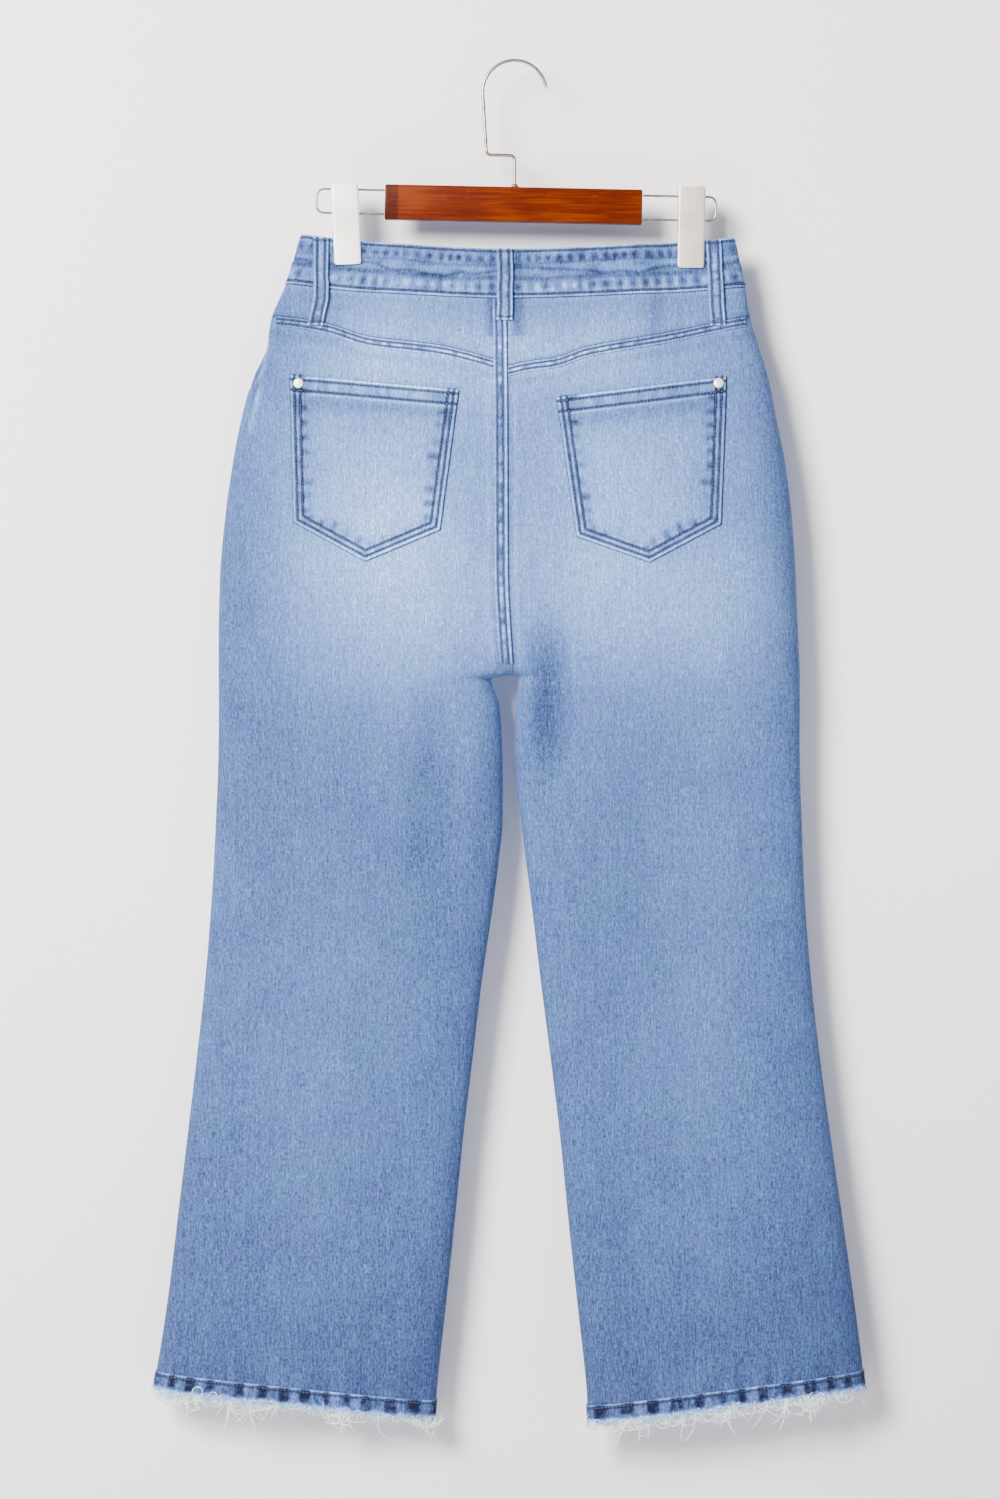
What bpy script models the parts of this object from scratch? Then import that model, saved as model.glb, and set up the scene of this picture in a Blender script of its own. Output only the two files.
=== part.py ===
"""Light-wash flare jeans hanging flat from a wooden hanger with two metal clips.

The scene is in metres with +Z up. The origin is where the hanger's hook bears on
what it hangs from. The seat of the jeans faces -Y and the fly faces +Y, so +X is
the wearer's right. Sizes and tables are in millimetres: "drop" runs down from
the hook, "x" runs right from the centre back seam, and "lift" stands out from
the cloth's outer surface.
"""

import math
import random
from collections import namedtuple

import bmesh
import bpy
from mathutils import Matrix, Vector
from mathutils.bvhtree import BVHTree

MM = 0.001
LEFT, RIGHT = -1, 1
BACK, FRONT = -1, 1

# Cloth and seams
DENIM = 1.5
WAISTBAND_CLOTH = 2.0
PATCH_CLOTH = 1.2
SEAM_CLOTH = 0.8
SEAM_GAP = 0.4
REST_GAP = 0.45
# Extra room under long pieces that bridge the folds they lie on
BAND_LIFT = 0.25
PATCH_LIFT = 0.15

# The jeans hang a little to the left of the hook's line
CENTRE_BACK = -8.0
CROTCH = 515.0
# Height of the seat's turn under the crotch, and of the notch between the thighs
SEAT_TURN = 20.0
NOTCH = 3.0
# Powers of the flattened tube's section: a leg closes at both sides, the seat at one
LEG_POWER = 5
SEAT_POWER = 10
# Each fold at a side is turned in this many equal steps, and the flat between in as many spans
FOLD_STEPS = 5
FLAT_SPANS = 7
# Rows of a leg panel from its top to the seat's turn, and from the thigh to the hem
SEAT_ROWS = 8
LEG_ROWS = 11

Level = namedtuple("Level", "drop left_side left_inner right_inner right_side depth")
OUTLINE = (
    Level(145, -170.5, -12.0, 11.5, 191.5, 11.0),
    Level(186, -183.8, -12.0, 11.5, 200.8, 12.5),
    Level(217, -196.6, -12.0, 11.5, 206.6, 15.5),
    Level(238, -200.0, -12.0, 11.5, 213.0, 18.0),
    Level(267, -212.5, -12.0, 11.5, 221.8, 20.5),
    Level(301, -221.8, -12.0, 11.5, 228.5, 22.5),
    Level(334, -228.2, -12.0, 11.5, 235.2, 24.5),
    Level(385, -235.4, -12.0, 11.5, 241.5, 26.0),
    Level(435, -239.6, -12.0, 11.5, 244.6, 26.0),
    Level(486, -240.6, -12.0, 11.5, 246.6, 24.5),
    Level(516, -240.6, -12.0, 11.5, 247.8, 23.0),
    Level(540, -240.4, -4.4, 9.0, 247.8, 22.0),
    Level(570, -240.6, -2.4, 8.4, 247.6, 21.0),
    Level(604, -241.4, -1.8, 9.4, 248.2, 20.0),
    Level(637, -242.8, -2.0, 13.4, 249.4, 19.0),
    Level(671, -244.4, -5.2, 17.6, 250.6, 18.5),
    Level(704, -246.4, -9.4, 21.8, 252.2, 18.0),
    Level(771, -251.8, -19.2, 29.8, 257.4, 17.0),
    Level(838, -259.2, -27.2, 38.4, 265.0, 16.5),
    Level(905, -267.2, -35.2, 46.4, 274.0, 16.5),
    Level(973, -275.4, -42.0, 53.2, 283.8, 17.0),
    Level(1040, -283.6, -49.0, 60.4, 293.2, 18.0),
    Level(1090, -291.2, -54.6, 66.0, 299.6, 19.0),
    Level(1114, -295.2, -57.0, 68.4, 302.2, 19.5),
    Level(1145, -299.0, -59.4, 70.0, 305.0, 20.0),
)

# Where the centre seams run, right of the centre back line
Centre = namedtuple("Centre", "drop back front")
CENTRE_LINE = (
    Centre(145, 0.0, 0.0),
    Centre(300, 1.5, 0.0),
    Centre(430, 2.0, 0.5),
    Centre(485, 4.6, 4.0),
    Centre(515, 7.0, 7.0),
)

# How far each leg swings towards the wall
Swing = namedtuple("Swing", "drop left right")
LEG_SWING = (
    Swing(145, 0.0, 0.0),
    Swing(516, 0.0, 0.0),
    Swing(700, -2.0, 2.0),
    Swing(900, 1.0, 0.5),
    Swing(1145, 4.0, -3.0),
)

# Drops of the seams that run across, at the side and at the centre or inner edge
Edge = namedtuple("Edge", "side centre")
WAIST_TOP = {
    (LEFT, BACK): Edge(145.0, 158.2),
    (RIGHT, BACK): Edge(148.0, 158.2),
    (LEFT, FRONT): Edge(145.0, 170.0),
    (RIGHT, FRONT): Edge(148.0, 170.0),
}
WAISTBAND_HEIGHT = 41.8
WAIST_MIDDLE = 170.0
WAISTBAND_PROUD = 0.8
WAIST_CURVE = 1.6
HEM = {LEFT: Edge(1114.7, 1139.0), RIGHT: Edge(1113.0, 1142.4)}
HEM_HEIGHT = 15.5

# The yoke seam, a row for each point from the side to the centre back
YokePoint = namedtuple("YokePoint", "x drop")
YOKE_SEAM = {
    LEFT: (
        YokePoint(-205.0, 213.0),
        YokePoint(-153.0, 220.5),
        YokePoint(-111.0, 233.0),
        YokePoint(-54.0, 240.5),
        YokePoint(-25.0, 247.5),
        YokePoint(10.0, 258.5),
    ),
    RIGHT: (
        YokePoint(-10.0, 261.0),
        YokePoint(19.0, 254.0),
        YokePoint(43.0, 250.5),
        YokePoint(67.5, 242.0),
        YokePoint(124.0, 231.5),
        YokePoint(188.0, 218.0),
        YokePoint(215.0, 213.0),
    ),
}
YOKE_BAND = 9.0
YOKE_BAND_UP = 1.1
WAIST_SEAM_SIDE = 215.0

# Creases as ridges (height above 0) and troughs, each along a straight line
Fold = namedtuple("Fold", "x0 drop0 x1 drop1 half_width height")
FOLDS = {
    BACK: (
        Fold(34, 470, 40, 640, 13, -5.0),
        Fold(16, 535, 20, 660, 9, 1.5),
        Fold(-22, 535, -28, 700, 10, 2.0),
        Fold(-46, 520, -60, 700, 15, -3.5),
        Fold(-170, 540, -205, 1000, 24, -2.4),
        Fold(-120, 640, -160, 1100, 22, 2.0),
        Fold(-80, 900, -110, 1130, 16, -1.8),
        Fold(110, 560, 160, 1010, 24, -2.4),
        Fold(190, 620, 235, 1080, 20, 2.0),
        Fold(90, 800, 118, 1130, 16, -2.0),
        Fold(-135, 180, -128, 262, 12, -1.8),
        Fold(160, 180, 150, 262, 12, -1.8),
    ),
    FRONT: (
        Fold(12, 505, 96, 420, 10, -3.5),
        Fold(0, 500, -84, 412, 10, -3.0),
        Fold(22, 540, 112, 500, 12, -2.6),
        Fold(-14, 545, -104, 492, 11, -2.6),
        Fold(-150, 600, -185, 1020, 24, -2.4),
        Fold(-105, 700, -140, 1110, 20, 2.0),
        Fold(140, 560, 190, 1000, 24, -2.6),
        Fold(90, 720, 140, 1120, 20, 1.8),
        Fold(-135, 180, -120, 285, 13, -2.0),
        Fold(160, 180, 140, 290, 13, -2.0),
    ),
}

# Patch pockets by their corners
Corner = namedtuple("Corner", "x drop")
Pocket = namedtuple("Pocket", "outer_top inner_top inner_bottom tip outer_bottom")
POCKETS = {
    LEFT: Pocket(
        Corner(-180.0, 264.3),
        Corner(-38.2, 276.8),
        Corner(-53.9, 394.5),
        Corner(-116.7, 420.9),
        Corner(-176.6, 388.2),
    ),
    RIGHT: Pocket(
        Corner(185.3, 265.6),
        Corner(42.6, 283.1),
        Corner(59.3, 400.1),
        Corner(120.5, 421.7),
        Corner(180.4, 389.6),
    ),
}
RIVETS = {LEFT: Corner(-172.4, 271.9), RIGHT: Corner(178.3, 271.9)}
RIVET_RADIUS = 4.2
RIVET_HEIGHT = 1.5

# Belt loops by their middle line, top to bottom; the top sits on the waistband's edge
LOOP_WIDTH = 13.6
LOOP_CLOTH = 1.5
LOOP_BOW = 1.0
LOOP_BEND = 0.7
Loop = namedtuple("Loop", "face top_x bend_x bottom_x bottom_drop")
LOOPS = {
    "loop_centre_back": Loop(BACK, 0.0, 0.0, -0.6, 218.4),
    "loop_back_left": Loop(BACK, -154.6, -155.0, -159.6, 222.4),
    "loop_back_right": Loop(BACK, 175.0, 177.6, 178.8, 222.6),
    "loop_front_left": Loop(FRONT, -104.0, -104.6, -105.0, 226.0),
    "loop_front_right": Loop(FRONT, 112.0, 112.6, 113.0, 226.0),
}

# Front closing: the wearer's left front and waistband end lie over the right
FLY_WIDTH = 34.0
FLY_STRAIGHT = 112.0
FLY_LENGTH = 158.0
OVERLAP = 14.0
UNDERLAP = 10.0
LAP_RISE_FROM = 34.0
LAP_RISE_TO = 13.0
LAP_RISE = WAISTBAND_CLOTH + REST_GAP
BUTTON_RADIUS = 8.5
BUTTON_HEIGHT = 3.2
FLY_GAP = 2.0
# The felled seams of the seat, from their line to the far and the near edge
CENTRE_BAND = 10.5
FRONT_BAND = 8.4
CENTRE_BAND_PAST = 1.2
MOUTH_REACH = 92.0
MOUTH_DEPTH = 88.0
MOUTH_CURVE = 1.25
MOUTH_UNDERLAP = 9.0
FACING_SINK = DENIM + 2 * REST_GAP

# Hanger
WIRE_RADIUS = 1.4
HOOK_RADIUS = 26.6
HOOK_END_ANGLE = 8.0
HOOK_NECK_X = -23.4
HOOK_NECK_DROP = 78.0
HOOK_SHOULDER_DROP = 78.5
HOOK_BEND = 4.0
COLLAR_HEIGHT = 2.6
COLLAR_RADII = (3.2, 2.0)
BAR_SIZE = (216.0, 12.0, 29.0)
BAR_CENTRE = (-0.8, 0.0, -120.0)
BAR_TILT = 1.2
BAR_EASE = 1.2
RAIL_RADIUS = 1.0
RAIL_SPACING = 20.0
RAIL_REACH = {LEFT: 165.4, RIGHT: 170.1}
RAIL_CORNER = 6.0
Clip = namedtuple("Clip", "x drop tilt")
CLIPS = {LEFT: Clip(-141.2, 136.6, -2.4), RIGHT: Clip(148.4, 139.4, 0.9)}
CLIP_WIDTH = 22.8
CLIP_LENGTH = 68.0
CLIP_PLATE = 1.1
CLIP_TOP_DEPTH = 7.6
CLIP_BITE = 23.0
CLIP_CLEAR = 1.2
CLIP_HEIGHTS = (0.5, 0.47, 0.3, 0.12, -0.02, -0.16, -0.3, -0.47, -0.5)
CLIP_END_IN = 1.4
# How far a jaw's bend is cut across outside and inside
CLIP_BEND_OUT = 1.2
CLIP_BEND_IN = 0.5
SPRING_HEIGHT = 18.0
SPRING_LENGTH = 12.0
# Half thickness of the two waistband layers where a clip pinches them
PINCHED = 2.9
PINCH_REACH = 32.0
PINCH_FROM = 172.0
PINCH_FADE = 120.0

# Frayed edge
STRANDS_PER_LEG = 48
STRAND_LENGTHS = (6.0, 24.0)
STRAND_LEAN = 5.0
# How much each stretch of a strand narrows, and the share of the lean it takes
STRAND_STEPS = ((0.8, 1.0), (0.5, -0.6))
# Share of the way round a leg that one strand's root takes
STRAND_ROOT = 0.0026
# The folded part at each side of a hem, as a share of half the way round and as an angle
HEM_TURN = 0.14
HEM_TURN_ANGLE = 60.0
FRAY_STRIP = 2.0
FRAY_CLOTH = 1.1


def smooth_through(table, column, along="drop"):
    """A function that runs smoothly through one column of a table, without overshoot."""
    drops = [getattr(row, along) for row in table]
    values = [getattr(row, column) for row in table]
    slopes = [
        (values[i + 1] - values[i]) / (drops[i + 1] - drops[i])
        for i in range(len(drops) - 1)
    ]
    tangents = [slopes[0]]
    for before, after in zip(slopes, slopes[1:]):
        same_way = before * after > 0
        tangents.append(2 * before * after / (before + after) if same_way else 0.0)
    tangents.append(slopes[-1])

    def value(drop):
        if drop <= drops[0]:
            return values[0]
        if drop >= drops[-1]:
            return values[-1] + (drop - drops[-1]) * tangents[-1]
        i = max(k for k in range(len(drops) - 1) if drops[k] <= drop)
        span = drops[i + 1] - drops[i]
        t = (drop - drops[i]) / span
        return (
            (1 + 2 * t) * (1 - t) ** 2 * values[i]
            + t * (1 - t) ** 2 * span * tangents[i]
            + t * t * (3 - 2 * t) * values[i + 1]
            + t * t * (t - 1) * span * tangents[i + 1]
        )

    return value


SIDE_X = {
    LEFT: smooth_through(OUTLINE, "left_side"),
    RIGHT: smooth_through(OUTLINE, "right_side"),
}
INNER_X = {
    LEFT: smooth_through(OUTLINE, "left_inner"),
    RIGHT: smooth_through(OUTLINE, "right_inner"),
}
DEPTH = smooth_through(OUTLINE, "depth")
CENTRE_X = {
    BACK: smooth_through(CENTRE_LINE, "back"),
    FRONT: smooth_through(CENTRE_LINE, "front"),
}
SWING_Y = {
    LEFT: smooth_through(LEG_SWING, "left"),
    RIGHT: smooth_through(LEG_SWING, "right"),
}
YOKE_DROP = {leg: smooth_through(points, "drop", along="x") for leg, points in YOKE_SEAM.items()}

# The outer skins of the panels made so far, which what is sewn on them rests on
SKINS = {BACK: [], FRONT: []}
# Where a ray at them starts, and how far from the smooth surface a skin can be
FAR_OUT = 300.0
SKIN_REACH = 3.0


def mix(a, b, t):
    return a + (b - a) * t


def smooth_step(t):
    t = max(0.0, min(1.0, t))
    return t * t * (3 - 2 * t)


def inner_x(leg, face, drop):
    """Where a leg's inner edge runs: the centre seam above the crotch, the inseam below."""
    if drop <= CROTCH:
        return CENTRE_X[face](drop)
    opened = min(1.0, math.sqrt((drop - CROTCH) / NOTCH))
    return mix(CENTRE_X[face](CROTCH), INNER_X[leg](drop), opened)


def pinch(x, drop):
    """1 where a clip holds the front and back together, fading to 0 sideways and down."""
    fade = 1 - smooth_step((drop - PINCH_FROM) / PINCH_FADE)
    held = 0.0
    for clip in CLIPS.values():
        away = (x + CENTRE_BACK - clip.x) / PINCH_REACH
        held += 1 / (1 + away**6)
    return fade * min(1.0, held)


def crease(face, x, drop):
    """How far the folds move the cloth outwards at one place."""
    moved = 0.0
    for fold in FOLDS[face]:
        run_x, run_drop = fold.x1 - fold.x0, fold.drop1 - fold.drop0
        t = (x - fold.x0) * run_x + (drop - fold.drop0) * run_drop
        t = max(0.0, min(1.0, t / (run_x**2 + run_drop**2)))
        away = math.hypot(x - fold.x0 - t * run_x, drop - fold.drop0 - t * run_drop)
        taper = 1 - (2 * t - 1) ** 4
        moved += fold.height * taper * math.exp(-((away / fold.half_width) ** 2))
    return moved


def section_rise(s, drop):
    """How far the section stands out, 0 to 1, from its side (s 0) to its inner edge (s 1)."""
    h = max(0.0, min(1.0, (CROTCH - drop) / SEAT_TURN))
    seat = 1 - (1 - h) ** 2
    as_leg = 1 - abs(2 * s - 1) ** LEG_POWER
    as_seat = 1 - (1 - s) ** SEAT_POWER
    return math.sqrt(max(0.0, mix(as_leg, as_seat, seat)))


def cloth_y(leg, face, x, s, drop):
    """The outer surface's y at one place of a leg's front or back."""
    rise = section_rise(s, drop)
    depth = mix(DEPTH(drop), PINCHED, pinch(x, drop)) + crease(face, x, drop)
    return SWING_Y[leg](drop) + face * depth * rise


def cloth_point(leg, face, s, drop):
    """A point of the cloth's outer surface, by its share s of the way from side to inner edge."""
    side, inner = SIDE_X[leg](drop), inner_x(leg, face, drop)
    x = mix(side, inner, s)
    return Vector((x, cloth_y(leg, face, x, s, drop), -drop))


def face_point(face, x, drop, lift=0.0):
    """A point of the front or back by its x, stood out from the cloth by lift."""
    leg = LEFT if x < CENTRE_X[face](drop) else RIGHT

    def y_at(some_x, some_drop):
        side, inner = SIDE_X[leg](some_drop), inner_x(leg, face, some_drop)
        s = max(0.0, min(1.0, (some_x - side) / (inner - side)))
        return cloth_y(leg, face, some_x, s, some_drop)

    y, step = y_at(x, drop), 1.0
    slope_x = (y_at(x + step, drop) - y_at(x - step, drop)) / (2 * step)
    slope_drop = (y_at(x, drop + step) - y_at(x, drop - step)) / (2 * step)
    outward = face * Vector((-slope_x, 1.0, slope_drop)).normalized()
    far, ahead = Vector((x, face * FAR_OUT, -drop)), Vector((0.0, -face, 0.0))
    hits = [skin.ray_cast(far, ahead)[0] for skin in SKINS[face]]
    near = [face * hit.y for hit in hits if hit is not None and abs(hit.y - y) < SKIN_REACH]
    if near:
        y = face * max(near)
    return Vector((x, y, -drop)) + lift * outward


def waist_edge(leg, face, s, down=0.0):
    """The drop of the waistband's top edge, or of a line that far below it."""
    edge = WAIST_TOP[leg, face]
    return mix(edge.centre, edge.side, max(0.0, 1 - s) ** WAIST_CURVE) + down


def yoke_edge(leg, s):
    """The drop of the yoke seam at a share s of the way from the side to the centre."""
    drop = YOKE_DROP[leg](SIDE_X[leg](WAIST_SEAM_SIDE))
    for _ in range(4):
        x = mix(SIDE_X[leg](drop), CENTRE_X[BACK](drop), s)
        drop = YOKE_DROP[leg](x)
    return drop


def mouth_edge(leg, s):
    """The drop of a front panel's top edge: the waist seam, then the pocket mouth's scoop."""
    seam = waist_edge(leg, FRONT, s, WAISTBAND_HEIGHT)
    side, centre = SIDE_X[leg](seam), CENTRE_X[FRONT](seam)
    from_side = abs((centre - side) * s)
    if from_side >= MOUTH_REACH:
        return seam
    return seam + MOUTH_DEPTH * (1 - (from_side / MOUTH_REACH) ** 2) ** MOUTH_CURVE


def hem_edge(leg, s):
    return mix(HEM[leg].side, HEM[leg].centre, s)


def fold_shares():
    """Shares s from side to inner edge, close together where the section folds over."""
    half = []
    for k in range(FOLD_STEPS):
        rise = math.sin(math.radians(90 * k / FOLD_STEPS))
        half.append((1 - (1 - rise**2) ** (1 / LEG_POWER)) / 2)
    flat = [mix(half[-1], 1 - half[-1], k / FLAT_SPANS) for k in range(1, FLAT_SPANS)]
    return half + flat + [1 - s for s in reversed(half)]


def finish(name, colour, roughness=0.9, metallic=0.0):
    """The material of one piece, cloth unless it says otherwise."""
    material = bpy.data.materials.new(name)
    material.use_nodes = True
    shader = material.node_tree.nodes["Principled BSDF"]
    shader.inputs["Base Color"].default_value = (*colour, 1.0)
    shader.inputs["Roughness"].default_value = roughness
    shader.inputs["Metallic"].default_value = metallic
    return material


DENIM_MID = (0.235, 0.325, 0.510)
DENIM_LIGHT = (0.420, 0.515, 0.665)
DENIM_SEAM = (0.210, 0.275, 0.430)
COTTON = (0.700, 0.720, 0.720)
SHARP_ANGLE = 40
NICKEL = (0.640, 0.610, 0.580)
WOOD = (0.330, 0.070, 0.010)


def add_object(name, mesh, material):
    """Puts a mesh into the part's collection, shaded smooth but for its sharp edges."""
    mesh.shade_smooth()
    mesh.set_sharp_from_angle(angle=math.radians(SHARP_ANGLE))
    mesh.materials.append(material)
    made = bpy.data.objects.new(name, mesh)
    bpy.data.collections["flare_jeans"].objects.link(made)
    return made


def grid_normals(points, sign):
    """The direction square to a grid of points at each of them."""
    rows, columns = len(points), len(points[0])
    normals = []
    for i in range(rows):
        line = []
        for j in range(columns):
            above, below = points[max(0, i - 1)][j], points[min(rows - 1, i + 1)][j]
            before, after = points[i][max(0, j - 1)], points[i][min(columns - 1, j + 1)]
            line.append(sign * (after - before).cross(below - above).normalized())
        normals.append(line)
    return normals


def wall(name, outer, inner, material, ring=False):
    """A closed wall lofted between an outer and an inner grid of points in millimetres."""
    rows, columns = len(outer), len(outer[0])
    shift = Vector((CENTRE_BACK, 0.0, 0.0))
    bm = bmesh.new()
    skins = [
        [[bm.verts.new((p + shift) * MM) for p in line] for line in grid]
        for grid in (outer, inner)
    ]
    spans = range(columns if ring else columns - 1)
    for skin in skins:
        for i in range(rows - 1):
            for j in spans:
                k = (j + 1) % columns
                bm.faces.new((skin[i][j], skin[i][k], skin[i + 1][k], skin[i + 1][j]))
    front, back = skins
    for i in (0, rows - 1):
        for j in spans:
            k = (j + 1) % columns
            bm.faces.new((front[i][j], front[i][k], back[i][k], back[i][j]))
    if not ring:
        for j in (0, columns - 1):
            for i in range(rows - 1):
                bm.faces.new((front[i][j], front[i + 1][j], back[i + 1][j], back[i][j]))
    bmesh.ops.recalc_face_normals(bm, faces=bm.faces)
    mesh = bpy.data.meshes.new(name)
    bm.to_mesh(mesh)
    bm.free()
    return add_object(name, mesh, material)


def panel(name, leg, face, top, bottom, fractions, material):
    """A cut panel of the jeans, from its top edge to its bottom edge.

    top and bottom give an edge's drop at a share s. Its seams stay in the plane
    where it meets its neighbour, half a seam gap away from it.
    """
    shares = fold_shares()
    outer = []
    for fraction in fractions:
        line = []
        for s in shares:
            low, high = top(s) + SEAM_GAP / 2, bottom(s) - SEAM_GAP / 2
            line.append(cloth_point(leg, face, s, mix(low, high, fraction)))
        outer.append(line)
    normals = grid_normals(outer, -leg * face)
    half_gap = SEAM_GAP / 2
    inner = []
    for i, line in enumerate(outer):
        inner_line = []
        for j, point in enumerate(line):
            normal = normals[i][j]
            at_crotch = abs(-point.z - CROTCH) < 0.01
            if j == 0:
                normal.y = 0.0
                point.y += face * half_gap
            elif j == len(line) - 1 and at_crotch:
                normal = Vector((0.0, 0.0, -1.0))
                point.x += leg * half_gap
                point.y += face * half_gap
            elif j == len(line) - 1 and -point.z < CROTCH:
                normal.x = 0.0
                point.x += leg * half_gap
            elif j == len(line) - 1:
                normal.y = 0.0
                point.y += face * half_gap
            normal.normalize()
            inner_line.append(point - DENIM * normal)
        inner.append(inner_line)
    remember_skin(face, outer)
    return wall(name, outer, inner, material)


def remember_skin(face, grid):
    """Keeps a panel's outer skin for the pieces that will lie on it."""
    columns = len(grid[0])
    points = [point for line in grid for point in line]
    one_way, other_way = [], []
    for i in range(len(grid) - 1):
        for j in range(columns - 1):
            a, b = i * columns + j, i * columns + j + 1
            c, d = b + columns, a + columns
            one_way += [(a, b, c), (a, c, d)]
            other_way += [(a, b, d), (b, c, d)]
    for triangles in (one_way, other_way):
        SKINS[face].append(BVHTree.FromPolygons(points, triangles))


def leg_rows(top_drop, bottom_drop):
    """Fractions down a leg panel's inner edge, close together round the crotch."""
    turn_top = CROTCH - 1.6 * SEAT_TURN
    drops = [mix(top_drop, turn_top, k / SEAT_ROWS) for k in range(SEAT_ROWS + 1)]
    drops += [CROTCH - SEAT_TURN * (1 - math.cos(math.radians(a))) for a in (90, 60, 40, 20)]
    drops += [CROTCH, CROTCH + 0.4 * NOTCH, CROTCH + NOTCH]
    thigh, hem_top = CROTCH + 5 * NOTCH, bottom_drop - HEM_HEIGHT - 0.5
    drops += [mix(thigh, hem_top, k / LEG_ROWS) for k in range(LEG_ROWS + 1)]
    drops.append(bottom_drop)
    return [(drop - top_drop) / (bottom_drop - top_drop) for drop in drops]


def even(count):
    return [k / count for k in range(count + 1)]


def closer_at_end(count):
    """Fractions from 0 to 1 whose steps shorten towards 1."""
    return [1 - (1 - k / count) ** 1.6 for k in range(count + 1)]


def patch(name, face, place, across, down, cloth, material):
    """A piece that lies on the cloth. place(u, v) gives (x, drop, extra lift)."""
    outer, inner = [], []
    for v in down:
        low, high = [], []
        for u in across:
            x, drop, extra = place(u, v)
            low.append(face_point(face, x, drop, REST_GAP + extra))
            high.append(face_point(face, x, drop, REST_GAP + extra + cloth))
        inner.append(low)
        outer.append(high)
    return wall(name, outer, inner, material)


def make_legs():
    """The two back and two front panels, with their crotch, seat and flare."""
    denim = finish("light blue denim", DENIM_MID)
    for leg, side in ((LEFT, "left"), (RIGHT, "right")):
        def hem(s, leg=leg):
            return hem_edge(leg, s)

        def yoke(s, leg=leg):
            return yoke_edge(leg, s)

        def mouth(s, leg=leg):
            return mouth_edge(leg, s)

        tips = SEAM_GAP / 2
        down = leg_rows(yoke(1) + tips, hem(1) - tips)
        panel(f"back_leg_{side}", leg, BACK, yoke, hem, down, denim)
        down = leg_rows(mouth(1) + tips, hem(1) - tips)
        panel(f"front_leg_{side}", leg, FRONT, mouth, hem, down, denim)


def make_yokes():
    """The two yokes between the waistband and the seat."""
    denim = finish("faded denim of the yoke", DENIM_LIGHT)
    for leg, side in ((LEFT, "left"), (RIGHT, "right")):
        def waist(s, leg=leg):
            return waist_edge(leg, BACK, s, WAISTBAND_HEIGHT)

        def seam(s, leg=leg):
            return yoke_edge(leg, s)

        panel(f"yoke_{side}", leg, BACK, waist, seam, even(3), denim)


def make_pocket_facings():
    """The facings that show in the front pocket mouths, under the panels' edges."""
    denim = finish("denim of the pocket facings", DENIM_MID)
    for leg, side in ((LEFT, "left"), (RIGHT, "right")):
        seam = waist_edge(leg, FRONT, 0.3, WAISTBAND_HEIGHT)
        width = abs(CENTRE_X[FRONT](seam) - SIDE_X[leg](seam))
        reach = (MOUTH_REACH + MOUTH_UNDERLAP) / width
        shares = [s for s in fold_shares() if s < reach - 0.02] + [reach]
        outer = []
        for v in even(5):
            line = []
            for s in shares:
                top = waist_edge(leg, FRONT, s, WAISTBAND_HEIGHT) + SEAM_GAP / 2
                low = mouth_edge(leg, s) + MOUTH_UNDERLAP
                line.append(cloth_point(leg, FRONT, s, mix(top, low, v)))
            outer.append(line)
        normals = grid_normals(outer, -leg)
        inner = []
        for i, line in enumerate(outer):
            normals[i][0].y = 0.0
            normals[i][0].normalize()
            inner.append([p - (FACING_SINK + SEAM_CLOTH) * n for p, n in zip(line, normals[i])])
            outer[i] = [p - FACING_SINK * n for p, n in zip(line, normals[i])]
            outer[i][0].y = inner[i][0].y = SEAM_GAP / 2
        wall(f"pocket_facing_{side}", outer, inner, denim)


def waistband_stations():
    """(leg, face, s) round the waist from the fly over the right side, in two halves."""
    shares = [s for s in fold_shares() if s < 0.2] + [0.25 + 0.05 * k for k in range(15)]
    right = [(RIGHT, FRONT, s) for s in reversed(shares)]
    right += [(RIGHT, BACK, s) for s in shares[1:]]
    left = [(LEFT, BACK, s) for s in reversed(shares)]
    left += [(LEFT, FRONT, s) for s in shares[1:]]
    return right, left


def make_waistband():
    """One length of doubled cloth round the waist, its left end lapped over the right."""
    denim = finish("doubled denim of the waistband", DENIM_MID)
    right, left = waistband_stations()
    outer = []
    for down in (0.0, WAISTBAND_HEIGHT * 0.5, WAISTBAND_HEIGHT - SEAM_GAP / 2):
        line = [waist_front_point(-UNDERLAP, down, 0.0), waist_front_point(0, down, 0.0)]
        for leg, face, s in right:
            line.append(cloth_point(leg, face, s, waist_edge(leg, face, s, down)))
        line.append(face_point(BACK, 0.0, waist_line(BACK, 0.0, down)))
        for leg, face, s in left:
            point = cloth_point(leg, face, s, waist_edge(leg, face, s, down))
            if face == BACK or point.x < -LAP_RISE_FROM:
                line.append(point)
        for rise in even(2):
            x = -mix(LAP_RISE_FROM, LAP_RISE_TO, rise)
            line.append(waist_front_point(x, down, LAP_RISE * smooth_step(rise)))
        line += [waist_front_point(x, down, LAP_RISE) for x in (0.0, OVERLAP)]
        outer.append(line)
    normals = grid_normals(outer, 1)
    inner = [
        [p - (WAISTBAND_CLOTH - WAISTBAND_PROUD) * n for p, n in zip(line, square)]
        for line, square in zip(outer, normals)
    ]
    outer = [
        [p + WAISTBAND_PROUD * n for p, n in zip(line, square)]
        for line, square in zip(outer, normals)
    ]
    wall("waistband", outer, inner, denim)


def waist_line(face, x, down=0.0):
    """The drop of the waistband's top edge at x, or of a line that far below it."""
    leg = LEFT if x < 0 else RIGHT
    return waist_edge(leg, face, 1 - x / SIDE_X[leg](WAIST_MIDDLE), down)


def waist_front_point(x, down, rise):
    """A point of the front waistband near the closing, stood out by rise."""
    return face_point(FRONT, x, waist_line(FRONT, x, down), rise)


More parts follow.
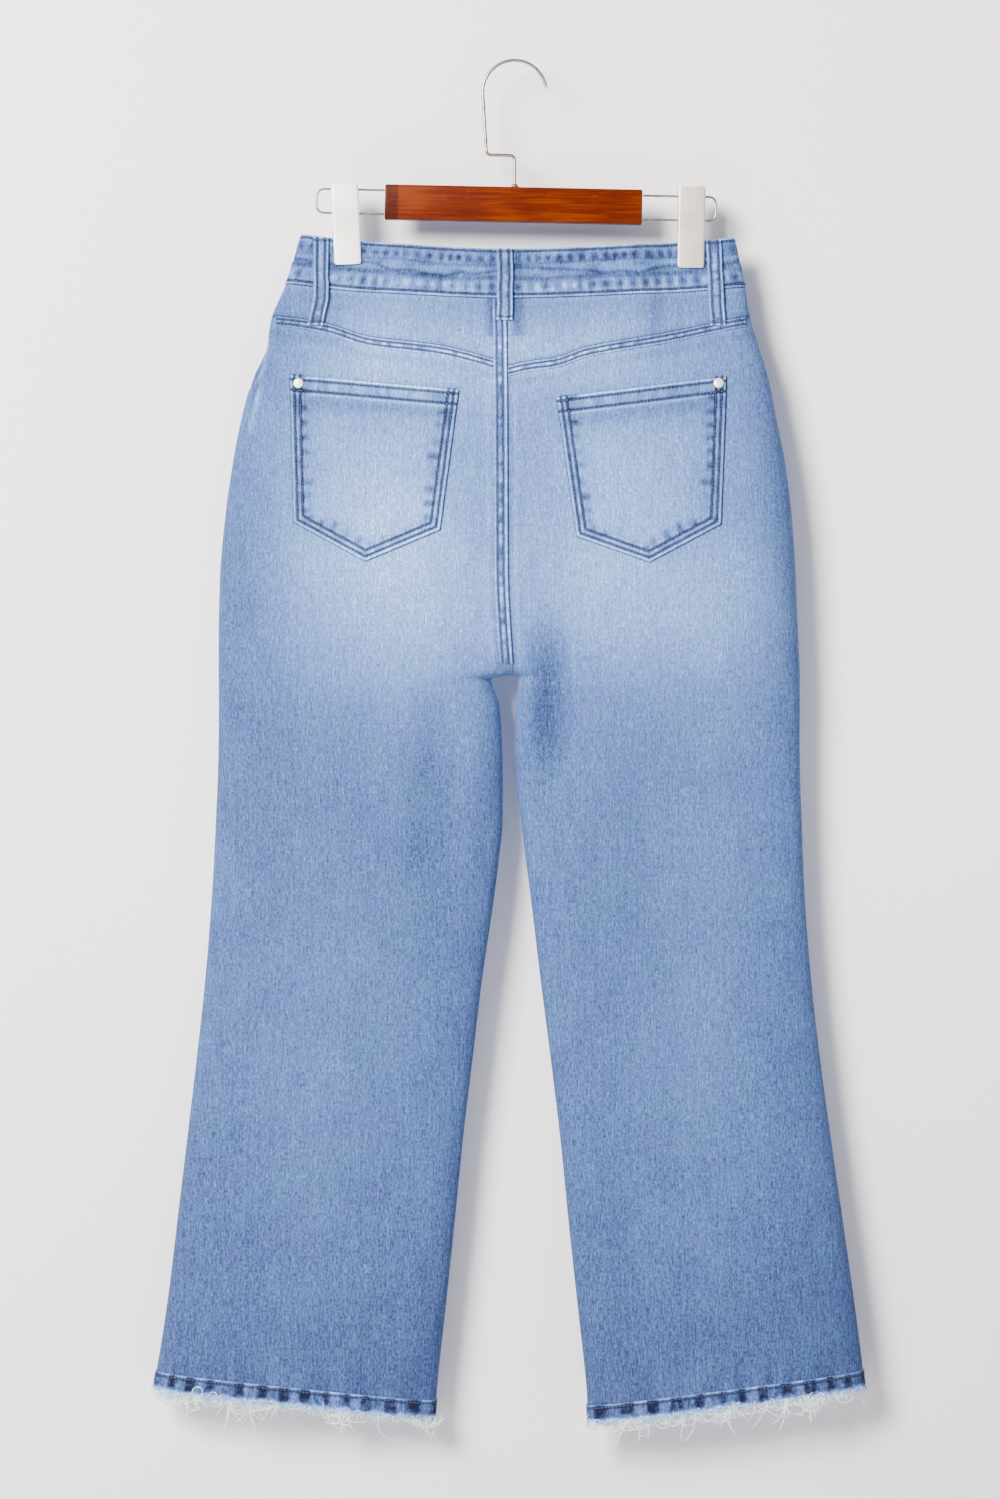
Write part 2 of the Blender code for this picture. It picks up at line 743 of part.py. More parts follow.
def make_loops():
    """Belt loops: flat strips sewn at the waistband's top edge and below its seam."""
    denim = finish("denim of the belt loops", DENIM_LIGHT)
    for name, loop in LOOPS.items():
        top_drop = waist_line(loop.face, loop.top_x)

        def place(u, v, loop=loop, top_drop=top_drop):
            if v < LOOP_BEND:
                middle = mix(loop.top_x, loop.bend_x, v / LOOP_BEND)
            else:
                middle = mix(loop.bend_x, loop.bottom_x, (v - LOOP_BEND) / (1 - LOOP_BEND))
            over_band = SEAM_CLOTH + REST_GAP
            lift = mix(WAISTBAND_PROUD, over_band, v) + LOOP_BOW * math.sin(math.pi * v)
            x = middle + (u - 0.5) * LOOP_WIDTH
            return x, mix(top_drop, loop.bottom_drop, v), lift

        patch(name, loop.face, place, even(3), even(7), LOOP_CLOTH, denim)


def make_bands():
    """The felled seams that stand proud of the cloth."""
    denim = finish("denim of the felled seams", DENIM_SEAM)
    top = waist_line(BACK, 0.0, WAISTBAND_HEIGHT) + SEAM_GAP
    end = CROTCH - SEAT_TURN / 2

    def centre_back(u, v):
        drop = mix(top, end, v)
        across = mix(-CENTRE_BAND, CENTRE_BAND_PAST, u)
        return CENTRE_X[BACK](drop) + across, drop, 0.0

    patch("seam_centre_back", BACK, centre_back, even(2), closer_at_end(16), SEAM_CLOTH, denim)

    fly_end = waist_line(FRONT, 0.0, WAISTBAND_HEIGHT) + FLY_LENGTH + FLY_GAP

    def centre_front(u, v):
        drop = mix(fly_end, end, v)
        across = mix(-CENTRE_BAND_PAST, FRONT_BAND, u)
        return CENTRE_X[FRONT](drop) + across, drop, 0.0

    patch("seam_centre_front", FRONT, centre_front, even(2), closer_at_end(10), SEAM_CLOTH, denim)

    for leg, side in ((LEFT, "left"), (RIGHT, "right")):
        clear = CENTRE_BAND if leg == LEFT else CENTRE_BAND_PAST
        seam = yoke_edge(leg, 1)
        width = abs(CENTRE_X[BACK](seam) - SIDE_X[leg](seam))
        last = 1 - (clear + SEAM_GAP) / width
        shares = [s for s in fold_shares() if 0.02 < s < last - 0.02] + [last]

        def yoke(s, v, leg=leg):
            drop = yoke_edge(leg, s)
            x = mix(SIDE_X[leg](drop), CENTRE_X[BACK](drop), s)
            return x, drop - YOKE_BAND_UP + YOKE_BAND * v, BAND_LIFT

        patch(f"seam_yoke_{side}", BACK, yoke, shares, even(1), SEAM_CLOTH, denim)


def make_back_pockets():
    """Five-sided patch pockets, each with a rivet in its outer top corner."""
    denim = finish("denim of the patch pockets", DENIM_LIGHT)
    metal = finish("nickel of the rivets", NICKEL, 0.25, 1.0)
    for leg, side in ((LEFT, "left"), (RIGHT, "right")):
        corners = POCKETS[leg]

        def place(u, v, corners=corners):
            top_x = mix(corners.outer_top.x, corners.inner_top.x, u)
            top_drop = mix(corners.outer_top.drop, corners.inner_top.drop, u)
            start, stop = (
                (corners.outer_bottom, corners.tip)
                if u < 0.5
                else (corners.tip, corners.inner_bottom)
            )
            t = (2 * u) % 1 if u < 1 else 1
            low_x, low_drop = mix(start.x, stop.x, t), mix(start.drop, stop.drop, t)
            return mix(top_x, low_x, v), mix(top_drop, low_drop, v), PATCH_LIFT

        patch(f"back_pocket_{side}", BACK, place, even(10), even(8), PATCH_CLOTH, denim)
        spot = RIVETS[leg]
        lift = REST_GAP + PATCH_LIFT + PATCH_CLOTH + REST_GAP
        add_stud(f"rivet_{side}", BACK, spot, lift, RIVET_RADIUS, RIVET_HEIGHT, metal)


def add_stud(name, face, spot, lift, radius, height, material):
    """A round metal stud with a bevelled edge, square to the cloth."""
    seat = face_point(face, spot.x, spot.drop, lift)
    outward = (face_point(face, spot.x, spot.drop, lift + 1) - seat).normalized()
    bpy.ops.mesh.primitive_cylinder_add(vertices=14, radius=radius * MM, depth=height * MM)
    stud = bpy.context.object
    stud.name = name
    turn = outward.to_track_quat("Z", "Y").to_matrix().to_4x4()
    middle = seat + outward * height / 2 + Vector((CENTRE_BACK, 0.0, 0.0))
    stud.matrix_world = Matrix.Translation(middle * MM) @ turn
    bevel = stud.modifiers.new("rounded rim", "BEVEL")
    bevel.width = 0.4 * height * MM
    bevel.segments = 2
    bevel.limit_method = "ANGLE"
    move_to_part(stud, material)


def move_to_part(made, material):
    """Moves an object that Blender's tools added into the part's collection."""
    for collection in list(made.users_collection):
        collection.objects.unlink(made)
    bpy.data.collections["flare_jeans"].objects.link(made)
    made.data.materials.append(material)
    made.data.shade_smooth()
    made.data.set_sharp_from_angle(angle=math.radians(SHARP_ANGLE))


def make_fly():
    """The J-shaped placket that covers the zip, and the waistband's button."""
    denim = finish("denim of the fly", DENIM_MID)
    metal = finish("nickel of the button", NICKEL, 0.3, 1.0)
    top = waist_line(FRONT, 0.0, WAISTBAND_HEIGHT) + SEAM_GAP

    def place(u, v):
        x = mix(-FLY_WIDTH, 1.0, u)
        bend = math.sqrt(max(0.0, 1 - (1 - u) ** 2))
        length = mix(FLY_STRAIGHT, FLY_LENGTH, bend)
        return x, mix(waist_line(FRONT, x, WAISTBAND_HEIGHT) + SEAM_GAP, top + length, v), 0.0

    across = [0.0, 0.04, 0.13, 0.3, 0.5, 0.75, 1.0]
    patch("fly_placket", FRONT, place, across, even(9), PATCH_CLOTH, denim)
    spot = Corner(0.0, waist_line(FRONT, 0.0, WAISTBAND_HEIGHT / 2))
    lift = WAISTBAND_CLOTH + WAISTBAND_PROUD + 2 * REST_GAP
    add_stud("button", FRONT, spot, lift, BUTTON_RADIUS, BUTTON_HEIGHT, metal)


def leg_ring(leg, down, lift, turns=None):
    """Points right round a leg, down from its hem edge, stood out by lift.

    turns gives fractions of the way round from the side seam over the back; without
    it the points match the panels' columns.
    """
    if turns is None:
        shares = fold_shares()
        stations = [(BACK, s) for s in shares] + [(FRONT, s) for s in reversed(shares[1:-1])]
    else:
        stations = [
            (BACK, hem_share(2 * t)) if t < 0.5 else (FRONT, hem_share(2 - 2 * t))
            for t in turns
        ]
    points = [cloth_point(leg, f, s, hem_edge(leg, s) + down) for f, s in stations]
    ring = []
    for i, point in enumerate(points):
        along = points[(i + 1) % len(points)] - points[i - 1]
        outward = Vector((along.y, -along.x, 0.0)).normalized() * -leg
        ring.append(point + outward * lift)
    return ring


def hem_share(t):
    """A share s for a fraction t of the way round half a hem, at nearly even steps of cloth."""
    if t < HEM_TURN:
        return turned_share(t / HEM_TURN)
    if t > 1 - HEM_TURN:
        return 1 - turned_share((1 - t) / HEM_TURN)
    flat = (t - HEM_TURN) / (1 - 2 * HEM_TURN)
    return mix(turned_share(1), 1 - turned_share(1), flat)


def turned_share(t):
    """A share s for a fraction t of the turn where the leg folds over at its side."""
    rise = math.sin(math.radians(HEM_TURN_ANGLE * t))
    return (1 - (1 - rise**2) ** (1 / LEG_POWER)) / 2


def make_hems():
    """The turned hems, each a band round the outside of a leg's end."""
    denim = finish("denim of the hems", DENIM_SEAM)
    for leg, side in ((LEFT, "left"), (RIGHT, "right")):
        downs = (-HEM_HEIGHT, -SEAM_GAP)
        inner = [leg_ring(leg, down, REST_GAP) for down in downs]
        outer = [leg_ring(leg, down, REST_GAP + SEAM_CLOTH) for down in downs]
        wall(f"hem_{side}", outer, inner, denim, ring=True)


def make_fringes():
    """The frayed edges: loose threads that grow from a narrow strip under each hem."""
    cotton = finish("bare white cotton threads", COTTON)
    chance = random.Random(7)
    for leg, side in ((LEFT, "left"), (RIGHT, "right")):
        turns = []
        for k in range(STRANDS_PER_LEG):
            start = (k + chance.uniform(0.05, 0.6)) / STRANDS_PER_LEG
            turns += [start, start + STRAND_ROOT]
        downs = (SEAM_GAP, FRAY_STRIP)
        outer = [leg_ring(leg, down, 0.0, turns) for down in downs]
        inner = [leg_ring(leg, down, -FRAY_CLOTH, turns) for down in downs]
        strip = wall(f"fringe_{side}", outer, inner, cotton, ring=True)
        grow_strands(strip, chance)


def grow_strands(strip, chance):
    """Draws a thread out of every narrow face under the strip, each its own length and lean."""
    bm = bmesh.new()
    bm.from_mesh(strip.data)
    under = sorted(
        (face for face in bm.faces if face.normal.z < -0.9), key=lambda face: face.calc_area()
    )
    for face in under[:STRANDS_PER_LEG]:
        length = mix(*STRAND_LENGTHS, chance.random() ** 2)
        lean = STRAND_LEAN * Vector((chance.uniform(-1, 1), chance.uniform(-1, 1), 0.0))
        for narrowed, sway in STRAND_STEPS:
            face = bmesh.ops.extrude_discrete_faces(bm, faces=[face])["faces"][0]
            centre = face.calc_center_median()
            move = (sway * lean - Vector((0.0, 0.0, length))) * (MM / len(STRAND_STEPS))
            for vert in face.verts:
                vert.co = centre + (vert.co - centre) * narrowed + move
    bm.to_mesh(strip.data)
    bm.free()


def wire(name, points, radius, material):
    """A bent wire through points in millimetres."""
    curve = bpy.data.curves.new(name, "CURVE")
    curve.dimensions = "3D"
    curve.bevel_depth = radius * MM
    curve.bevel_resolution = 2
    curve.use_fill_caps = True
    spline = curve.splines.new("POLY")
    spline.points.add(len(points) - 1)
    for slot, point in zip(spline.points, points):
        slot.co = (*(Vector(point) * MM), 1.0)
    made = bpy.data.objects.new(name, curve)
    bpy.data.collections["flare_jeans"].objects.link(made)
    curve.materials.append(material)
    return made


def rounded_route(corners, radius, steps=4):
    """The corners of a route in the XZ plane, each rounded to an arc of that radius."""
    route = [Vector(corners[0])]
    for before, corner, after in zip(corners, corners[1:], corners[2:]):
        corner = Vector(corner)
        back = (Vector(before) - corner).normalized()
        ahead = (Vector(after) - corner).normalized()
        half = back.angle(ahead) / 2
        reach = radius / math.tan(half)
        centre = corner + (back + ahead).normalized() * (radius / math.sin(half))
        first = (corner + back * reach - centre).normalized()
        last = (corner + ahead * reach - centre).normalized()
        for k in range(steps + 1):
            route.append(centre + first.slerp(last, k / steps) * radius)
    route.append(Vector(corners[-1]))
    return route


def make_hook():
    """The hook: a round crook, a cranked neck and a foot that stands on the bar's collar."""
    steel = finish("nickel-plated wire of the hook", NICKEL, 0.25, 1.0)
    centre = Vector((0.0, 0.0, -(HOOK_RADIUS - WIRE_RADIUS)))
    points = []
    for k in range(17):
        angle = math.radians(mix(HOOK_END_ANGLE, 180.0, k / 16))
        points.append(centre + HOOK_RADIUS * Vector((math.cos(angle), 0.0, math.sin(angle))))
    foot = BAR_CENTRE[2] + BAR_SIZE[2] / 2 + COLLAR_HEIGHT + 2 * REST_GAP
    corners = [
        points[-1],
        (HOOK_NECK_X, 0.0, -HOOK_NECK_DROP),
        (0.0, 0.0, -HOOK_SHOULDER_DROP),
        (0.0, 0.0, foot),
    ]
    points += rounded_route(corners, HOOK_BEND)[1:]
    wire("hanger_hook", points, WIRE_RADIUS, steel)


def hanger_turn():
    """The hanger's own frame, tilted a little because the cloth pulls it askew."""
    return Matrix.Translation(Vector(BAR_CENTRE) * MM) @ Matrix.Rotation(
        math.radians(BAR_TILT), 4, "Y"
    )


def make_bar():
    """The wood bar and the collar that the hook stands in."""
    wood = finish("stained and lacquered wood", WOOD, 0.35)
    bpy.ops.mesh.primitive_cube_add(size=1)
    bar = bpy.context.object
    bar.name = "hanger_bar"
    bar.data.transform(Matrix.Diagonal((*(Vector(BAR_SIZE) * MM), 1.0)))
    bar.matrix_world = hanger_turn()
    bevel = bar.modifiers.new("eased edges", "BEVEL")
    bevel.width = BAR_EASE * MM
    bevel.segments = 2
    move_to_part(bar, wood)

    metal = finish("nickel of the collar", NICKEL, 0.3, 1.0)
    low_radius, high_radius = COLLAR_RADII
    bpy.ops.mesh.primitive_cone_add(
        vertices=16, radius1=low_radius * MM, radius2=high_radius * MM, depth=COLLAR_HEIGHT * MM
    )
    collar = bpy.context.object
    collar.name = "hanger_collar"
    seat = (BAR_SIZE[2] + COLLAR_HEIGHT) / 2 + REST_GAP
    collar.matrix_world = hanger_turn() @ Matrix.Translation(
        Vector((-BAR_CENTRE[0], 0.0, seat)) * MM
    )
    move_to_part(collar, metal)


def make_rails():
    """The two wire rails that the clips slide on, each a long hairpin from the bar's end."""
    steel = finish("nickel-plated wire of the rails", NICKEL, 0.25, 1.0)
    for leg, side in ((LEFT, "left"), (RIGHT, "right")):
        start = leg * (BAR_SIZE[0] / 2 + REST_GAP)
        end = leg * RAIL_REACH[leg]
        half = RAIL_SPACING / 2
        corners = [(start, 0, half), (end, 0, half), (end, 0, -half), (start, 0, -half)]
        rail = wire(f"hanger_rail_{side}", rounded_route(corners, RAIL_CORNER), RAIL_RADIUS, steel)
        rail.matrix_world = hanger_turn()


def jaw_depths(height):
    """How far a jaw's outer face and its flange's edge stand from the middle plane."""
    pad = CLIP_PLATE + PINCHED + WAISTBAND_PROUD + CLIP_CLEAR
    grip_from = -CLIP_LENGTH / 2 + CLIP_BITE
    t = smooth_step((height - grip_from) / (CLIP_LENGTH / 2 - grip_from) * 1.6)
    face = mix(pad, CLIP_TOP_DEPTH, t)
    grip_edge, rail_edge = face - CLIP_PLATE - CLIP_CLEAR / 2, RAIL_RADIUS + REST_GAP
    flange = mix(grip_edge, rail_edge, smooth_step(t * 1.5))
    return face, flange


def jaw_line(half_width, out, flange, bend, face, height):
    """The channel section of a jaw at one height, from one flange's edge to the other's."""
    right = [(half_width - bend, out), (half_width, out - bend), (half_width, flange)]
    corners = [(-x, y) for x, y in reversed(right)] + right
    return [Vector((x - CENTRE_BACK, face * y, height)) for x, y in corners]


def make_clips():
    """Two spring clips, each with a jaw on either side of the waistband."""
    metal = finish("nickel of the clips", NICKEL, 0.35, 1.0)
    for leg, side in ((LEFT, "left"), (RIGHT, "right")):
        clip = CLIPS[leg]
        turn = Matrix.Translation(Vector((clip.x, 0.0, -clip.drop)) * MM)
        turn = turn @ Matrix.Rotation(math.radians(clip.tilt), 4, "Y")
        for face, word in ((BACK, "back"), (FRONT, "front")):
            outer, inner = [], []
            for share in CLIP_HEIGHTS:
                height = CLIP_LENGTH * share
                wide = CLIP_WIDTH / 2 - (CLIP_END_IN if abs(share) == 0.5 else 0.0)
                out, flange = jaw_depths(height)
                outer.append(jaw_line(wide, out, flange, CLIP_BEND_OUT, face, height))
                wide, out = wide - CLIP_PLATE, out - CLIP_PLATE
                inner.append(jaw_line(wide, out, flange, CLIP_BEND_IN, face, height))
            jaw = wall(f"clip_{side}_jaw_{word}", outer, inner, metal)
            jaw.matrix_world = turn
        add_spring(f"clip_{side}_spring", turn, metal)


def add_spring(name, turn, material):
    """The coil between the rails that holds a clip's jaws shut."""
    face, _ = jaw_depths(SPRING_HEIGHT)
    radius = face - CLIP_PLATE - REST_GAP
    bpy.ops.mesh.primitive_cylinder_add(
        vertices=16, radius=radius * MM, depth=SPRING_LENGTH * MM
    )
    spring = bpy.context.object
    spring.name = name
    spring.data.transform(Matrix.Rotation(math.radians(90), 4, "Y"))
    spring.matrix_world = turn @ Matrix.Translation((0.0, 0.0, SPRING_HEIGHT * MM))
    move_to_part(spring, material)


def clear_scene():
    for old in list(bpy.data.objects):
        bpy.data.objects.remove(old, do_unlink=True)
    collection = bpy.data.collections.new("flare_jeans")
    bpy.context.scene.collection.children.link(collection)


def main():
    clear_scene()
    make_legs()
    make_yokes()
    make_pocket_facings()
    make_waistband()
    make_loops()
    make_bands()
    make_back_pockets()
    make_fly()
    make_hems()
    make_fringes()
    make_hook()
    make_bar()
    make_rails()
    make_clips()


main()
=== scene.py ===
"""Light-wash flare jeans on a clip hanger, dressed for a close look.

The jeans hang flat by two clips with the seat towards the camera. Every cloth piece
is a thin closed sheet on the garment's own surface, which is worked out here from a
few sizes: "drop" runs down from the hook, "x" runs right from the centre back seam,
and "lift" stands out from the cloth. Those three, and all sizes, are in millimetres.
"""

import logging
import math
from collections.abc import Callable, Sequence
from dataclasses import dataclass, field
from enum import Enum, IntEnum
from functools import partial
from typing import NamedTuple

import bpy
import numpy as np
from mathutils import Matrix, Vector


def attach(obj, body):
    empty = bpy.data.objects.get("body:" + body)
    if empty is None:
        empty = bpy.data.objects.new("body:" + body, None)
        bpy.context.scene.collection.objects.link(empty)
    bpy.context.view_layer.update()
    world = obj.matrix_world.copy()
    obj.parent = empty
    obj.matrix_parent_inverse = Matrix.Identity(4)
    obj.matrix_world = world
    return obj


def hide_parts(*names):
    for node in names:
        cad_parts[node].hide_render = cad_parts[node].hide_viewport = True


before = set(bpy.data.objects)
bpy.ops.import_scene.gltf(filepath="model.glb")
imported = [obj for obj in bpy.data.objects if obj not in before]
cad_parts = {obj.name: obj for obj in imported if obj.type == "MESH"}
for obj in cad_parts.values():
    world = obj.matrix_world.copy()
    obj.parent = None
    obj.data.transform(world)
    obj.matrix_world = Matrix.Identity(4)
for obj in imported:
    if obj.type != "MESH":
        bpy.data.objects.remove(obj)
log = logging.getLogger("flare_jeans")

Array = np.ndarray
Curve = Callable[[Array], Array]

MM = 0.001
BODY = "root"


class Sign(IntEnum):
    """One of two opposites, as the sign of the axis that it lies on."""

    @property
    def word(self) -> str:
        """The name as the nodes spell it."""
        return self.name.lower()


class Side(Sign):
    """The wearer's leg as the photograph shows it, left or right of the centre back."""

    LEFT = -1
    RIGHT = 1


class Face(Sign):
    """The two faces of the flat garment."""

    BACK = -1
    FRONT = 1


class Slot(Enum):
    """The record's material slots."""

    DENIM = "denim"
    FADED = "faded_denim"
    SEAM = "seam_denim"
    COTTON = "cotton"
    NICKEL = "nickel"
    WIRE = "wire"
    WOOD = "wood"


class Level(NamedTuple):
    """The outline at one drop: the four edges' x, and half the depth."""

    drop: float
    left_side: float
    left_inner: float
    right_inner: float
    right_side: float
    depth: float


class Edge(NamedTuple):
    """The drops of a cross seam at its side and at its centre or inner end."""

    side: float
    centre: float


class Fold(NamedTuple):
    """A crease along a straight line, a ridge above 0 and a trough below."""

    x0: float
    drop0: float
    x1: float
    drop1: float
    half_width: float
    height: float


class Fade(NamedTuple):
    """A soft oval, mostly from washing and in a few places painted shade and light: how much paler,
    or darker below 0.
    """

    x: float
    drop: float
    reach_x: float
    reach_drop: float
    change: float


class Spot(NamedTuple):
    """A place on the cloth."""

    x: float
    drop: float


class Pocket(NamedTuple):
    """The five corners of a patch pocket."""

    outer_top: Spot
    inner_top: Spot
    inner_bottom: Spot
    tip: Spot
    outer_bottom: Spot


class Loop(NamedTuple):
    """A belt loop's middle line from the waistband's edge down."""

    face: Face
    top_x: float
    bend_x: float
    bottom_x: float
    bottom_drop: float


class Clip(NamedTuple):
    """A clip's middle in the world, and its tilt in degrees."""

    x: float
    drop: float
    tilt: float


# The centre back seam's place in the world, and the drop at which the legs part
CENTRE_BACK = -8.0
CROTCH = 515.0
# The bend from seat to legs, the notch between the legs, and how square a section is
SEAT_TURN = 20.0
NOTCH = 3.0
LEG_POWER = 5
SEAT_POWER = 10
# The gaps between cut edges and between layers, and the thickness of the narrow strips
SEAM_GAP = 0.4
REST_GAP = 0.35
SEAM_CLOTH = 0.8
# How pale the cloth's inside is, and the bend from which an edge is shaded as sharp
INSIDE_WASH = 0.78
SHARP_EDGE = math.radians(50)

OUTLINE = (
    Level(145, -170.5, -12.0, 11.5, 191.5, 11.0),
    Level(186, -183.8, -12.0, 11.5, 200.8, 12.5),
    Level(217, -196.6, -12.0, 11.5, 206.6, 15.5),
    Level(238, -200.0, -12.0, 11.5, 213.0, 18.0),
    Level(267, -212.5, -12.0, 11.5, 221.8, 20.5),
    Level(301, -221.8, -12.0, 11.5, 228.5, 22.5),
    Level(334, -228.2, -12.0, 11.5, 235.2, 24.5),
    Level(385, -235.4, -12.0, 11.5, 241.5, 26.0),
    Level(435, -239.6, -12.0, 11.5, 244.6, 26.0),
    Level(486, -240.6, -12.0, 11.5, 246.6, 24.5),
    Level(516, -240.6, -12.0, 11.5, 247.8, 23.0),
    Level(540, -240.4, -4.4, 9.0, 247.8, 22.0),
    Level(570, -240.6, -2.4, 8.4, 247.6, 21.0),
    Level(604, -241.4, -1.8, 9.4, 248.2, 20.0),
    Level(637, -242.8, -2.0, 13.4, 249.4, 19.0),
    Level(671, -244.4, -5.2, 17.6, 250.6, 18.5),
    Level(704, -246.4, -9.4, 21.8, 252.2, 18.0),
    Level(771, -251.8, -19.2, 29.8, 257.4, 17.0),
    Level(838, -259.2, -27.2, 38.4, 265.0, 16.5),
    Level(905, -267.2, -35.2, 46.4, 274.0, 16.5),
    Level(973, -275.4, -42.0, 53.2, 283.8, 17.0),
    Level(1040, -283.6, -49.0, 60.4, 293.2, 18.0),
    Level(1090, -291.2, -54.6, 66.0, 299.6, 19.0),
    Level(1114, -295.2, -57.0, 68.4, 302.2, 19.5),
    Level(1145, -299.0, -59.4, 70.0, 305.0, 20.0),
)
CENTRE_BACK_LINE = ((145, 0.0), (300, 1.5), (430, 2.0), (485, 4.6), (515, 7.0))
CENTRE_FRONT_LINE = ((145, 0.0), (300, 0.0), (430, 0.5), (485, 4.0), (515, 7.0))
LEFT_SWING = ((145, 0.0), (516, 0.0), (700, -2.0), (900, 1.0), (1145, 4.0))
RIGHT_SWING = ((145, 0.0), (516, 0.0), (700, 2.0), (900, 0.5), (1145, -3.0))

WAIST_TOP = {
    (Side.LEFT, Face.BACK): Edge(145.0, 158.2),
    (Side.RIGHT, Face.BACK): Edge(148.0, 158.2),
    (Side.LEFT, Face.FRONT): Edge(145.0, 170.0),
    (Side.RIGHT, Face.FRONT): Edge(148.0, 170.0),
}
WAISTBAND_HEIGHT = 41.8
WAIST_MIDDLE = 170.0
WAIST_CURVE = 1.6
HEM = {Side.LEFT: Edge(1114.7, 1139.0), Side.RIGHT: Edge(1113.0, 1142.4)}
HEM_HEIGHT = 15.5
YOKE_SEAM = {
    Side.LEFT: (
        (-205.0, 213.0),
        (-153.0, 220.5),
        (-111.0, 233.0),
        (-54.0, 240.5),
        (-25.0, 247.5),
        (10.0, 258.5),
    ),
    Side.RIGHT: (
        (-10.0, 261.0),
        (19.0, 254.0),
        (43.0, 250.5),
        (67.5, 242.0),
        (124.0, 231.5),
        (188.0, 218.0),
        (215.0, 213.0),
    ),
}

FOLDS = {
    Face.BACK: (
        Fold(34, 470, 40, 640, 13, -5.0),
        Fold(16, 535, 20, 660, 9, 1.5),
        Fold(-22, 535, -28, 700, 10, 2.0),
        Fold(-46, 520, -60, 700, 15, -3.5),
        Fold(-170, 540, -205, 1000, 24, -2.4),
        Fold(-120, 640, -160, 1100, 22, 2.0),
        Fold(-80, 900, -110, 1130, 16, -1.8),
        Fold(110, 560, 160, 1010, 24, -2.4),
        Fold(190, 620, 235, 1080, 20, 2.0),
        Fold(90, 800, 118, 1130, 16, -2.0),
        Fold(-135, 180, -128, 262, 12, -1.8),
        Fold(160, 180, 150, 262, 12, -1.8),
    ),
    Face.FRONT: (
        Fold(12, 505, 96, 420, 10, -3.5),
        Fold(0, 500, -84, 412, 10, -3.0),
        Fold(22, 540, 112, 500, 12, -2.6),
        Fold(-14, 545, -104, 492, 11, -2.6),
        Fold(-150, 600, -185, 1020, 24, -2.4),
        Fold(-105, 700, -140, 1110, 20, 2.0),
        Fold(140, 560, 190, 1000, 24, -2.6),
        Fold(90, 720, 140, 1120, 20, 1.8),
        Fold(-135, 180, -120, 285, 13, -2.0),
        Fold(160, 180, 140, 290, 13, -2.0),
    ),
}
# Small creases that only the dressed cloth has, shallow enough to stay near its solid
SOFT_FOLDS = {
    Face.BACK: (
        Fold(-30, 585, -36, 760, 6, 1.1),
        Fold(-58, 560, -44, 700, 7, -0.9),
        Fold(24, 640, 44, 800, 8, -1.2),
        Fold(58, 560, 84, 690, 12, -0.9),
        Fold(-215, 300, -226, 470, 9, 0.9),
        Fold(214, 300, 230, 470, 9, 0.9),
        Fold(-60, 450, -8, 500, 8, -0.7),
        Fold(18, 500, 60, 462, 7, -0.8),
        Fold(-150, 740, -60, 760, 10, 0.5),
        Fold(60, 770, 190, 752, 12, 0.5),
        Fold(-206, 880, -120, 905, 11, -0.5),
        Fold(110, 900, 240, 884, 12, -0.5),
        Fold(-235, 1010, -214, 1100, 9, 0.9),
        Fold(-120, 1030, -126, 1110, 7, 0.7),
        Fold(150, 1040, 160, 1105, 8, -0.8),
        Fold(262, 1000, 276, 1095, 8, 0.9),
    ),
    Face.FRONT: (
        Fold(30, 470, 130, 452, 5, 0.9),
        Fold(-24, 472, -126, 450, 5, 0.9),
        Fold(34, 440, 120, 400, 4, -0.7),
        Fold(-24, 440, -112, 398, 4, -0.7),
        Fold(50, 560, 150, 570, 8, 0.7),
        Fold(-46, 566, -150, 572, 8, 0.7),
        Fold(-150, 770, -60, 790, 12, 0.6),
        Fold(60, 782, 190, 760, 12, 0.6),
        Fold(-216, 1000, -206, 1098, 9, 0.9),
        Fold(240, 990, 262, 1095, 9, 0.9),
    ),
}
POCKETS = {
    Side.LEFT: Pocket(
        Spot(-180.0, 264.3),
        Spot(-38.2, 276.8),
        Spot(-53.9, 394.5),
        Spot(-116.7, 420.9),
        Spot(-176.6, 388.2),
    ),
    Side.RIGHT: Pocket(
        Spot(185.3, 265.6),
        Spot(42.6, 283.1),
        Spot(59.3, 400.1),
        Spot(120.5, 421.7),
        Spot(180.4, 389.6),
    ),
}
LOOPS = {
    "loop_centre_back": Loop(Face.BACK, 0.0, 0.0, -0.6, 218.4),
    "loop_back_left": Loop(Face.BACK, -154.6, -155.0, -159.6, 222.4),
    "loop_back_right": Loop(Face.BACK, 175.0, 177.6, 178.8, 222.6),
    "loop_front_left": Loop(Face.FRONT, -104.0, -104.6, -105.0, 226.0),
    "loop_front_right": Loop(Face.FRONT, 112.0, 112.6, 113.0, 226.0),
}
CLIPS = {Side.LEFT: Clip(-141.2, 136.6, -2.4), Side.RIGHT: Clip(148.4, 139.4, 0.9)}
# Half the garment's depth in a clip, and how far aside and down the pinch is felt
PINCHED = 2.9
PINCH_REACH = 32.0
PINCH_FROM = 172.0
PINCH_FADE = 120.0
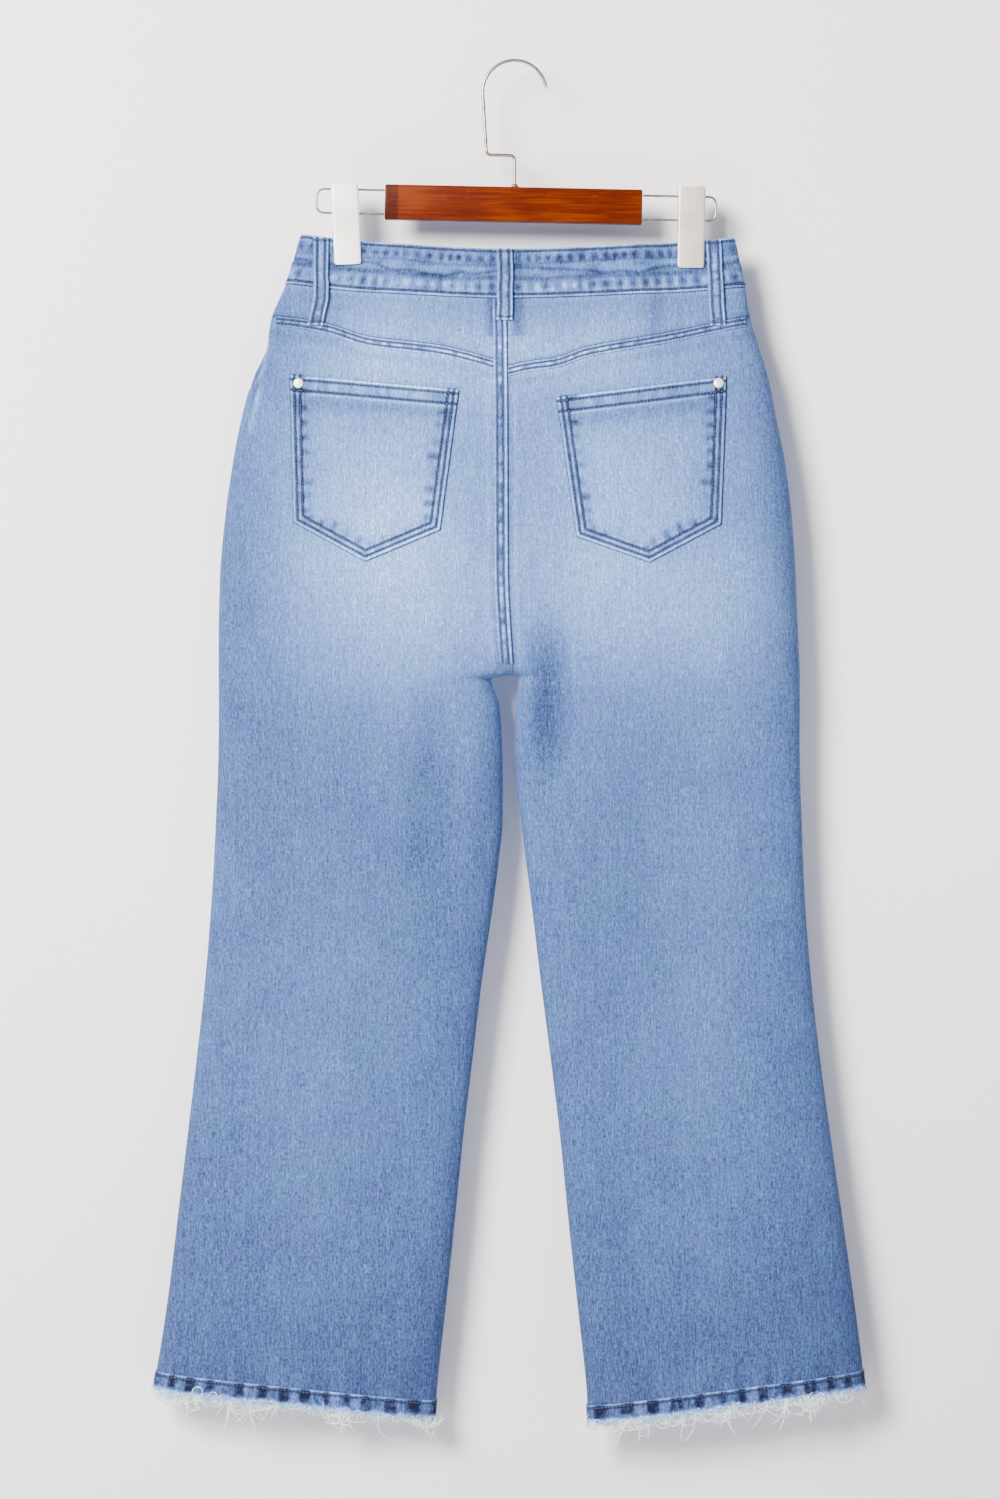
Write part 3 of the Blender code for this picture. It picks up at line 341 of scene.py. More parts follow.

# The wash, 0 deep indigo to 1 nearly white, by drop and in soft ovals; a few ovals are painted
# shade and light, as marked
WASH_DOWN = (
    (145, 0.50),
    (230, 0.53),
    (330, 0.53),
    (460, 0.51),
    (560, 0.49),
    (720, 0.46),
    (900, 0.43),
    (1050, 0.38),
    (1145, 0.35),
)
TONE_OVALS = {
    Face.BACK: (
        Fade(-108, 330, 90, 150, 0.13),
        Fade(-92, 455, 110, 92, 0.18),
        Fade(-60, 250, 110, 40, 0.11),
        Fade(96, 300, 110, 120, 0.10),
        Fade(138, 455, 104, 72, 0.15),
        Fade(60, 240, 90, 34, 0.07),
        Fade(64, 410, 60, 130, 0.08),
        Fade(-232, 420, 34, 150, -0.08),
        Fade(244, 400, 34, 160, -0.05),
        # Painted highlight on the right hip and thigh and painted shade on the left, against the
        # fall of light from the left
        Fade(190, 560, 80, 240, 0.03),
        Fade(-180, 560, 70, 200, -0.03),
        # Painted shade in two creases by the crotch: the deep trough on the right leg and the fold
        # on the left leg
        Fade(36, 530, 15, 60, -0.20),
        Fade(-62, 640, 24, 80, -0.06),
        Fade(-196, 240, 26, 60, -0.08),
        Fade(-150, 860, 70, 210, 0.05),
        Fade(150, 880, 60, 230, 0.05),
    ),
    Face.FRONT: (
        Fade(-118, 520, 66, 200, 0.26),
        Fade(128, 520, 66, 200, 0.26),
        Fade(-150, 800, 60, 120, 0.08),
        Fade(158, 800, 60, 120, 0.08),
        Fade(-232, 420, 34, 150, -0.06),
        Fade(244, 400, 34, 160, -0.06),
    ),
}


def mix(a: float | Array, b: float | Array, t: float | Array) -> float | Array:
    """The value a share t of the way from a to b."""
    return a + (b - a) * t


def smooth(t: Array) -> Array:
    """A soft step from 0 to 1."""
    t = np.clip(t, 0.0, 1.0)
    return t * t * (3 - 2 * t)


def hump(away: float | Array, reach: float) -> Array:
    """A soft bump, 1 in its middle and about 0 two reaches away."""
    return np.exp(-((away / reach) ** 2))


def through(points: Sequence[tuple[float, float]]) -> Curve:
    """A smooth function through a few points, without overshoot.

    Args:
        points: Pairs of a place and the value there, in order.

    Returns:
        A function of an array of places, straight on past the last one.
    """
    at, value = (np.array(column, float) for column in zip(*points))
    slope = np.diff(value) / np.diff(at)
    before, after = slope[:-1], slope[1:]
    same_way = before * after > 0
    total = np.where(same_way, before + after, 1.0)
    middle = np.where(same_way, 2 * before * after / total, 0.0)
    tangent = np.concatenate([slope[:1], middle, slope[-1:]])

    def curve(where: Array) -> Array:
        """The value at each place."""
        where = np.asarray(where, float)
        inside = np.clip(where, at[0], at[-1])
        i = np.clip(np.searchsorted(at, inside, side="right") - 1, 0, len(at) - 2)
        span = at[i + 1] - at[i]
        t = (inside - at[i]) / span
        start = (1 + 2 * t) * (1 - t) ** 2 * value[i] + t * (1 - t) ** 2 * span * tangent[i]
        stop = t * t * (3 - 2 * t) * value[i + 1] + t * t * (t - 1) * span * tangent[i + 1]
        return start + stop + np.maximum(where - at[-1], 0.0) * tangent[-1]

    return curve


def uneven(along: Array, pitch: float, seed: int) -> Array:
    """A smooth random wave from -1 to 1, with a bump about every two pitches.

    Args:
        along: Places along the wave, in millimetres.
        pitch: The distance from one random value to the next.
        seed: Chooses the wave.

    Returns:
        The wave's height at each place.
    """
    values = np.random.default_rng(seed).uniform(-1, 1, 1024)
    t = np.asarray(along, float) / pitch + 300
    i = np.floor(t).astype(int)
    return mix(values[i % 1024], values[(i + 1) % 1024], smooth(t - i))


def knots(along: Array, pitch: float, seed: int) -> Array:
    """A row of patches a roughly even pitch apart: 1 in the middle of each, 0 between."""
    turns = along / pitch + 0.3 * uneven(along, 2.5 * pitch, seed)
    strength = smooth(0.85 + 0.45 * uneven(along, 1.7 * pitch, seed + 100))
    return (0.5 + 0.5 * np.cos(2 * np.pi * turns)) * strength


def spaced(stops: Sequence[float], steps: Sequence[int]) -> Array:
    """Values from the first stop to the last, with so many steps between each two."""
    runs = [np.linspace(a, b, n + 1)[:-1] for a, b, n in zip(stops, stops[1:], steps)]
    return np.concatenate([*runs, stops[-1:]])


def blotches(along: Array, across: Array, pitch: tuple[float, float], seed: int) -> Array:
    """Smooth random patches from -1 to 1 over a surface.

    Args:
        along: Places one way, in millimetres.
        across: Places the other way, in millimetres.
        pitch: The patches' spacing along and across.
        seed: Chooses the patches.

    Returns:
        The value at each place.
    """
    values = np.random.default_rng(seed).uniform(-1, 1, (256, 256))
    a = np.asarray(along, float) / pitch[0] + 100
    b = np.asarray(across, float) / pitch[1] + 100
    i, j = np.floor(a).astype(int), np.floor(b).astype(int)
    s, t = smooth(a - i), smooth(b - j)
    near = mix(values[i % 256, j % 256], values[(i + 1) % 256, j % 256], s)
    far = mix(values[i % 256, (j + 1) % 256], values[(i + 1) % 256, (j + 1) % 256], s)
    return mix(near, far, t)


def fold_lift(folds: Sequence[Fold], x: Array, drop: Array) -> Array:
    """How far creases move the cloth outwards at each place."""
    moved = np.zeros(np.broadcast(x, drop).shape)
    for fold in folds:
        run_x, run_drop = fold.x1 - fold.x0, fold.drop1 - fold.drop0
        t = (x - fold.x0) * run_x + (drop - fold.drop0) * run_drop
        t = np.clip(t / (run_x**2 + run_drop**2), 0.0, 1.0)
        away = np.hypot(x - fold.x0 - t * run_x, drop - fold.drop0 - t * run_drop)
        moved = moved + fold.height * (1 - (2 * t - 1) ** 4) * hump(away, fold.half_width)
    return moved


class Form:
    """The garment's outer surface as functions of a place on it."""

    def __init__(self) -> None:
        """Draws the smooth curves through the tables."""
        self._side = {
            Side.LEFT: through([(row.drop, row.left_side) for row in OUTLINE]),
            Side.RIGHT: through([(row.drop, row.right_side) for row in OUTLINE]),
        }
        self._inner = {
            Side.LEFT: through([(row.drop, row.left_inner) for row in OUTLINE]),
            Side.RIGHT: through([(row.drop, row.right_inner) for row in OUTLINE]),
        }
        self._depth = through([(row.drop, row.depth) for row in OUTLINE])
        self._centre = {
            Face.BACK: through(CENTRE_BACK_LINE), Face.FRONT: through(CENTRE_FRONT_LINE)
        }
        self._swing = {Side.LEFT: through(LEFT_SWING), Side.RIGHT: through(RIGHT_SWING)}
        self._yoke = {side: through(points) for side, points in YOKE_SEAM.items()}
        self._wash = through(WASH_DOWN)

    def side_x(self, side: Side, drop: Array) -> Array:
        """Where the outline runs."""
        return self._side[side](drop)

    def centre_x(self, face: Face, drop: Array) -> Array:
        """Where the centre seam runs."""
        return self._centre[face](np.minimum(drop, CROTCH))

    def inner_x(self, side: Side, face: Face, drop: Array) -> Array:
        """A leg's inner edge: the centre seam above the crotch, the inseam below."""
        opened = np.sqrt(np.clip((np.asarray(drop, float) - CROTCH) / NOTCH, 0.0, 1.0))
        return mix(self.centre_x(face, drop), self._inner[side](drop), opened)

    def pinch(self, x: Array, drop: Array) -> Array:
        """1 where a clip holds both faces together, fading to 0 sideways and down."""
        fade = 1 - smooth((drop - PINCH_FROM) / PINCH_FADE)
        held = sum(
            1 / (1 + ((x + CENTRE_BACK - clip.x) / PINCH_REACH) ** 6) for clip in CLIPS.values()
        )
        return fade * np.minimum(1.0, held)

    def rise(self, s: Array, drop: Array) -> Array:
        """How far the section stands out, 0 to 1, from its side (s 0) to its inner edge."""
        h = np.clip((CROTCH - drop) / SEAT_TURN, 0.0, 1.0)
        seat = 1 - (1 - h) ** 2
        as_leg = 1 - np.abs(2 * s - 1) ** LEG_POWER
        as_seat = 1 - (1 - s) ** SEAT_POWER
        return np.sqrt(np.maximum(0.0, mix(as_leg, as_seat, seat)))

    def point(self, side: Side, face: Face, s: Array, drop: Array) -> Array:
        """A place on the cloth's outer surface.

        Args:
            side: The leg.
            face: The back or the front.
            s: The share of the way from the side to the inner edge.
            drop: How far down.

        Returns:
            Points in millimetres, with x, y and z along the last axis.
        """
        s, drop = np.broadcast_arrays(np.asarray(s, float), np.asarray(drop, float))
        x = mix(self.side_x(side, drop), self.inner_x(side, face, drop), s)
        rise = self.rise(s, drop)
        depth = mix(self._depth(drop), PINCHED, self.pinch(x, drop))
        depth = depth + fold_lift(FOLDS[face], x, drop)
        held = 1 - self.pinch(x, drop)
        depth = depth + fold_lift(SOFT_FOLDS[face], x, drop) * held
        y = self._swing[side](drop) + face * depth * rise
        return np.stack([x, y, -drop], axis=-1)

    def share(self, side: Side, face: Face, x: Array, drop: Array) -> Array:
        """The share of the way from the side to the inner edge at an x."""
        outer = self.side_x(side, drop)
        return np.clip((x - outer) / (self.inner_x(side, face, drop) - outer), 0.0, 1.0)

    def at(self, face: Face, x: Array, drop: Array) -> Array:
        """A place on the back or front by its x, whichever leg that is on."""
        x, drop = np.broadcast_arrays(np.asarray(x, float), np.asarray(drop, float))
        left = self.point(Side.LEFT, face, self.share(Side.LEFT, face, x, drop), drop)
        right = self.point(Side.RIGHT, face, self.share(Side.RIGHT, face, x, drop), drop)
        found = np.where((x < self.centre_x(face, drop))[..., None], left, right)
        found[..., 0] = x
        return found

    def waist_edge(self, side: Side, face: Face, s: Array, down: float = 0.0) -> Array:
        """The drop of the waistband's top edge, or of a line that far below it."""
        edge = WAIST_TOP[side, face]
        away = np.maximum(0.0, 1 - np.asarray(s, float))
        return mix(edge.centre, edge.side, away**WAIST_CURVE) + down

    def waist_line(self, face: Face, x: Array, down: float = 0.0) -> Array:
        """The same line by its x."""
        x = np.asarray(x, float)
        left = self.waist_edge(Side.LEFT, face, 1 - x / self.side_x(Side.LEFT, WAIST_MIDDLE), down)
        right = self.waist_edge(
            Side.RIGHT, face, 1 - x / self.side_x(Side.RIGHT, WAIST_MIDDLE), down
        )
        return np.where(x < 0, left, right)

    def yoke_edge(self, side: Side, s: Array) -> Array:
        """The drop of the yoke seam at a share of the way from the side."""
        drop = np.full(np.shape(s), 215.0)
        for _ in range(5):
            x = mix(self.side_x(side, drop), self.centre_x(Face.BACK, drop), s)
            drop = self._yoke[side](x)
        return drop

    def hem_edge(self, side: Side, s: Array) -> Array:
        """The drop of the cloth's cut edge at a leg's end."""
        return mix(HEM[side].side, HEM[side].centre, s)

    def wash(self, face: Face, x: Array, drop: Array) -> Array:
        """How pale washing has left the cloth, 0 to 1, with a few ovals of painted shade and light.
        """
        shade = self._wash(drop)
        for fade in TONE_OVALS[face]:
            away = np.hypot((x - fade.x) / fade.reach_x, (drop - fade.drop) / fade.reach_drop)
            shade = shade + fade.change * np.exp(-(away**2.6))
        return shade


def square_to(points: Array, outward: Array | None = None) -> Array:
    """Unit directions square to a grid of points.

    Args:
        points: A grid of points.
        outward: Roughly which way is out, for the grid as a whole. Without it the
            direction follows the order of the rows and columns.

    Returns:
        One direction for each point.
    """
    down = np.gradient(points, axis=0)
    across = np.gradient(points, axis=1)
    normal = np.cross(across, down)
    normal /= np.maximum(np.linalg.norm(normal, axis=-1, keepdims=True), 1e-9)
    if outward is not None and (normal * outward).sum() < 0:
        normal = -normal
    return normal


def put_in_scene(name: str, mesh: bpy.types.Mesh, material: bpy.types.Material) -> bpy.types.Object:
    """Makes an object of a mesh and gives it its material."""
    mesh.materials.clear()
    mesh.materials.append(material)
    made = bpy.data.objects.new(name, mesh)
    bpy.context.scene.collection.objects.link(made)
    return made


def join_model(made: bpy.types.Object, node: str) -> None:
    """Joins a finished piece to the model in place of its CAD node."""
    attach(made, BODY)
    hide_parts(node)
    log.info("%s: %d faces", made.name, len(made.data.polygons))


def mesh_from(name: str, points: Array, faces: Sequence[Sequence[int]]) -> bpy.types.Mesh:
    """A smooth-shaded mesh of points in millimetres, its sharp edges kept."""
    mesh = bpy.data.meshes.new(name)
    mesh.from_pydata((points * MM).tolist(), [], [list(face) for face in faces])
    mesh.shade_smooth()
    mesh.set_sharp_from_angle(angle=SHARP_EDGE)
    return mesh


def loft_faces(rows: int, columns: int, ring: bool, is_turned: bool) -> Array:
    """The faces of a closed shell made of two equal grids of points, outer then inner.

    Args:
        rows: The grid's rows.
        columns: Its columns.
        ring: Whether the last column joins the first.
        is_turned: Whether the grid's own order makes the faces point inwards.

    Returns:
        Four corners a face: both skins, then the walls along the free edges.
    """
    count, spans = rows * columns, columns if ring else columns - 1
    i, j = np.meshgrid(np.arange(rows - 1), np.arange(spans), indexing="ij")
    k = (j + 1) % columns
    a, b = i * columns + j, i * columns + k
    c, d = b + columns, a + columns
    parts = [np.stack([a, b, c, d], -1), np.stack([a, d, c, b], -1) + count]
    for row, forward in ((0, True), (rows - 1, False)):
        start, stop = row * columns + np.arange(spans), row * columns + k[0]
        if not forward:
            start, stop = stop, start
        parts.append(np.stack([stop, start, start + count, stop + count], -1))
    for column, forward in () if ring else ((0, False), (columns - 1, True)):
        start = np.arange(rows - 1) * columns + column
        stop = start + columns
        if not forward:
            start, stop = stop, start
        parts.append(np.stack([stop, start, start + count, stop + count], -1))
    faces = np.concatenate([part.reshape(-1, 4) for part in parts])
    return faces[:, ::-1] if is_turned else faces


def shell(
    name: str, outer: Array, inner: Array, ring: bool = False
) -> tuple[bpy.types.Mesh, Array]:
    """A closed shell between two equal grids of points.

    Args:
        name: The mesh's name.
        outer: The outer skin's points in millimetres, in rows and columns.
        inner: The inner skin's.
        ring: Whether the last column joins the first.

    Returns:
        The mesh, and its faces as corners counted through the outer grid, then the inner.
    """
    normal = np.cross(np.gradient(outer, axis=1), np.gradient(outer, axis=0))
    is_turned = bool((normal * (outer - inner)).sum() < 0)
    faces = loft_faces(*outer.shape[:2], ring, is_turned)
    points = np.concatenate([outer.reshape(-1, 3), inner.reshape(-1, 3)])
    return mesh_from(name, points, faces.tolist()), faces


@dataclass
class Sheet:
    """A closed sheet of cloth lofted from a grid of places on the garment.

    Attributes:
        name: The piece's name.
        outer: The outer skin's points in millimetres, in rows and columns.
        inner: The inner skin's.
        flat: Each point's place on the flat cut, across and down in millimetres.
        wash: How pale each point is, painted light and shade included.
        ring: Whether the last column joins the first.
    """

    name: str
    outer: Array
    inner: Array
    flat: Array
    wash: Array
    ring: bool = False

    def build(self, material: bpy.types.Material) -> bpy.types.Object:
        """Makes the sheet's mesh, with its flat map and its paleness, painted light and shade
        included.
        """
        place = np.array([CENTRE_BACK, 0.0, 0.0])
        mesh, faces = shell(self.name, self.outer + place, self.inner + place, self.ring)
        self._map(mesh, faces)
        return put_in_scene(self.name, mesh, material)

    def _map(self, mesh: bpy.types.Mesh, faces: Array) -> None:
        """Lays the flat cut into a UV map, and the paleness with its painted light and shade into
        an attribute.
        """
        (rows, columns), flat_columns = self.outer.shape[:2], self.flat.shape[1]
        row, column = np.divmod(faces % (rows * columns), columns)
        if self.ring:
            wraps = (column.max(axis=1) == columns - 1) & (column.min(axis=1) == 0)
            column = np.where(wraps[:, None] & (column == 0), flat_columns - 1, column)
        uv = self.flat[row, column].reshape(-1, 2)
        mesh.uv_layers.new(name="flat cut").data.foreach_set("uv", uv.astype(np.float32).ravel())
        wash = np.concatenate([self.wash.ravel(), np.full(self.wash.size, INSIDE_WASH)])
        layer = mesh.attributes.new("wash", "FLOAT", "POINT")
        layer.data.foreach_set("value", wash.astype(np.float32))

    def cut(self) -> tuple[tuple[float, float], float]:
        """The flat cut in metres.

        Returns:
            The sides of the smallest rectangle that holds it, and its area in square metres.
        """
        turn = np.radians(np.arange(90))
        across, down = self.flat.reshape(-1, 2).T[:, :, None] * MM
        wide = np.ptp(across * np.cos(turn) + down * np.sin(turn), axis=0)
        long = np.ptp(down * np.cos(turn) - across * np.sin(turn), axis=0)
        best = int(np.argmin(wide * long))
        width, length = wide[best], long[best]
        corner = self.outer[:-1, :-1]
        one = np.cross(self.outer[:-1, 1:] - corner, self.outer[1:, 1:] - corner)
        two = np.cross(self.outer[1:, 1:] - corner, self.outer[1:, :-1] - corner)
        area = (np.linalg.norm(one, axis=-1) + np.linalg.norm(two, axis=-1)).sum() / 2
        return (float(width), float(length)), float(min(area * MM * MM, width * length))


def linear(colour: str) -> tuple[float, float, float, float]:
    """Turns an sRGB hex colour to linear light.

    Args:
        colour: Six hex digits after a hash.

    Returns:
        Red, green, blue and an alpha of 1.
    """
    shares = (int(colour[i : i + 2], 16) / 255 for i in (1, 3, 5))
    light = (s / 12.92 if s <= 0.04045 else ((s + 0.055) / 1.055) ** 2.4 for s in shares)
    return (*light, 1.0)


def set_inputs(tree: bpy.types.NodeTree, node: bpy.types.Node, inputs: dict) -> None:
    """Gives each input, by name or index, its value or a link from an output socket."""
    for key, value in inputs.items():
        if isinstance(value, bpy.types.NodeSocket):
            tree.links.new(value, node.inputs[key])
        else:
            node.inputs[key].default_value = value


def add_node(
    tree: bpy.types.NodeTree, kind: str, inputs: dict | None = None, **settings: object
) -> bpy.types.Node:
    """Adds a node with its settings, values and links.

    Args:
        tree: The node tree.
        kind: The node's type.
        inputs: A value, or an output socket to link, for each input by name or index.
        settings: The node's own properties.

    Returns:
        The new node.
    """
    made = tree.nodes.new(kind)
    for key, value in settings.items():
        setattr(made, key, value)
    set_inputs(tree, made, inputs or {})
    return made


def give_colours(ramp: bpy.types.Node, shades: Sequence[tuple[float, str]]) -> None:
    """Gives a colour ramp its places and hex colours, in order."""
    stops = ramp.color_ramp.elements
    for stop, (position, colour) in zip(stops, (shades[0], shades[-1])):
        stop.position, stop.color = position, linear(colour)
    for position, colour in shades[1:-1]:
        stops.new(position).color = linear(colour)


def own_noise(tree: bpy.types.NodeTree, size: float) -> bpy.types.NodeSocket:
    """Noise on a piece's own coordinates, its patches a size in millimetres."""
    where = add_node(tree, "ShaderNodeTexCoord").outputs["Object"]
    values = {"Vector": where, "Scale": 1 / (size * MM)}
    return add_node(tree, "ShaderNodeTexNoise", values).outputs[0]


def new_material(name: str) -> tuple[bpy.types.Material, bpy.types.NodeTree, bpy.types.Node]:
    """An empty material.

    Args:
        name: The material's name.

    Returns:
        The material, its tree and its shader.
    """
    material = bpy.data.materials.new(name)
    material.use_nodes = True
    tree = material.node_tree
    return material, tree, tree.nodes["Principled BSDF"]


class Pattern(NamedTuple):
    """One scale of the cloth's unevenness, its size in millimetres."""

    across: float
    along: float
    detail: float
    shade: float
    height: float


@dataclass(frozen=True)
class Denim:
    """Stone-washed cotton twill: indigo warp threads over a white weft.

    The dye sits only on the outside of each warp thread, so wear turns the ridges
    nearly white and leaves indigo in the hollows. The eye sees upright streaks and
    specks. Real threads are 0.5 mm apart; the finest streaks here are 1.3 mm wide, the
    least that still shows from where the whole garment is seen.
    """

    name: str
    shades: tuple[tuple[float, str], ...] = (
        (0.00, "#0d1228"),
        (0.20, "#202845"),
        (0.36, "#31416b"),
        (0.50, "#415a8b"),
        (0.64, "#5770a6"),
        (0.80, "#7796cc"),
        (1.00, "#cbf3ff"),
    )
    patterns: tuple[Pattern, ...] = (
        Pattern(1.3, 7.0, 2.0, 0.34, 0.6),
        Pattern(3.2, 40.0, 1.0, 0.12, 0.0),
        Pattern(1.7, 2.4, 2.0, 0.38, 0.6),
        Pattern(26.0, 34.0, 1.0, 0.05, 0.0),
        Pattern(80.0, 110.0, 1.0, 0.05, 0.0),
    )
    nick: tuple[float, float, float] = (1.7, 11.0, 0.05)
    calm: float = 0.8
    tint_patch: float = 48.0
    bump_mm: float = 0.5
    roughness: float = 0.88
    sheen: float = 0.03

    def material(self) -> bpy.types.Material:
        """Makes the material on the cloth's flat cut and its paleness, painted light and shade
        included.
        """
        material, tree, shader = new_material(self.name)
        flat = add_node(tree, "ShaderNodeUVMap", uv_map="flat cut").outputs["UV"]
        wash = add_node(tree, "ShaderNodeAttribute", attribute_name="wash").outputs["Fac"]
        shade: float | bpy.types.NodeSocket = -sum(p.shade for p in self.patterns) / 2
        height: float | bpy.types.NodeSocket = 0.0

        def noise_over(
            wide: float, long: float, detail: float, distortion: float = 0.0
        ) -> bpy.types.NodeSocket:
            """Noise over the flat cut, drawn out to sizes across and along in millimetres."""
            scale = (1 / wide, 1 / long, 1.0)
            place = add_node(tree, "ShaderNodeMapping", {"Vector": flat, "Scale": scale})
            values = {"Vector": place.outputs[0], "Scale": 1.0, "Detail": detail}
            values["Distortion"] = distortion
            return add_node(tree, "ShaderNodeTexNoise", values, noise_dimensions="2D").outputs[0]

        def sum_with(value: object, factor: object, rest: object) -> bpy.types.NodeSocket:
            """A value times a factor, and the rest added."""
            values = {0: value, 1: factor, 2: rest}
            return add_node(tree, "ShaderNodeMath", values, operation="MULTIPLY_ADD").outputs[0]

        for pattern in self.patterns:
            noise = noise_over(pattern.across, pattern.along, pattern.detail)
            shade = sum_with(noise, pattern.shade, shade)
            if pattern.height:
                height = sum_with(noise, pattern.height, height)
        calm = add_node(
            tree, "ShaderNodeMapRange", {0: wash, 1: 0.42, 2: 0.72, 3: 1.0, 4: self.calm}
        ).outputs[0]
        shade = sum_with(shade, calm, wash)
        across, along, paler = self.nick
        noise = noise_over(across, along, 0.0, 0.6)
        nick = add_node(tree, "ShaderNodeMapRange", {0: noise, 1: 0.72, 2: 0.84, 3: 0.0, 4: paler})
        shade = add_node(tree, "ShaderNodeMath", {0: shade, 1: nick.outputs[0]}).outputs[0]
        ramp = add_node(tree, "ShaderNodeValToRGB", {0: shade})
        give_colours(ramp, self.shades)
        noise = noise_over(self.tint_patch, self.tint_patch, 2.0)
        hue = add_node(tree, "ShaderNodeMapRange", {0: noise, 1: 0.3, 2: 0.7, 3: 0.494, 4: 0.505})
        tinted = add_node(
            tree, "ShaderNodeHueSaturation", {"Hue": hue.outputs[0], "Color": ramp.outputs[0]}
        )
        bump = add_node(
            tree,
            "ShaderNodeBump",
            {"Strength": 0.6, "Distance": self.bump_mm * MM, "Height": height},
        )
        finish = {
            "Base Color": tinted.outputs[0],
            "Normal": bump.outputs[0],
            "Roughness": self.roughness,
            "Sheen Weight": self.sheen,
            "Specular IOR Level": 0.12,
        }
        set_inputs(tree, shader, finish)
        return material


def folded(degrees: Array) -> Array:
    """Shares of the way across a leg at angles round its folded side."""
    rise = np.sin(np.radians(degrees))
    return (1 - (1 - rise**2) ** (1 / LEG_POWER)) / 2


def fold_steps(turns: int, most: float) -> Array:
    """Shares in from a folded side, close together where it turns over, up to a largest."""
    shares = folded(90 * np.arange(turns) / turns)
    return shares[shares < most]


def fold_shares(turns: int, spans: int, most: float = 1.0) -> Array:
    """Shares from a leg's side to its inner edge, close together where it folds over.

    Args:
        turns: Steps in each folded part.
        spans: Steps in the flat part between.
        most: The largest share that counts as folded.

    Returns:
        The shares from 0 to 1.
    """
    half = fold_steps(turns, most)
    flat = np.linspace(half[-1], 1 - half[-1], spans + 1)[1:-1]
    return np.concatenate([half, flat, 1 - half[::-1]])


def leg_rows(top: float, bottom: float, seat: int, leg: int) -> Array:
    """Drops down a leg panel's inner edge, close together round the crotch.

    Args:
        top: The first drop.
        bottom: The last drop.
        seat: Steps above the crotch's turn.
        leg: Steps below it.

    Returns:
        The drops in order, one of them at the crotch itself.
    """
    turn_top, thigh = CROTCH - 1.6 * SEAT_TURN, CROTCH + 5 * NOTCH
    turn = CROTCH - SEAT_TURN * (1 - np.cos(np.radians(np.arange(90, 0, -10))))
    notch = CROTCH + NOTCH * np.linspace(0, 1, 5) ** 2
    return np.concatenate(
        [
            np.linspace(top, turn_top, seat),
            turn,
            notch,
            CROTCH + NOTCH * np.array([1.5, 2.2, 3.0, 4.0]),
            np.linspace(thigh, bottom, leg),
        ]
    )


def inner_ends(top: Curve, bottom: Curve) -> tuple[float, float]:
    """The first and last drop at a panel's inner edge, just inside its two cross seams."""
    first, last = (float(edge(np.ones(1))[0]) for edge in (top, bottom))
    return first + SEAM_GAP / 2, last - SEAM_GAP / 2


def arc_along(points: Array) -> Array:
    """Distances along each row of a grid of points from its first column."""
    steps = np.linalg.norm(np.diff(points, axis=1), axis=-1)
    return np.concatenate([np.zeros((len(points), 1)), np.cumsum(steps, axis=1)], axis=1)


@dataclass
class Panel:
    """A cut panel between two cross seams.

    Attributes:
        name: The CAD node that it stands for.
        side: Which leg.
        face: Back or front.
        top: The drop of its top edge at a share.
        bottom: The drop of its bottom edge.
        inner_drops: The drops of its rows at the inner edge.
        shares: The shares of its columns.
        relief: Lift and change of shade at a place, from x, drop and share.
        thickness: The cloth's thickness.
    """

    name: str
    side: Side
    face: Face
    top: Curve
    bottom: Curve
    inner_drops: Array
    shares: Array
    relief: Callable[[Array, Array, Array], tuple[Array, Array]]
    thickness: float = 1.5

    def sheet(self, form: Form) -> Sheet:
        """Lays the panel on the garment."""
        top, bottom = self.top(self.shares) + SEAM_GAP / 2, self.bottom(self.shares) - SEAM_GAP / 2
        share_down = (self.inner_drops - top[-1]) / (bottom[-1] - top[-1])
        drop = mix(top[None, :], bottom[None, :], np.clip(share_down, 0, 1)[:, None])
        s = np.broadcast_to(self.shares[None, :], drop.shape)
        points = form.point(self.side, self.face, s, drop)
        normal = square_to(points, np.array([0.0, float(self.face), 0.0]))
        x = points[..., 0].copy()
        lift, tone = self.relief(x, drop, s)
        arc = arc_along(points)
        middle = len(self.shares) // 2
        across = (arc - arc[:, middle : middle + 1]) * -self.side + x[:, middle : middle + 1]
        wash = form.wash(self.face, x, drop) + tone
        points = points + normal * lift[..., None]
        self._part_seams(points, normal, drop)
        return Sheet(
            self.name + "_denim",
            points,
            points - normal * self.thickness,
            np.stack([across, drop], axis=-1),
            wash,
        )

    def _part_seams(self, points: Array, normal: Array, drop: Array) -> None:
        """Holds each seam in the plane where the panel meets its neighbour.

        Args:
            points: The outer skin's points, which are moved.
            normal: The ways out of the cloth, which are turned into that plane.
            drop: The points' drops.
        """
        half = SEAM_GAP / 2
        seat = drop[:, -1] < CROTCH - 0.01
        crotch = np.abs(drop[:, -1] - CROTCH) <= 0.01
        leg = ~seat & ~crotch
        points[:, 0, 1] += self.face * half
        normal[:, 0, 1] = 0.0
        points[~leg, -1, 0] += self.side * half
        points[~seat, -1, 1] += self.face * half
        normal[seat, -1, 0] = 0.0
        normal[crotch, -1] = (0.0, 0.0, -1.0)
        normal[leg, -1, 1] = 0.0
        for column in (0, -1):
            length = np.linalg.norm(normal[:, column], axis=-1, keepdims=True)
            normal[:, column] /= np.maximum(length, 1e-9)


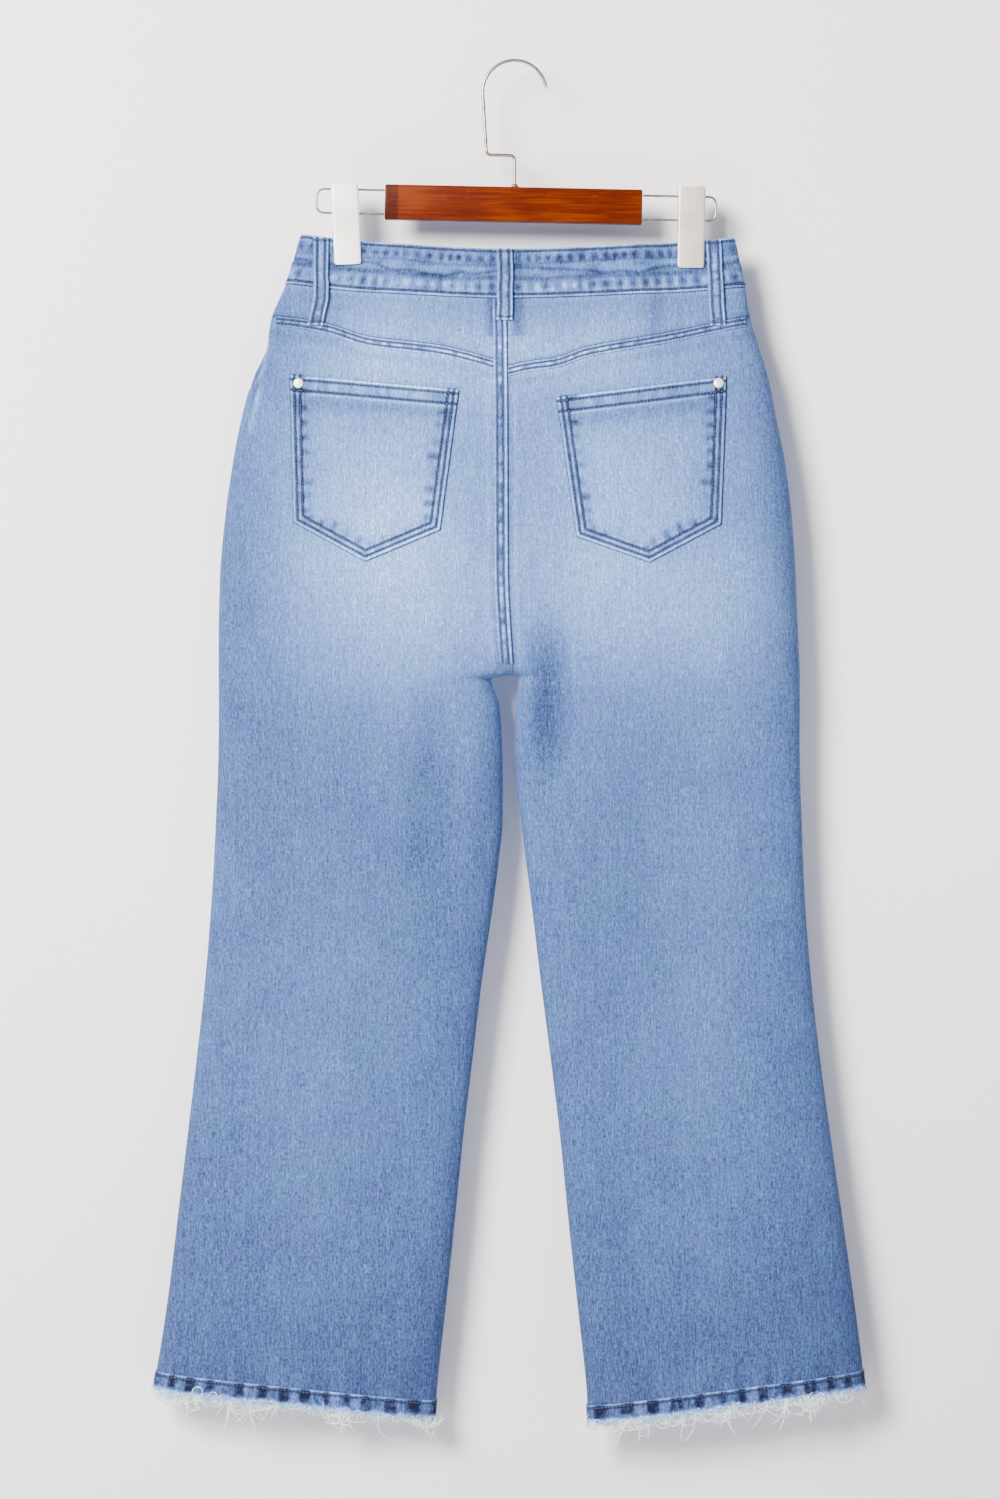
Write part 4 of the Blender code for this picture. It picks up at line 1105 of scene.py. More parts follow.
def patch(
    form: Form,
    name: str,
    face: Face,
    x: Array,
    drop: Array,
    lift: Array | float,
    cloth: float,
    relief: Array | float,
    tone: Array | float,
) -> Sheet:
    """A piece that lies on the cloth.

    Args:
        form: The garment.
        name: The piece's name.
        face: Back or front.
        x: The grid's places across.
        drop: The grid's places down.
        lift: How far its underside stands out.
        cloth: Its thickness.
        relief: What its outer skin adds to that.
        tone: The change of shade.

    Returns:
        The sheet.
    """
    base = form.at(face, x, drop)
    normal = square_to(base, np.array([0.0, float(face), 0.0]))
    lift = np.broadcast_to(np.asarray(lift, float), x.shape)[..., None]
    relief = np.broadcast_to(np.asarray(relief, float), x.shape)[..., None]
    wash = form.wash(face, x, drop) + tone
    flat = np.stack([x, drop], axis=-1)
    outer = base + normal * (lift + cloth + relief)
    return Sheet(name, outer, base + normal * lift, flat, wash)


@dataclass
class CutSheet:
    """A finished piece of cloth, its flat cut, what holds it and what is sewn on it."""

    piece: bpy.types.Object
    flat: tuple[float, float]
    area: float
    rests_on: Sequence[str]
    trim: list[bpy.types.Object] = field(default_factory=list)

    def declare(self) -> None:
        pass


@dataclass
class Dressing:
    """What every sub-assembly needs, and how a finished piece joins the model."""

    form: Form
    denim: dict[Slot, bpy.types.Material]
    cuts: dict[str, CutSheet]

    def add(self, sheet: Sheet, slot: Slot, node: str, rests_on: Sequence[str]) -> None:
        """Builds a sheet of cloth in place of its CAD node.

        Args:
            sheet: The cloth.
            slot: The record's slot.
            node: The CAD node that it stands for.
            rests_on: The pieces that hold it.
        """
        made = sheet.build(self.denim[slot])
        join_model(made, node)
        self.cuts[made.name] = CutSheet(made, *sheet.cut(), rests_on)


@dataclass
class Legs(Dressing):
    """The two back and two front panels."""

    turns: int = 12
    spans: int = 64
    seat_rows: int = 66
    leg_rows: int = 150
    mouth_reach: float = 92.0
    mouth_depth: float = 88.0
    mouth_curve: float = 1.25
    side_seam: tuple[tuple[float, float], ...] = (
        (236.0, -198.6), (267.0, -205.6), (286.0, -208.0), (306.0, -212.6), (330.0, -222.0)
    )

    def mouth_edge(self, side: Side, s: Array) -> Array:
        """The drop of a front panel's top edge: the waist seam, then the pocket's scoop."""
        seam = self.form.waist_edge(side, Face.FRONT, s, WAISTBAND_HEIGHT)
        width = np.abs(self.form.centre_x(Face.FRONT, seam) - self.form.side_x(side, seam))
        away = np.clip(width * s / self.mouth_reach, 0.0, 1.0)
        return seam + self.mouth_depth * (1 - away**2) ** self.mouth_curve

    def build(self) -> None:
        """Makes the four panels."""
        form = self.form
        for side in Side:
            for face in Face:
                top = partial(form.yoke_edge if face is Face.BACK else self.mouth_edge, side)
                bottom = partial(form.hem_edge, side)
                panel = Panel(
                    f"{face.word}_leg_{side.word}",
                    side,
                    face,
                    top,
                    bottom,
                    leg_rows(*inner_ends(top, bottom), self.seat_rows, self.leg_rows),
                    fold_shares(self.turns, self.spans),
                    partial(self._relief, side, face),
                )
                above = "waistband_denim" if face is Face.FRONT else f"yoke_{side.word}_denim"
                self.add(panel.sheet(form), Slot.DENIM, panel.name, [above])

    def _relief(
        self, side: Side, face: Face, x: Array, drop: Array, s: Array
    ) -> tuple[Array, Array]:
        """Ripples above the hem, pale seam edges, a painted shadow along the centre back seam and
        the side seam that shows at the hip.

        Args:
            side: The leg.
            face: Back or front.
            x: The places across.
            drop: The places down.
            s: The shares of the way from the side to the inner edge.

        Returns:
            The lift and the change of shade at each place.
        """
        seed = 11 + 3 * side + face
        above_hem = self.form.hem_edge(side, s) - HEM_HEIGHT - drop
        near = np.exp(-np.clip(above_hem, 0, None) / 13) * (above_hem > -2)
        flat = smooth((above_hem + 2) / 3)
        ripple = uneven(x, 8.5, seed)
        lift = 0.45 * ripple * near * flat
        tone = 0.05 * ripple * near
        if face is Face.BACK:
            below = drop - self.form.yoke_edge(side, s) - 8.6
            tone = tone + 0.10 * hump(below, 1.6) - 0.05 * hump(below - 5, 4)
            beside = x - self.form.centre_x(Face.BACK, drop)
            beside = -11.5 - beside if side is Side.LEFT else beside - 2.6
            seat = smooth((CROTCH - drop) / 20)
            # Beside the centre back seam: a pale line 3 mm out, and a painted shadow right at the
            # seam's edge
            tone = tone + (0.06 * hump(beside - 3, 2.4) - 0.10 * hump(beside, 1.6)) * seat
            if side is Side.LEFT:
                seam = through(self.side_seam)(drop)
                shown = smooth((drop - 228) / 14) * (1 - smooth((drop - 300) / 22))
                ridge, groove = hump(x - seam, 1.3), hump(x - seam + 2.6, 1.6)
                tone = tone + (0.26 * ridge - 0.16 * groove) * shown
                lift = lift + 0.7 * (smooth((x - seam) / 3 + 0.5) - 1) * shown
        return lift, tone


@dataclass
class Yokes(Dressing):
    """The two yokes between the waistband and the seat."""

    turns: int = 12
    spans: int = 96
    rows: int = 34

    def build(self) -> None:
        """Makes both yokes."""
        form = self.form
        for side in Side:
            top = partial(form.waist_edge, side, Face.BACK, down=WAISTBAND_HEIGHT)
            bottom = partial(form.yoke_edge, side)
            panel = Panel(
                f"yoke_{side.word}",
                side,
                Face.BACK,
                top,
                bottom,
                np.linspace(*inner_ends(top, bottom), self.rows),
                fold_shares(self.turns, self.spans),
                partial(self._relief, side),
            )
            self.add(panel.sheet(form), Slot.FADED, panel.name, ["waistband_denim"])

    def _relief(self, side: Side, x: Array, drop: Array, s: Array) -> tuple[Array, Array]:
        """A pale ridge under the waistband, painted shade above the yoke seam and the centre back
        loop's painted shadow.
        """
        under = drop - self.form.waist_edge(side, Face.BACK, s, WAISTBAND_HEIGHT)
        above = self.form.yoke_edge(side, s) - drop
        ripple = uneven(x, 7.0, 31 + side)
        lift = 0.25 * hump(under - 2.2, 1.4) + 0.2 * ripple * np.exp(-above / 9)
        # The pale ridge under the waistband, and a painted shade along the top of the yoke seam
        tone = 0.06 * hump(under - 1.6, 1.6) - 0.16 * hump(above, 2.2)
        # Painted shadow of the centre back loop on both sides of its lower half
        tone = tone - 0.22 * hump(np.abs(x) - 11.0, 4.5) * (drop < 232)
        return lift, tone + 0.05 * ripple * np.exp(-above / 9)


def grid(across: Array, down: Array) -> tuple[Array, Array]:
    """Shares across and down over a grid, in rows that run across."""
    return tuple(np.meshgrid(np.asarray(across, float), np.asarray(down, float)))


def along_line(start: Spot, stop: Spot, x: Array, drop: Array) -> tuple[Array, Array]:
    """How far places lie to the right of a line and how far along it.

    Args:
        start: The line's first end.
        stop: Its other end.
        x: The places across.
        drop: The places down.

    Returns:
        The distances to its right, seen from the first end with drop upwards, and the
        distances along it.
    """
    run_x, run_drop = stop.x - start.x, stop.drop - start.drop
    length = math.hypot(run_x, run_drop)
    aside = ((x - start.x) * run_drop - (drop - start.drop) * run_x) / length
    forward = ((x - start.x) * run_x + (drop - start.drop) * run_drop) / length
    return aside, forward


@dataclass
class Waist(Dressing):
    """The waistband, doubled and topstitched at both edges, and its five belt loops."""

    cloth: float = 2.0
    proud: float = 0.8
    overlap: float = 14.0
    underlap: float = 10.0
    rise_from: float = 34.0
    rise_to: float = 13.0
    spans: int = 108
    turns: int = 12
    rope_row: float = 8.5
    lower_row: float = 32.5
    patch_pitches: tuple[float, float] = (9.4, 10.6)
    stitch_rows: tuple[float, float] = (2.3, 38.6)
    loop_width: float = 13.6
    loop_cloth: float = 1.5
    loop_bow: float = 1.0
    loop_bend: float = 0.7
    loop_row: float = 3.5

    def build(self) -> None:
        """Makes the waistband and the loops."""
        sheet = self._band()
        self.add(sheet, Slot.DENIM, "waistband", ["jaw_left_front", "jaw_right_front"])
        for name, loop in LOOPS.items():
            self.add(self._loop(name, loop), Slot.FADED, name, ["waistband_denim"])

    def _band(self) -> Sheet:
        """One length round the waist, its left end lapped over the right."""
        stops = (0.0, 4.2, 36.4, WAISTBAND_HEIGHT - SEAM_GAP / 2)
        down = spaced(stops, (7, 27, 10))[:, None]
        fold = fold_steps(self.turns, 0.2)
        shares = np.concatenate([fold, np.linspace(fold[-1], 1.0, self.spans + 1)[1:]])
        to_side, from_side = shares[::-1], shares[1:]
        steps = np.linspace(0, 1, 9)
        lapped = self.cloth + REST_GAP + 0.1
        parts = [
            self._front(np.linspace(-self.underlap, 0, 6)[:-1], down, 0.0),
            self._quarter(Side.RIGHT, Face.FRONT, to_side, down),
            self._quarter(Side.RIGHT, Face.BACK, from_side, down),
            self._quarter(Side.LEFT, Face.BACK, to_side[1:], down),
            self._quarter(Side.LEFT, Face.FRONT, from_side, down, keep=-self.rise_from - 1),
            self._front(-mix(self.rise_from, self.rise_to, steps), down, lapped * smooth(steps)),
            self._front(np.linspace(-self.rise_to + 2, self.overlap, 14), down, lapped),
        ]
        points, wash = (np.concatenate(columns, axis=1) for columns in zip(*parts))
        normal = square_to(points)
        seat = np.argmin(np.abs(points[0, :, 0]) + np.where(points[0, :, 1] < 0, 0, 1e4))
        if normal[0, seat, 1] > 0:
            normal = -normal
        arc = arc_along(points)[len(down) // 2][None, :]
        lift, tone = self._relief(arc, down)
        # Painted shadow of the centre back loop on the band, on both sides of it
        back = (points[..., 1] < 0) & (np.abs(points[..., 0]) < 150)
        tone = tone - 0.10 * hump(np.abs(points[..., 0]) - 12, 4) * back
        return Sheet(
            "waistband_denim",
            points + normal * (self.proud + lift)[..., None],
            points - normal * (self.cloth - self.proud),
            np.stack(np.broadcast_arrays(arc, down), axis=-1),
            wash + tone,
        )

    def _quarter(
        self, side: Side, face: Face, s: Array, down: Array, keep: float | None = None
    ) -> tuple[Array, Array]:
        """Points and wash over one quarter, or over the part of it left of keep."""
        drop = self.form.waist_edge(side, face, s[None, :], down)
        points = self.form.point(side, face, s[None, :], drop)
        wash = self.form.wash(face, points[..., 0], drop)
        kept = np.ones(len(s), bool) if keep is None else points[0, :, 0] < keep
        return points[:, kept], wash[:, kept]

    def _front(self, x: Array, down: Array, rise: Array | float) -> tuple[Array, Array]:
        """Points and wash by the closing, where the band rises over its other end."""
        x = np.broadcast_to(x[None, :], (len(down), len(x)))
        drop = self.form.waist_line(Face.FRONT, x, down)
        points = self.form.at(Face.FRONT, x, drop)
        points[..., 1] += rise
        return points, self.form.wash(Face.FRONT, x, drop)

    def _relief(self, arc: Array, down: Array) -> tuple[Array, Array]:
        """The puckers, grooves and wear of a washed waistband, and a painted shadow along its lower
        edge.
        """
        high, low = self.stitch_rows
        rope, lower = (knots(arc, pitch, 51 + i) for i, pitch in enumerate(self.patch_pitches))
        middle = 20.0 + 3.5 * uneven(arc, 38, 53) + 1.5 * uneven(arc, 15, 54)
        second = 13.5 + 2.5 * uneven(arc, 46, 55)
        lift = -0.35 * hump(down - high, 0.9) - 0.35 * hump(down - low, 0.9)
        lift = lift + (0.25 - 0.55 * rope) * hump(down - self.rope_row, 4.0)
        lift = lift + (0.25 - 0.60 * lower) * hump(down - self.lower_row, 4.5)
        lift = lift - 0.45 * hump(down - middle, 2.0) + 0.3 * hump(down - middle - 4.5, 2.4)
        lift = lift - 0.25 * hump(down - second, 1.6)
        lift = lift - 0.3 * (1 - smooth(down / 2.4 + 0.2))
        tone = 0.03 + 0.20 * hump(down - 0.5, 1.0) - 0.46 * hump(down - high, 1.0)
        tone = tone - 0.38 * rope * hump(down - self.rope_row, 3.2)
        tone = tone - 0.40 * lower * hump(down - self.lower_row, 4.2)
        tone = tone + 0.14 * hump(down - self.lower_row, 5.0) + 0.06 * hump(down - 5.0, 2.5)
        tone = tone - 0.22 * hump(down - middle, 1.5) - 0.16 * hump(down - second, 1.2)
        tone = tone - 0.20 * hump(down - 25.5 - 1.5 * uneven(arc, 30, 56), 2.4)
        tone = tone - 0.52 * hump(down - low, 1.1) + 0.20 * hump(down - low - 1.9, 1.0)
        # Painted shadow along the band's lower edge, where it lies on the cloth below
        tone = tone - 0.34 * hump(down - WAISTBAND_HEIGHT, 0.8)
        return lift, tone + 0.10 * blotches(arc, down, (13.0, 4.0), 57)

    def loop_line(self, loop: Loop, v: Array) -> tuple[Array, Array, Array]:
        """The middle line of a belt loop.

        Args:
            loop: The belt loop.
            v: Shares of its length from the top.

        Returns:
            The line's x, its drop and how far the loop's underside stands out there.
        """
        top, bend = float(self.form.waist_line(loop.face, np.array(loop.top_x))), self.loop_bend
        upper = mix(loop.top_x, loop.bend_x, np.minimum(v / bend, 1.0))
        lower = mix(loop.bend_x, loop.bottom_x, (v - bend) / (1 - bend))
        lift = mix(self.proud, SEAM_CLOTH + REST_GAP, v) + self.loop_bow * np.sin(np.pi * v)
        return np.where(v < bend, upper, lower), mix(top, loop.bottom_drop, v), lift + REST_GAP

    def _loop(self, name: str, loop: Loop) -> Sheet:
        """A strip sewn at the waistband's top edge and below its seam."""
        across, v = grid(spaced((-0.5, -0.2, 0.2, 0.5), (7, 4, 7)), np.linspace(0, 1, 84))
        middle, drop, lift = self.loop_line(loop, v)
        length = loop.bottom_drop - drop[0, 0]
        edge = self.loop_width * (0.5 - np.abs(across))
        wobble = 0.35 * uneven(v * length, 8, len(name))
        x = middle + across * self.loop_width + wobble
        ends = np.minimum(v, 1 - v) * length
        ripple = uneven(v * length, 3.4, 61 + int(abs(loop.top_x)))
        relief = 0.30 * hump(edge - 1.1, 1.0) - 0.35 * hump(edge - 3.3, 0.9)
        relief = relief + 0.18 * ripple * smooth((edge - 3.6) / 2) - 0.5 * (edge < 0.01)
        relief = relief - 0.25 * hump(ends - 2.6, 0.9)
        tone = 0.17 * hump(edge - 1.1, 1.2) - 0.46 * hump(edge - 3.3, 1.0)
        tone = tone + 0.05 - 0.16 * np.clip(ripple, -0.4, 1) * smooth((edge - 3.6) / 2)
        # Painted shadow line along both long edges, where the loop meets the cloth under it
        tone = tone - 0.26 * hump(edge, 0.4)
        tone = tone + 0.20 * hump(ends, 1.2) - 0.26 * hump(ends - 2.6, 1.0)
        tone = tone + 0.10 * smooth((edge - 4.5) / 2) * hump(v - 0.3, 0.3)
        return patch(
            self.form, name + "_denim", loop.face, x, drop, lift, self.loop_cloth, relief, tone
        )


@dataclass
class Seams(Dressing):
    """The felled seams, which stand proud of the cloth in two stitched ridges."""

    cloth: float = SEAM_CLOTH
    centre_left: float = 10.5
    centre_right: float = 1.2
    front_right: float = 8.4
    yoke_height: float = 9.0
    yoke_up: float = 1.1
    yoke_lift: float = 0.25
    fly_length: float = 160.0

    def build(self) -> None:
        """Makes the centre back, centre front and yoke seams."""
        centre = self.form.waist_line(Face.BACK, np.zeros(1), WAISTBAND_HEIGHT)[0] + SEAM_GAP
        end = CROTCH - SEAT_TURN / 2
        self._centre(
            "seam_centre_back",
            Face.BACK,
            (-self.centre_left, self.centre_right),
            (float(centre), end),
            ["yoke_left_denim", "back_leg_left_denim"],
        )
        front = self.form.waist_line(Face.FRONT, np.zeros(1), WAISTBAND_HEIGHT)[0]
        self._centre(
            "seam_centre_front",
            Face.FRONT,
            (-self.centre_right, self.front_right),
            (float(front) + self.fly_length, end),
            ["front_leg_left_denim", "front_leg_right_denim"],
        )
        for side in Side:
            self._yoke(side)

    def _centre(
        self,
        name: str,
        face: Face,
        span: tuple[float, float],
        drops: tuple[float, float],
        rests_on: Sequence[str],
    ) -> None:
        """A seam down the middle of one face.

        Args:
            name: The CAD node.
            face: Back or front.
            span: How far it reaches left and right of the centre line.
            drops: Its first and last drop.
            rests_on: The panels under it.
        """
        last = 1 - (1 - np.linspace(0, 1, 190)) ** 1.25
        across, drop = grid(np.linspace(span[0], span[1], 17), mix(drops[0], drops[1], last))
        x = self.form.centre_x(face, drop) + across
        left, right = across - span[0], span[1] - across
        ripple, fine = uneven(drop, 4.4, 71 + face), uneven(drop + 40, 2.4, 73)
        relief = 0.25 * hump(left - 0.8, 0.8) - 0.35 * hump(left - 2.4, 0.8)
        relief = relief + 0.30 * hump(right - 1.6, 1.1) - 0.30 * hump(right - 4.4, 0.9)
        inside = smooth((left - 2.8) / 1.5) * smooth((right - 4.6) / 1.0)
        relief = relief + 0.28 * ripple * inside - 0.35 * (left < 0.01) - 0.35 * (right < 0.01)
        tone = 0.12 * hump(left - 0.6, 0.9) - 0.36 * hump(left - 2.5, 1.0)
        # A pale line inside the right edge, and a painted shadow along the right edge itself
        tone = tone + 0.22 * hump(right - 1.8, 1.0) - 0.50 * hump(right - 0.1, 0.9)
        tone = tone - 0.36 * hump(right - 4.3, 1.1)
        tone = tone - inside * (0.22 * np.clip(ripple, -0.6, 1) + 0.08 * fine)
        sheet = patch(
            self.form, name + "_denim", face, x, drop, REST_GAP, self.cloth, relief, tone
        )
        self.add(sheet, Slot.SEAM, name, rests_on)

    def _yoke(self, side: Side) -> None:
        """The seam between a yoke and the seat."""
        form = self.form
        clear = self.centre_left if side is Side.LEFT else self.centre_right
        seam = float(form.yoke_edge(side, np.ones(1))[0])
        width = abs(float(form.centre_x(Face.BACK, seam) - form.side_x(side, seam)))
        last = 1 - (clear + SEAM_GAP) / width
        fold = fold_steps(13, 0.12)
        fold = fold[fold > 0.018]
        shares = np.concatenate([fold, np.linspace(fold[-1], last, 140)[1:]])
        s, down = grid(shares, np.linspace(0.0, self.yoke_height, 19))
        edge = form.yoke_edge(side, s)
        drop = edge - self.yoke_up + down
        x = mix(form.side_x(side, edge), form.centre_x(Face.BACK, edge), s)
        ripple, fine = uneven(x, 4.2, 81 + side), uneven(x + 50, 2.2, 83)
        low = self.yoke_height - down
        relief = 0.30 * hump(down - 0.9, 0.8) - 0.32 * hump(down - 2.7, 0.8)
        relief = relief + 0.2 * ripple * hump(down - 4.4, 1.6) - 0.3 * hump(low - 2.2, 0.8)
        relief = relief - 0.30 * (down < 0.01) - 0.35 * (low < 0.01)
        # A painted shadow along the top edge, and a pale line just below it
        tone = 0.04 * fine - 0.50 * hump(down, 0.9) + 0.20 * hump(down - 1.4, 0.8)
        tone = tone - 0.48 * hump(down - 2.9, 1.0)
        tone = tone + (0.08 - 0.24 * np.clip(ripple, -0.5, 1)) * hump(down - 4.8, 1.6)
        tone = tone - 0.46 * hump(low - 2.3, 1.0) + 0.12 * hump(low - 0.7, 0.9)
        lift = REST_GAP + self.yoke_lift
        node = f"seam_yoke_{side.word}"
        sheet = patch(form, node + "_denim", Face.BACK, x, drop, lift, self.cloth, relief, tone)
        self.add(sheet, Slot.SEAM, node, [f"back_leg_{side.word}_denim"])


@dataclass
class BackPockets(Dressing):
    """Five-sided patch pockets with a hem at the top and two rows of stitches round."""

    cloth: float = 1.2
    lift: float = 0.15
    hem: float = 14.0
    rows: tuple[float, float] = (3.9, 8.6)
    pucker_pitch: float = 12.0
    pucker_reach: float = 11.0

    def build(self) -> None:
        """Makes both pockets."""
        for side in Side:
            node = f"back_pocket_{side.word}"
            self.add(self._pocket(side, node), Slot.FADED, node, [f"back_leg_{side.word}_denim"])

    def edges(self, side: Side, x: Array, drop: Array) -> dict[str, tuple[Array, Array]]:
        """Where places lie beside each of the pocket's edges.

        Args:
            side: Which pocket.
            x: The places across.
            drop: The places down.

        Returns:
            By the edge's name, how far inside it the places lie and how far along it.
        """
        corners = POCKETS[side]
        ring = (
            ("top", corners.outer_top, corners.inner_top),
            ("inner", corners.inner_top, corners.inner_bottom),
            ("low_inner", corners.inner_bottom, corners.tip),
            ("low_outer", corners.tip, corners.outer_bottom),
            ("outer", corners.outer_bottom, corners.outer_top),
        )
        found = {}
        for name, start, stop in ring:
            aside, forward = along_line(start, stop, x, drop)
            found[name] = (aside * side, forward)
        return found

    def _pocket(self, side: Side, node: str) -> Sheet:
        """Lays a pocket on the seat."""
        corners = POCKETS[side]
        u, v = grid(
            spaced((0.0, 0.1, 0.9, 1.0), (18, 48, 18)), spaced((0.0, 0.15, 0.88, 1.0), (28, 42, 24))
        )
        first = u < 0.5
        start_x = np.where(first, corners.outer_bottom.x, corners.tip.x)
        stop_x = np.where(first, corners.tip.x, corners.inner_bottom.x)
        start_drop = np.where(first, corners.outer_bottom.drop, corners.tip.drop)
        stop_drop = np.where(first, corners.tip.drop, corners.inner_bottom.drop)
        t = np.where(first, 2 * u, 2 * u - 1)
        low_x, low_drop = mix(start_x, stop_x, t), mix(start_drop, stop_drop, t)
        x = mix(mix(corners.outer_top.x, corners.inner_top.x, u), low_x, v)
        drop = mix(mix(corners.outer_top.drop, corners.inner_top.drop, u), low_drop, v)
        relief, tone = self._relief(side, x, drop)
        return patch(
            self.form,
            node + "_denim",
            Face.BACK,
            x,
            drop,
            REST_GAP + self.lift,
            self.cloth,
            relief,
            tone,
        )

    def _relief(self, side: Side, x: Array, drop: Array) -> tuple[Array, Array]:
        """Worn edges with a painted shadow line on the outermost edge, stitch grooves, puckers
        beside them and a paler middle.

        Args:
            side: Which pocket.
            x: The places across.
            drop: The places down.

        Returns:
            What the outer skin adds to the cloth, and the change of shade.
        """
        edges = self.edges(side, x, drop)
        top = edges.pop("top")
        near, far = self.rows
        relief = np.zeros(x.shape)
        tone = np.zeros(x.shape)
        inside = np.minimum.reduce([aside for aside, _ in edges.values()])
        for seed, (aside, forward) in enumerate(edges.values()):
            nearest = smooth(1 - (aside - inside) / 3)
            pull = uneven(forward, 4.6, 91 + seed + 7 * side)
            ridge = hump(aside - (near + far) / 2, 2.0) * nearest
            relief = relief + 0.25 * pull * ridge
            tone = tone - 0.13 * np.clip(pull, -0.4, 1) * ridge
            reach = self.pucker_reach * (0.8 + 0.4 * uneven(forward, 9.0, 97 + seed))
            pucker = knots(forward, self.pucker_pitch, 151 + seed + 7 * side) ** 2 * nearest
            pucker = pucker * smooth((aside - far) / 1.5) * smooth((far + reach - aside) / 5.0)
            relief = relief - 0.45 * pucker
            tone = tone - 0.30 * pucker
        for row in (near, far):
            relief = relief - 0.32 * hump(inside - row, 0.85)
            tone = tone - 0.50 * hump(inside - row, 1.1) + 0.08 * hump(inside - row - 2.3, 1.0)
        relief = relief + 0.2 * hump(inside - 1.6, 1.2) - 0.5 * (inside < 0.05)
        # A pale line just inside the edge, and a painted shadow line on the edge itself
        tone = tone + 0.16 * hump(inside - 1.7, 1.4) - 0.52 * hump(inside, 0.5)
        tone = tone - 0.05 * (1 - smooth((inside - far) / 8))
        aside, forward = top
        pull = uneven(forward, 4.4, 111 + side)
        band = hump(aside - self.hem / 2 - 0.5, 4.6)
        relief = relief + 0.3 * (1 - smooth((aside - self.hem) / 1.2)) * smooth((inside + 2) / 4)
        relief = relief - 0.35 * hump(aside - near, 0.85) - 0.35 * hump(aside - self.hem + 1, 0.9)
        relief = relief + 0.22 * pull * band - 0.5 * (aside < 0.05)
        tone = tone + 0.19 * hump(aside - 1.5, 1.4) - 0.48 * hump(aside - near, 1.1)
        groove, ledge = hump(aside - self.hem + 1.2, 1.2), hump(aside - self.hem - 1.0, 1.1)
        # The hem's stitch groove and the pale ledge below it, and a painted shadow line along the
        # top edge
        tone = tone - 0.48 * groove + 0.16 * ledge - 0.4 * hump(aside, 0.5)
        tone = tone - 0.14 * np.clip(pull, -0.3, 1) * band - 0.10 * hump(aside - self.hem - 7, 6)
        middle = smooth((inside - 10) / 26) * smooth((aside - 26) / 30)
        return relief, tone + 0.04 * middle


@dataclass
class Front(Dressing):
    """The fly's placket and the facings in the front pocket mouths."""

    cloth: float = 1.2
    facing_cloth: float = 0.8
    facing_sink: float = 2.4
    width: float = 34.0
    straight: float = 112.0
    length: float = 158.0
    underlap: float = 9.0

    def build(self, legs: Legs) -> None:
        """Makes the placket and both facings."""
        sheet = self._placket()
        self.add(sheet, Slot.DENIM, "fly_placket", ["front_leg_left_denim"])
        for side in Side:
            node = f"pocket_facing_{side.word}"
            sheet = self._facing(side, legs, node)
            self.add(sheet, Slot.DENIM, node, ["waistband_denim", f"front_leg_{side.word}_denim"])

    def fly_edge(self, u: Array) -> Array:
        """How long the placket is at a share of the way from its free edge."""
        bend = np.sqrt(np.clip(1 - (1 - np.asarray(u, float)) ** 2, 0, 1))
        return mix(self.straight, self.length, bend)

    def _placket(self) -> Sheet:
        """The J-shaped placket that covers the zip."""
        form = self.form
        u, v = grid(np.linspace(0, 1, 41) ** 1.35, np.linspace(0, 1, 110))
        x = mix(-self.width, 1.0, u)
        top = float(form.waist_line(Face.FRONT, np.zeros(1), WAISTBAND_HEIGHT)[0]) + SEAM_GAP
        high = form.waist_line(Face.FRONT, x, WAISTBAND_HEIGHT) + SEAM_GAP
        drop = mix(high, top + self.fly_edge(u), v)
        free = x + self.width
        below = top + self.fly_edge(u) - drop
        curved = np.minimum(free, below)
        centre = 1.0 - x
        pull = uneven(drop, 5.0, 121)
        relief = 0.2 * hump(centre - 1.0, 0.9) - 0.32 * hump(curved - 2.4, 0.9)
        relief = relief - 0.32 * hump(curved - 8.6, 0.9) + 0.25 * pull * hump(curved - 5.5, 2.2)
        relief = relief - 0.4 * (free < 0.05) - 0.3 * (centre < 0.05)
        tone = 0.24 * hump(centre - 0.8, 1.0) - 0.2 * hump(centre - 3.2, 1.1)
        tone = tone - 0.2 * hump(curved - 2.5, 1.0) - 0.18 * hump(curved - 8.7, 1.0)
        tone = tone + 0.18 * hump(curved - 0.7, 1.0)
        tone = tone - 0.12 * np.clip(pull, 0, 1) * hump(curved - 5.5, 2.0)
        name = "fly_placket_denim"
        return patch(form, name, Face.FRONT, x, drop, REST_GAP, self.cloth, relief, tone)

    def _facing(self, side: Side, legs: Legs, node: str) -> Sheet:
        """The cloth seen in a pocket's mouth, under the panel's edge.

        Args:
            side: The leg.
            legs: The panels, whose edge it lies under.
            node: The CAD node that it stands for.

        Returns:
            The sheet.
        """
        form = self.form
        seam = float(form.waist_edge(side, Face.FRONT, 0.3, WAISTBAND_HEIGHT))
        width = abs(float(form.centre_x(Face.FRONT, seam) - form.side_x(side, seam)))
        reach = (legs.mouth_reach + self.underlap) / width
        fold = fold_steps(12, 0.15)
        shares = np.concatenate([fold, np.linspace(fold[-1], reach, 44)[1:]])
        s, v = grid(shares, np.linspace(0, 1, 46))
        top = form.waist_edge(side, Face.FRONT, s, WAISTBAND_HEIGHT) + SEAM_GAP / 2
        drop = mix(top, legs.mouth_edge(side, s) + self.underlap, v)
        points = form.point(side, Face.FRONT, s, drop)
        normal = square_to(points, np.array([0.0, 1.0, 0.0]))
        normal[:, 0, 1] = 0.0
        normal[:, 0] /= np.linalg.norm(normal[:, 0], axis=-1, keepdims=True)
        outer = points - normal * self.facing_sink
        inner = points - normal * (self.facing_sink + self.facing_cloth)
        outer[:, 0, 1] = inner[:, 0, 1] = SEAM_GAP / 2
        wash = form.wash(Face.FRONT, points[..., 0], drop) - 0.12
        flat = np.stack([points[..., 0], drop], axis=-1)
        return Sheet(node + "_denim", outer, inner, flat, wash)


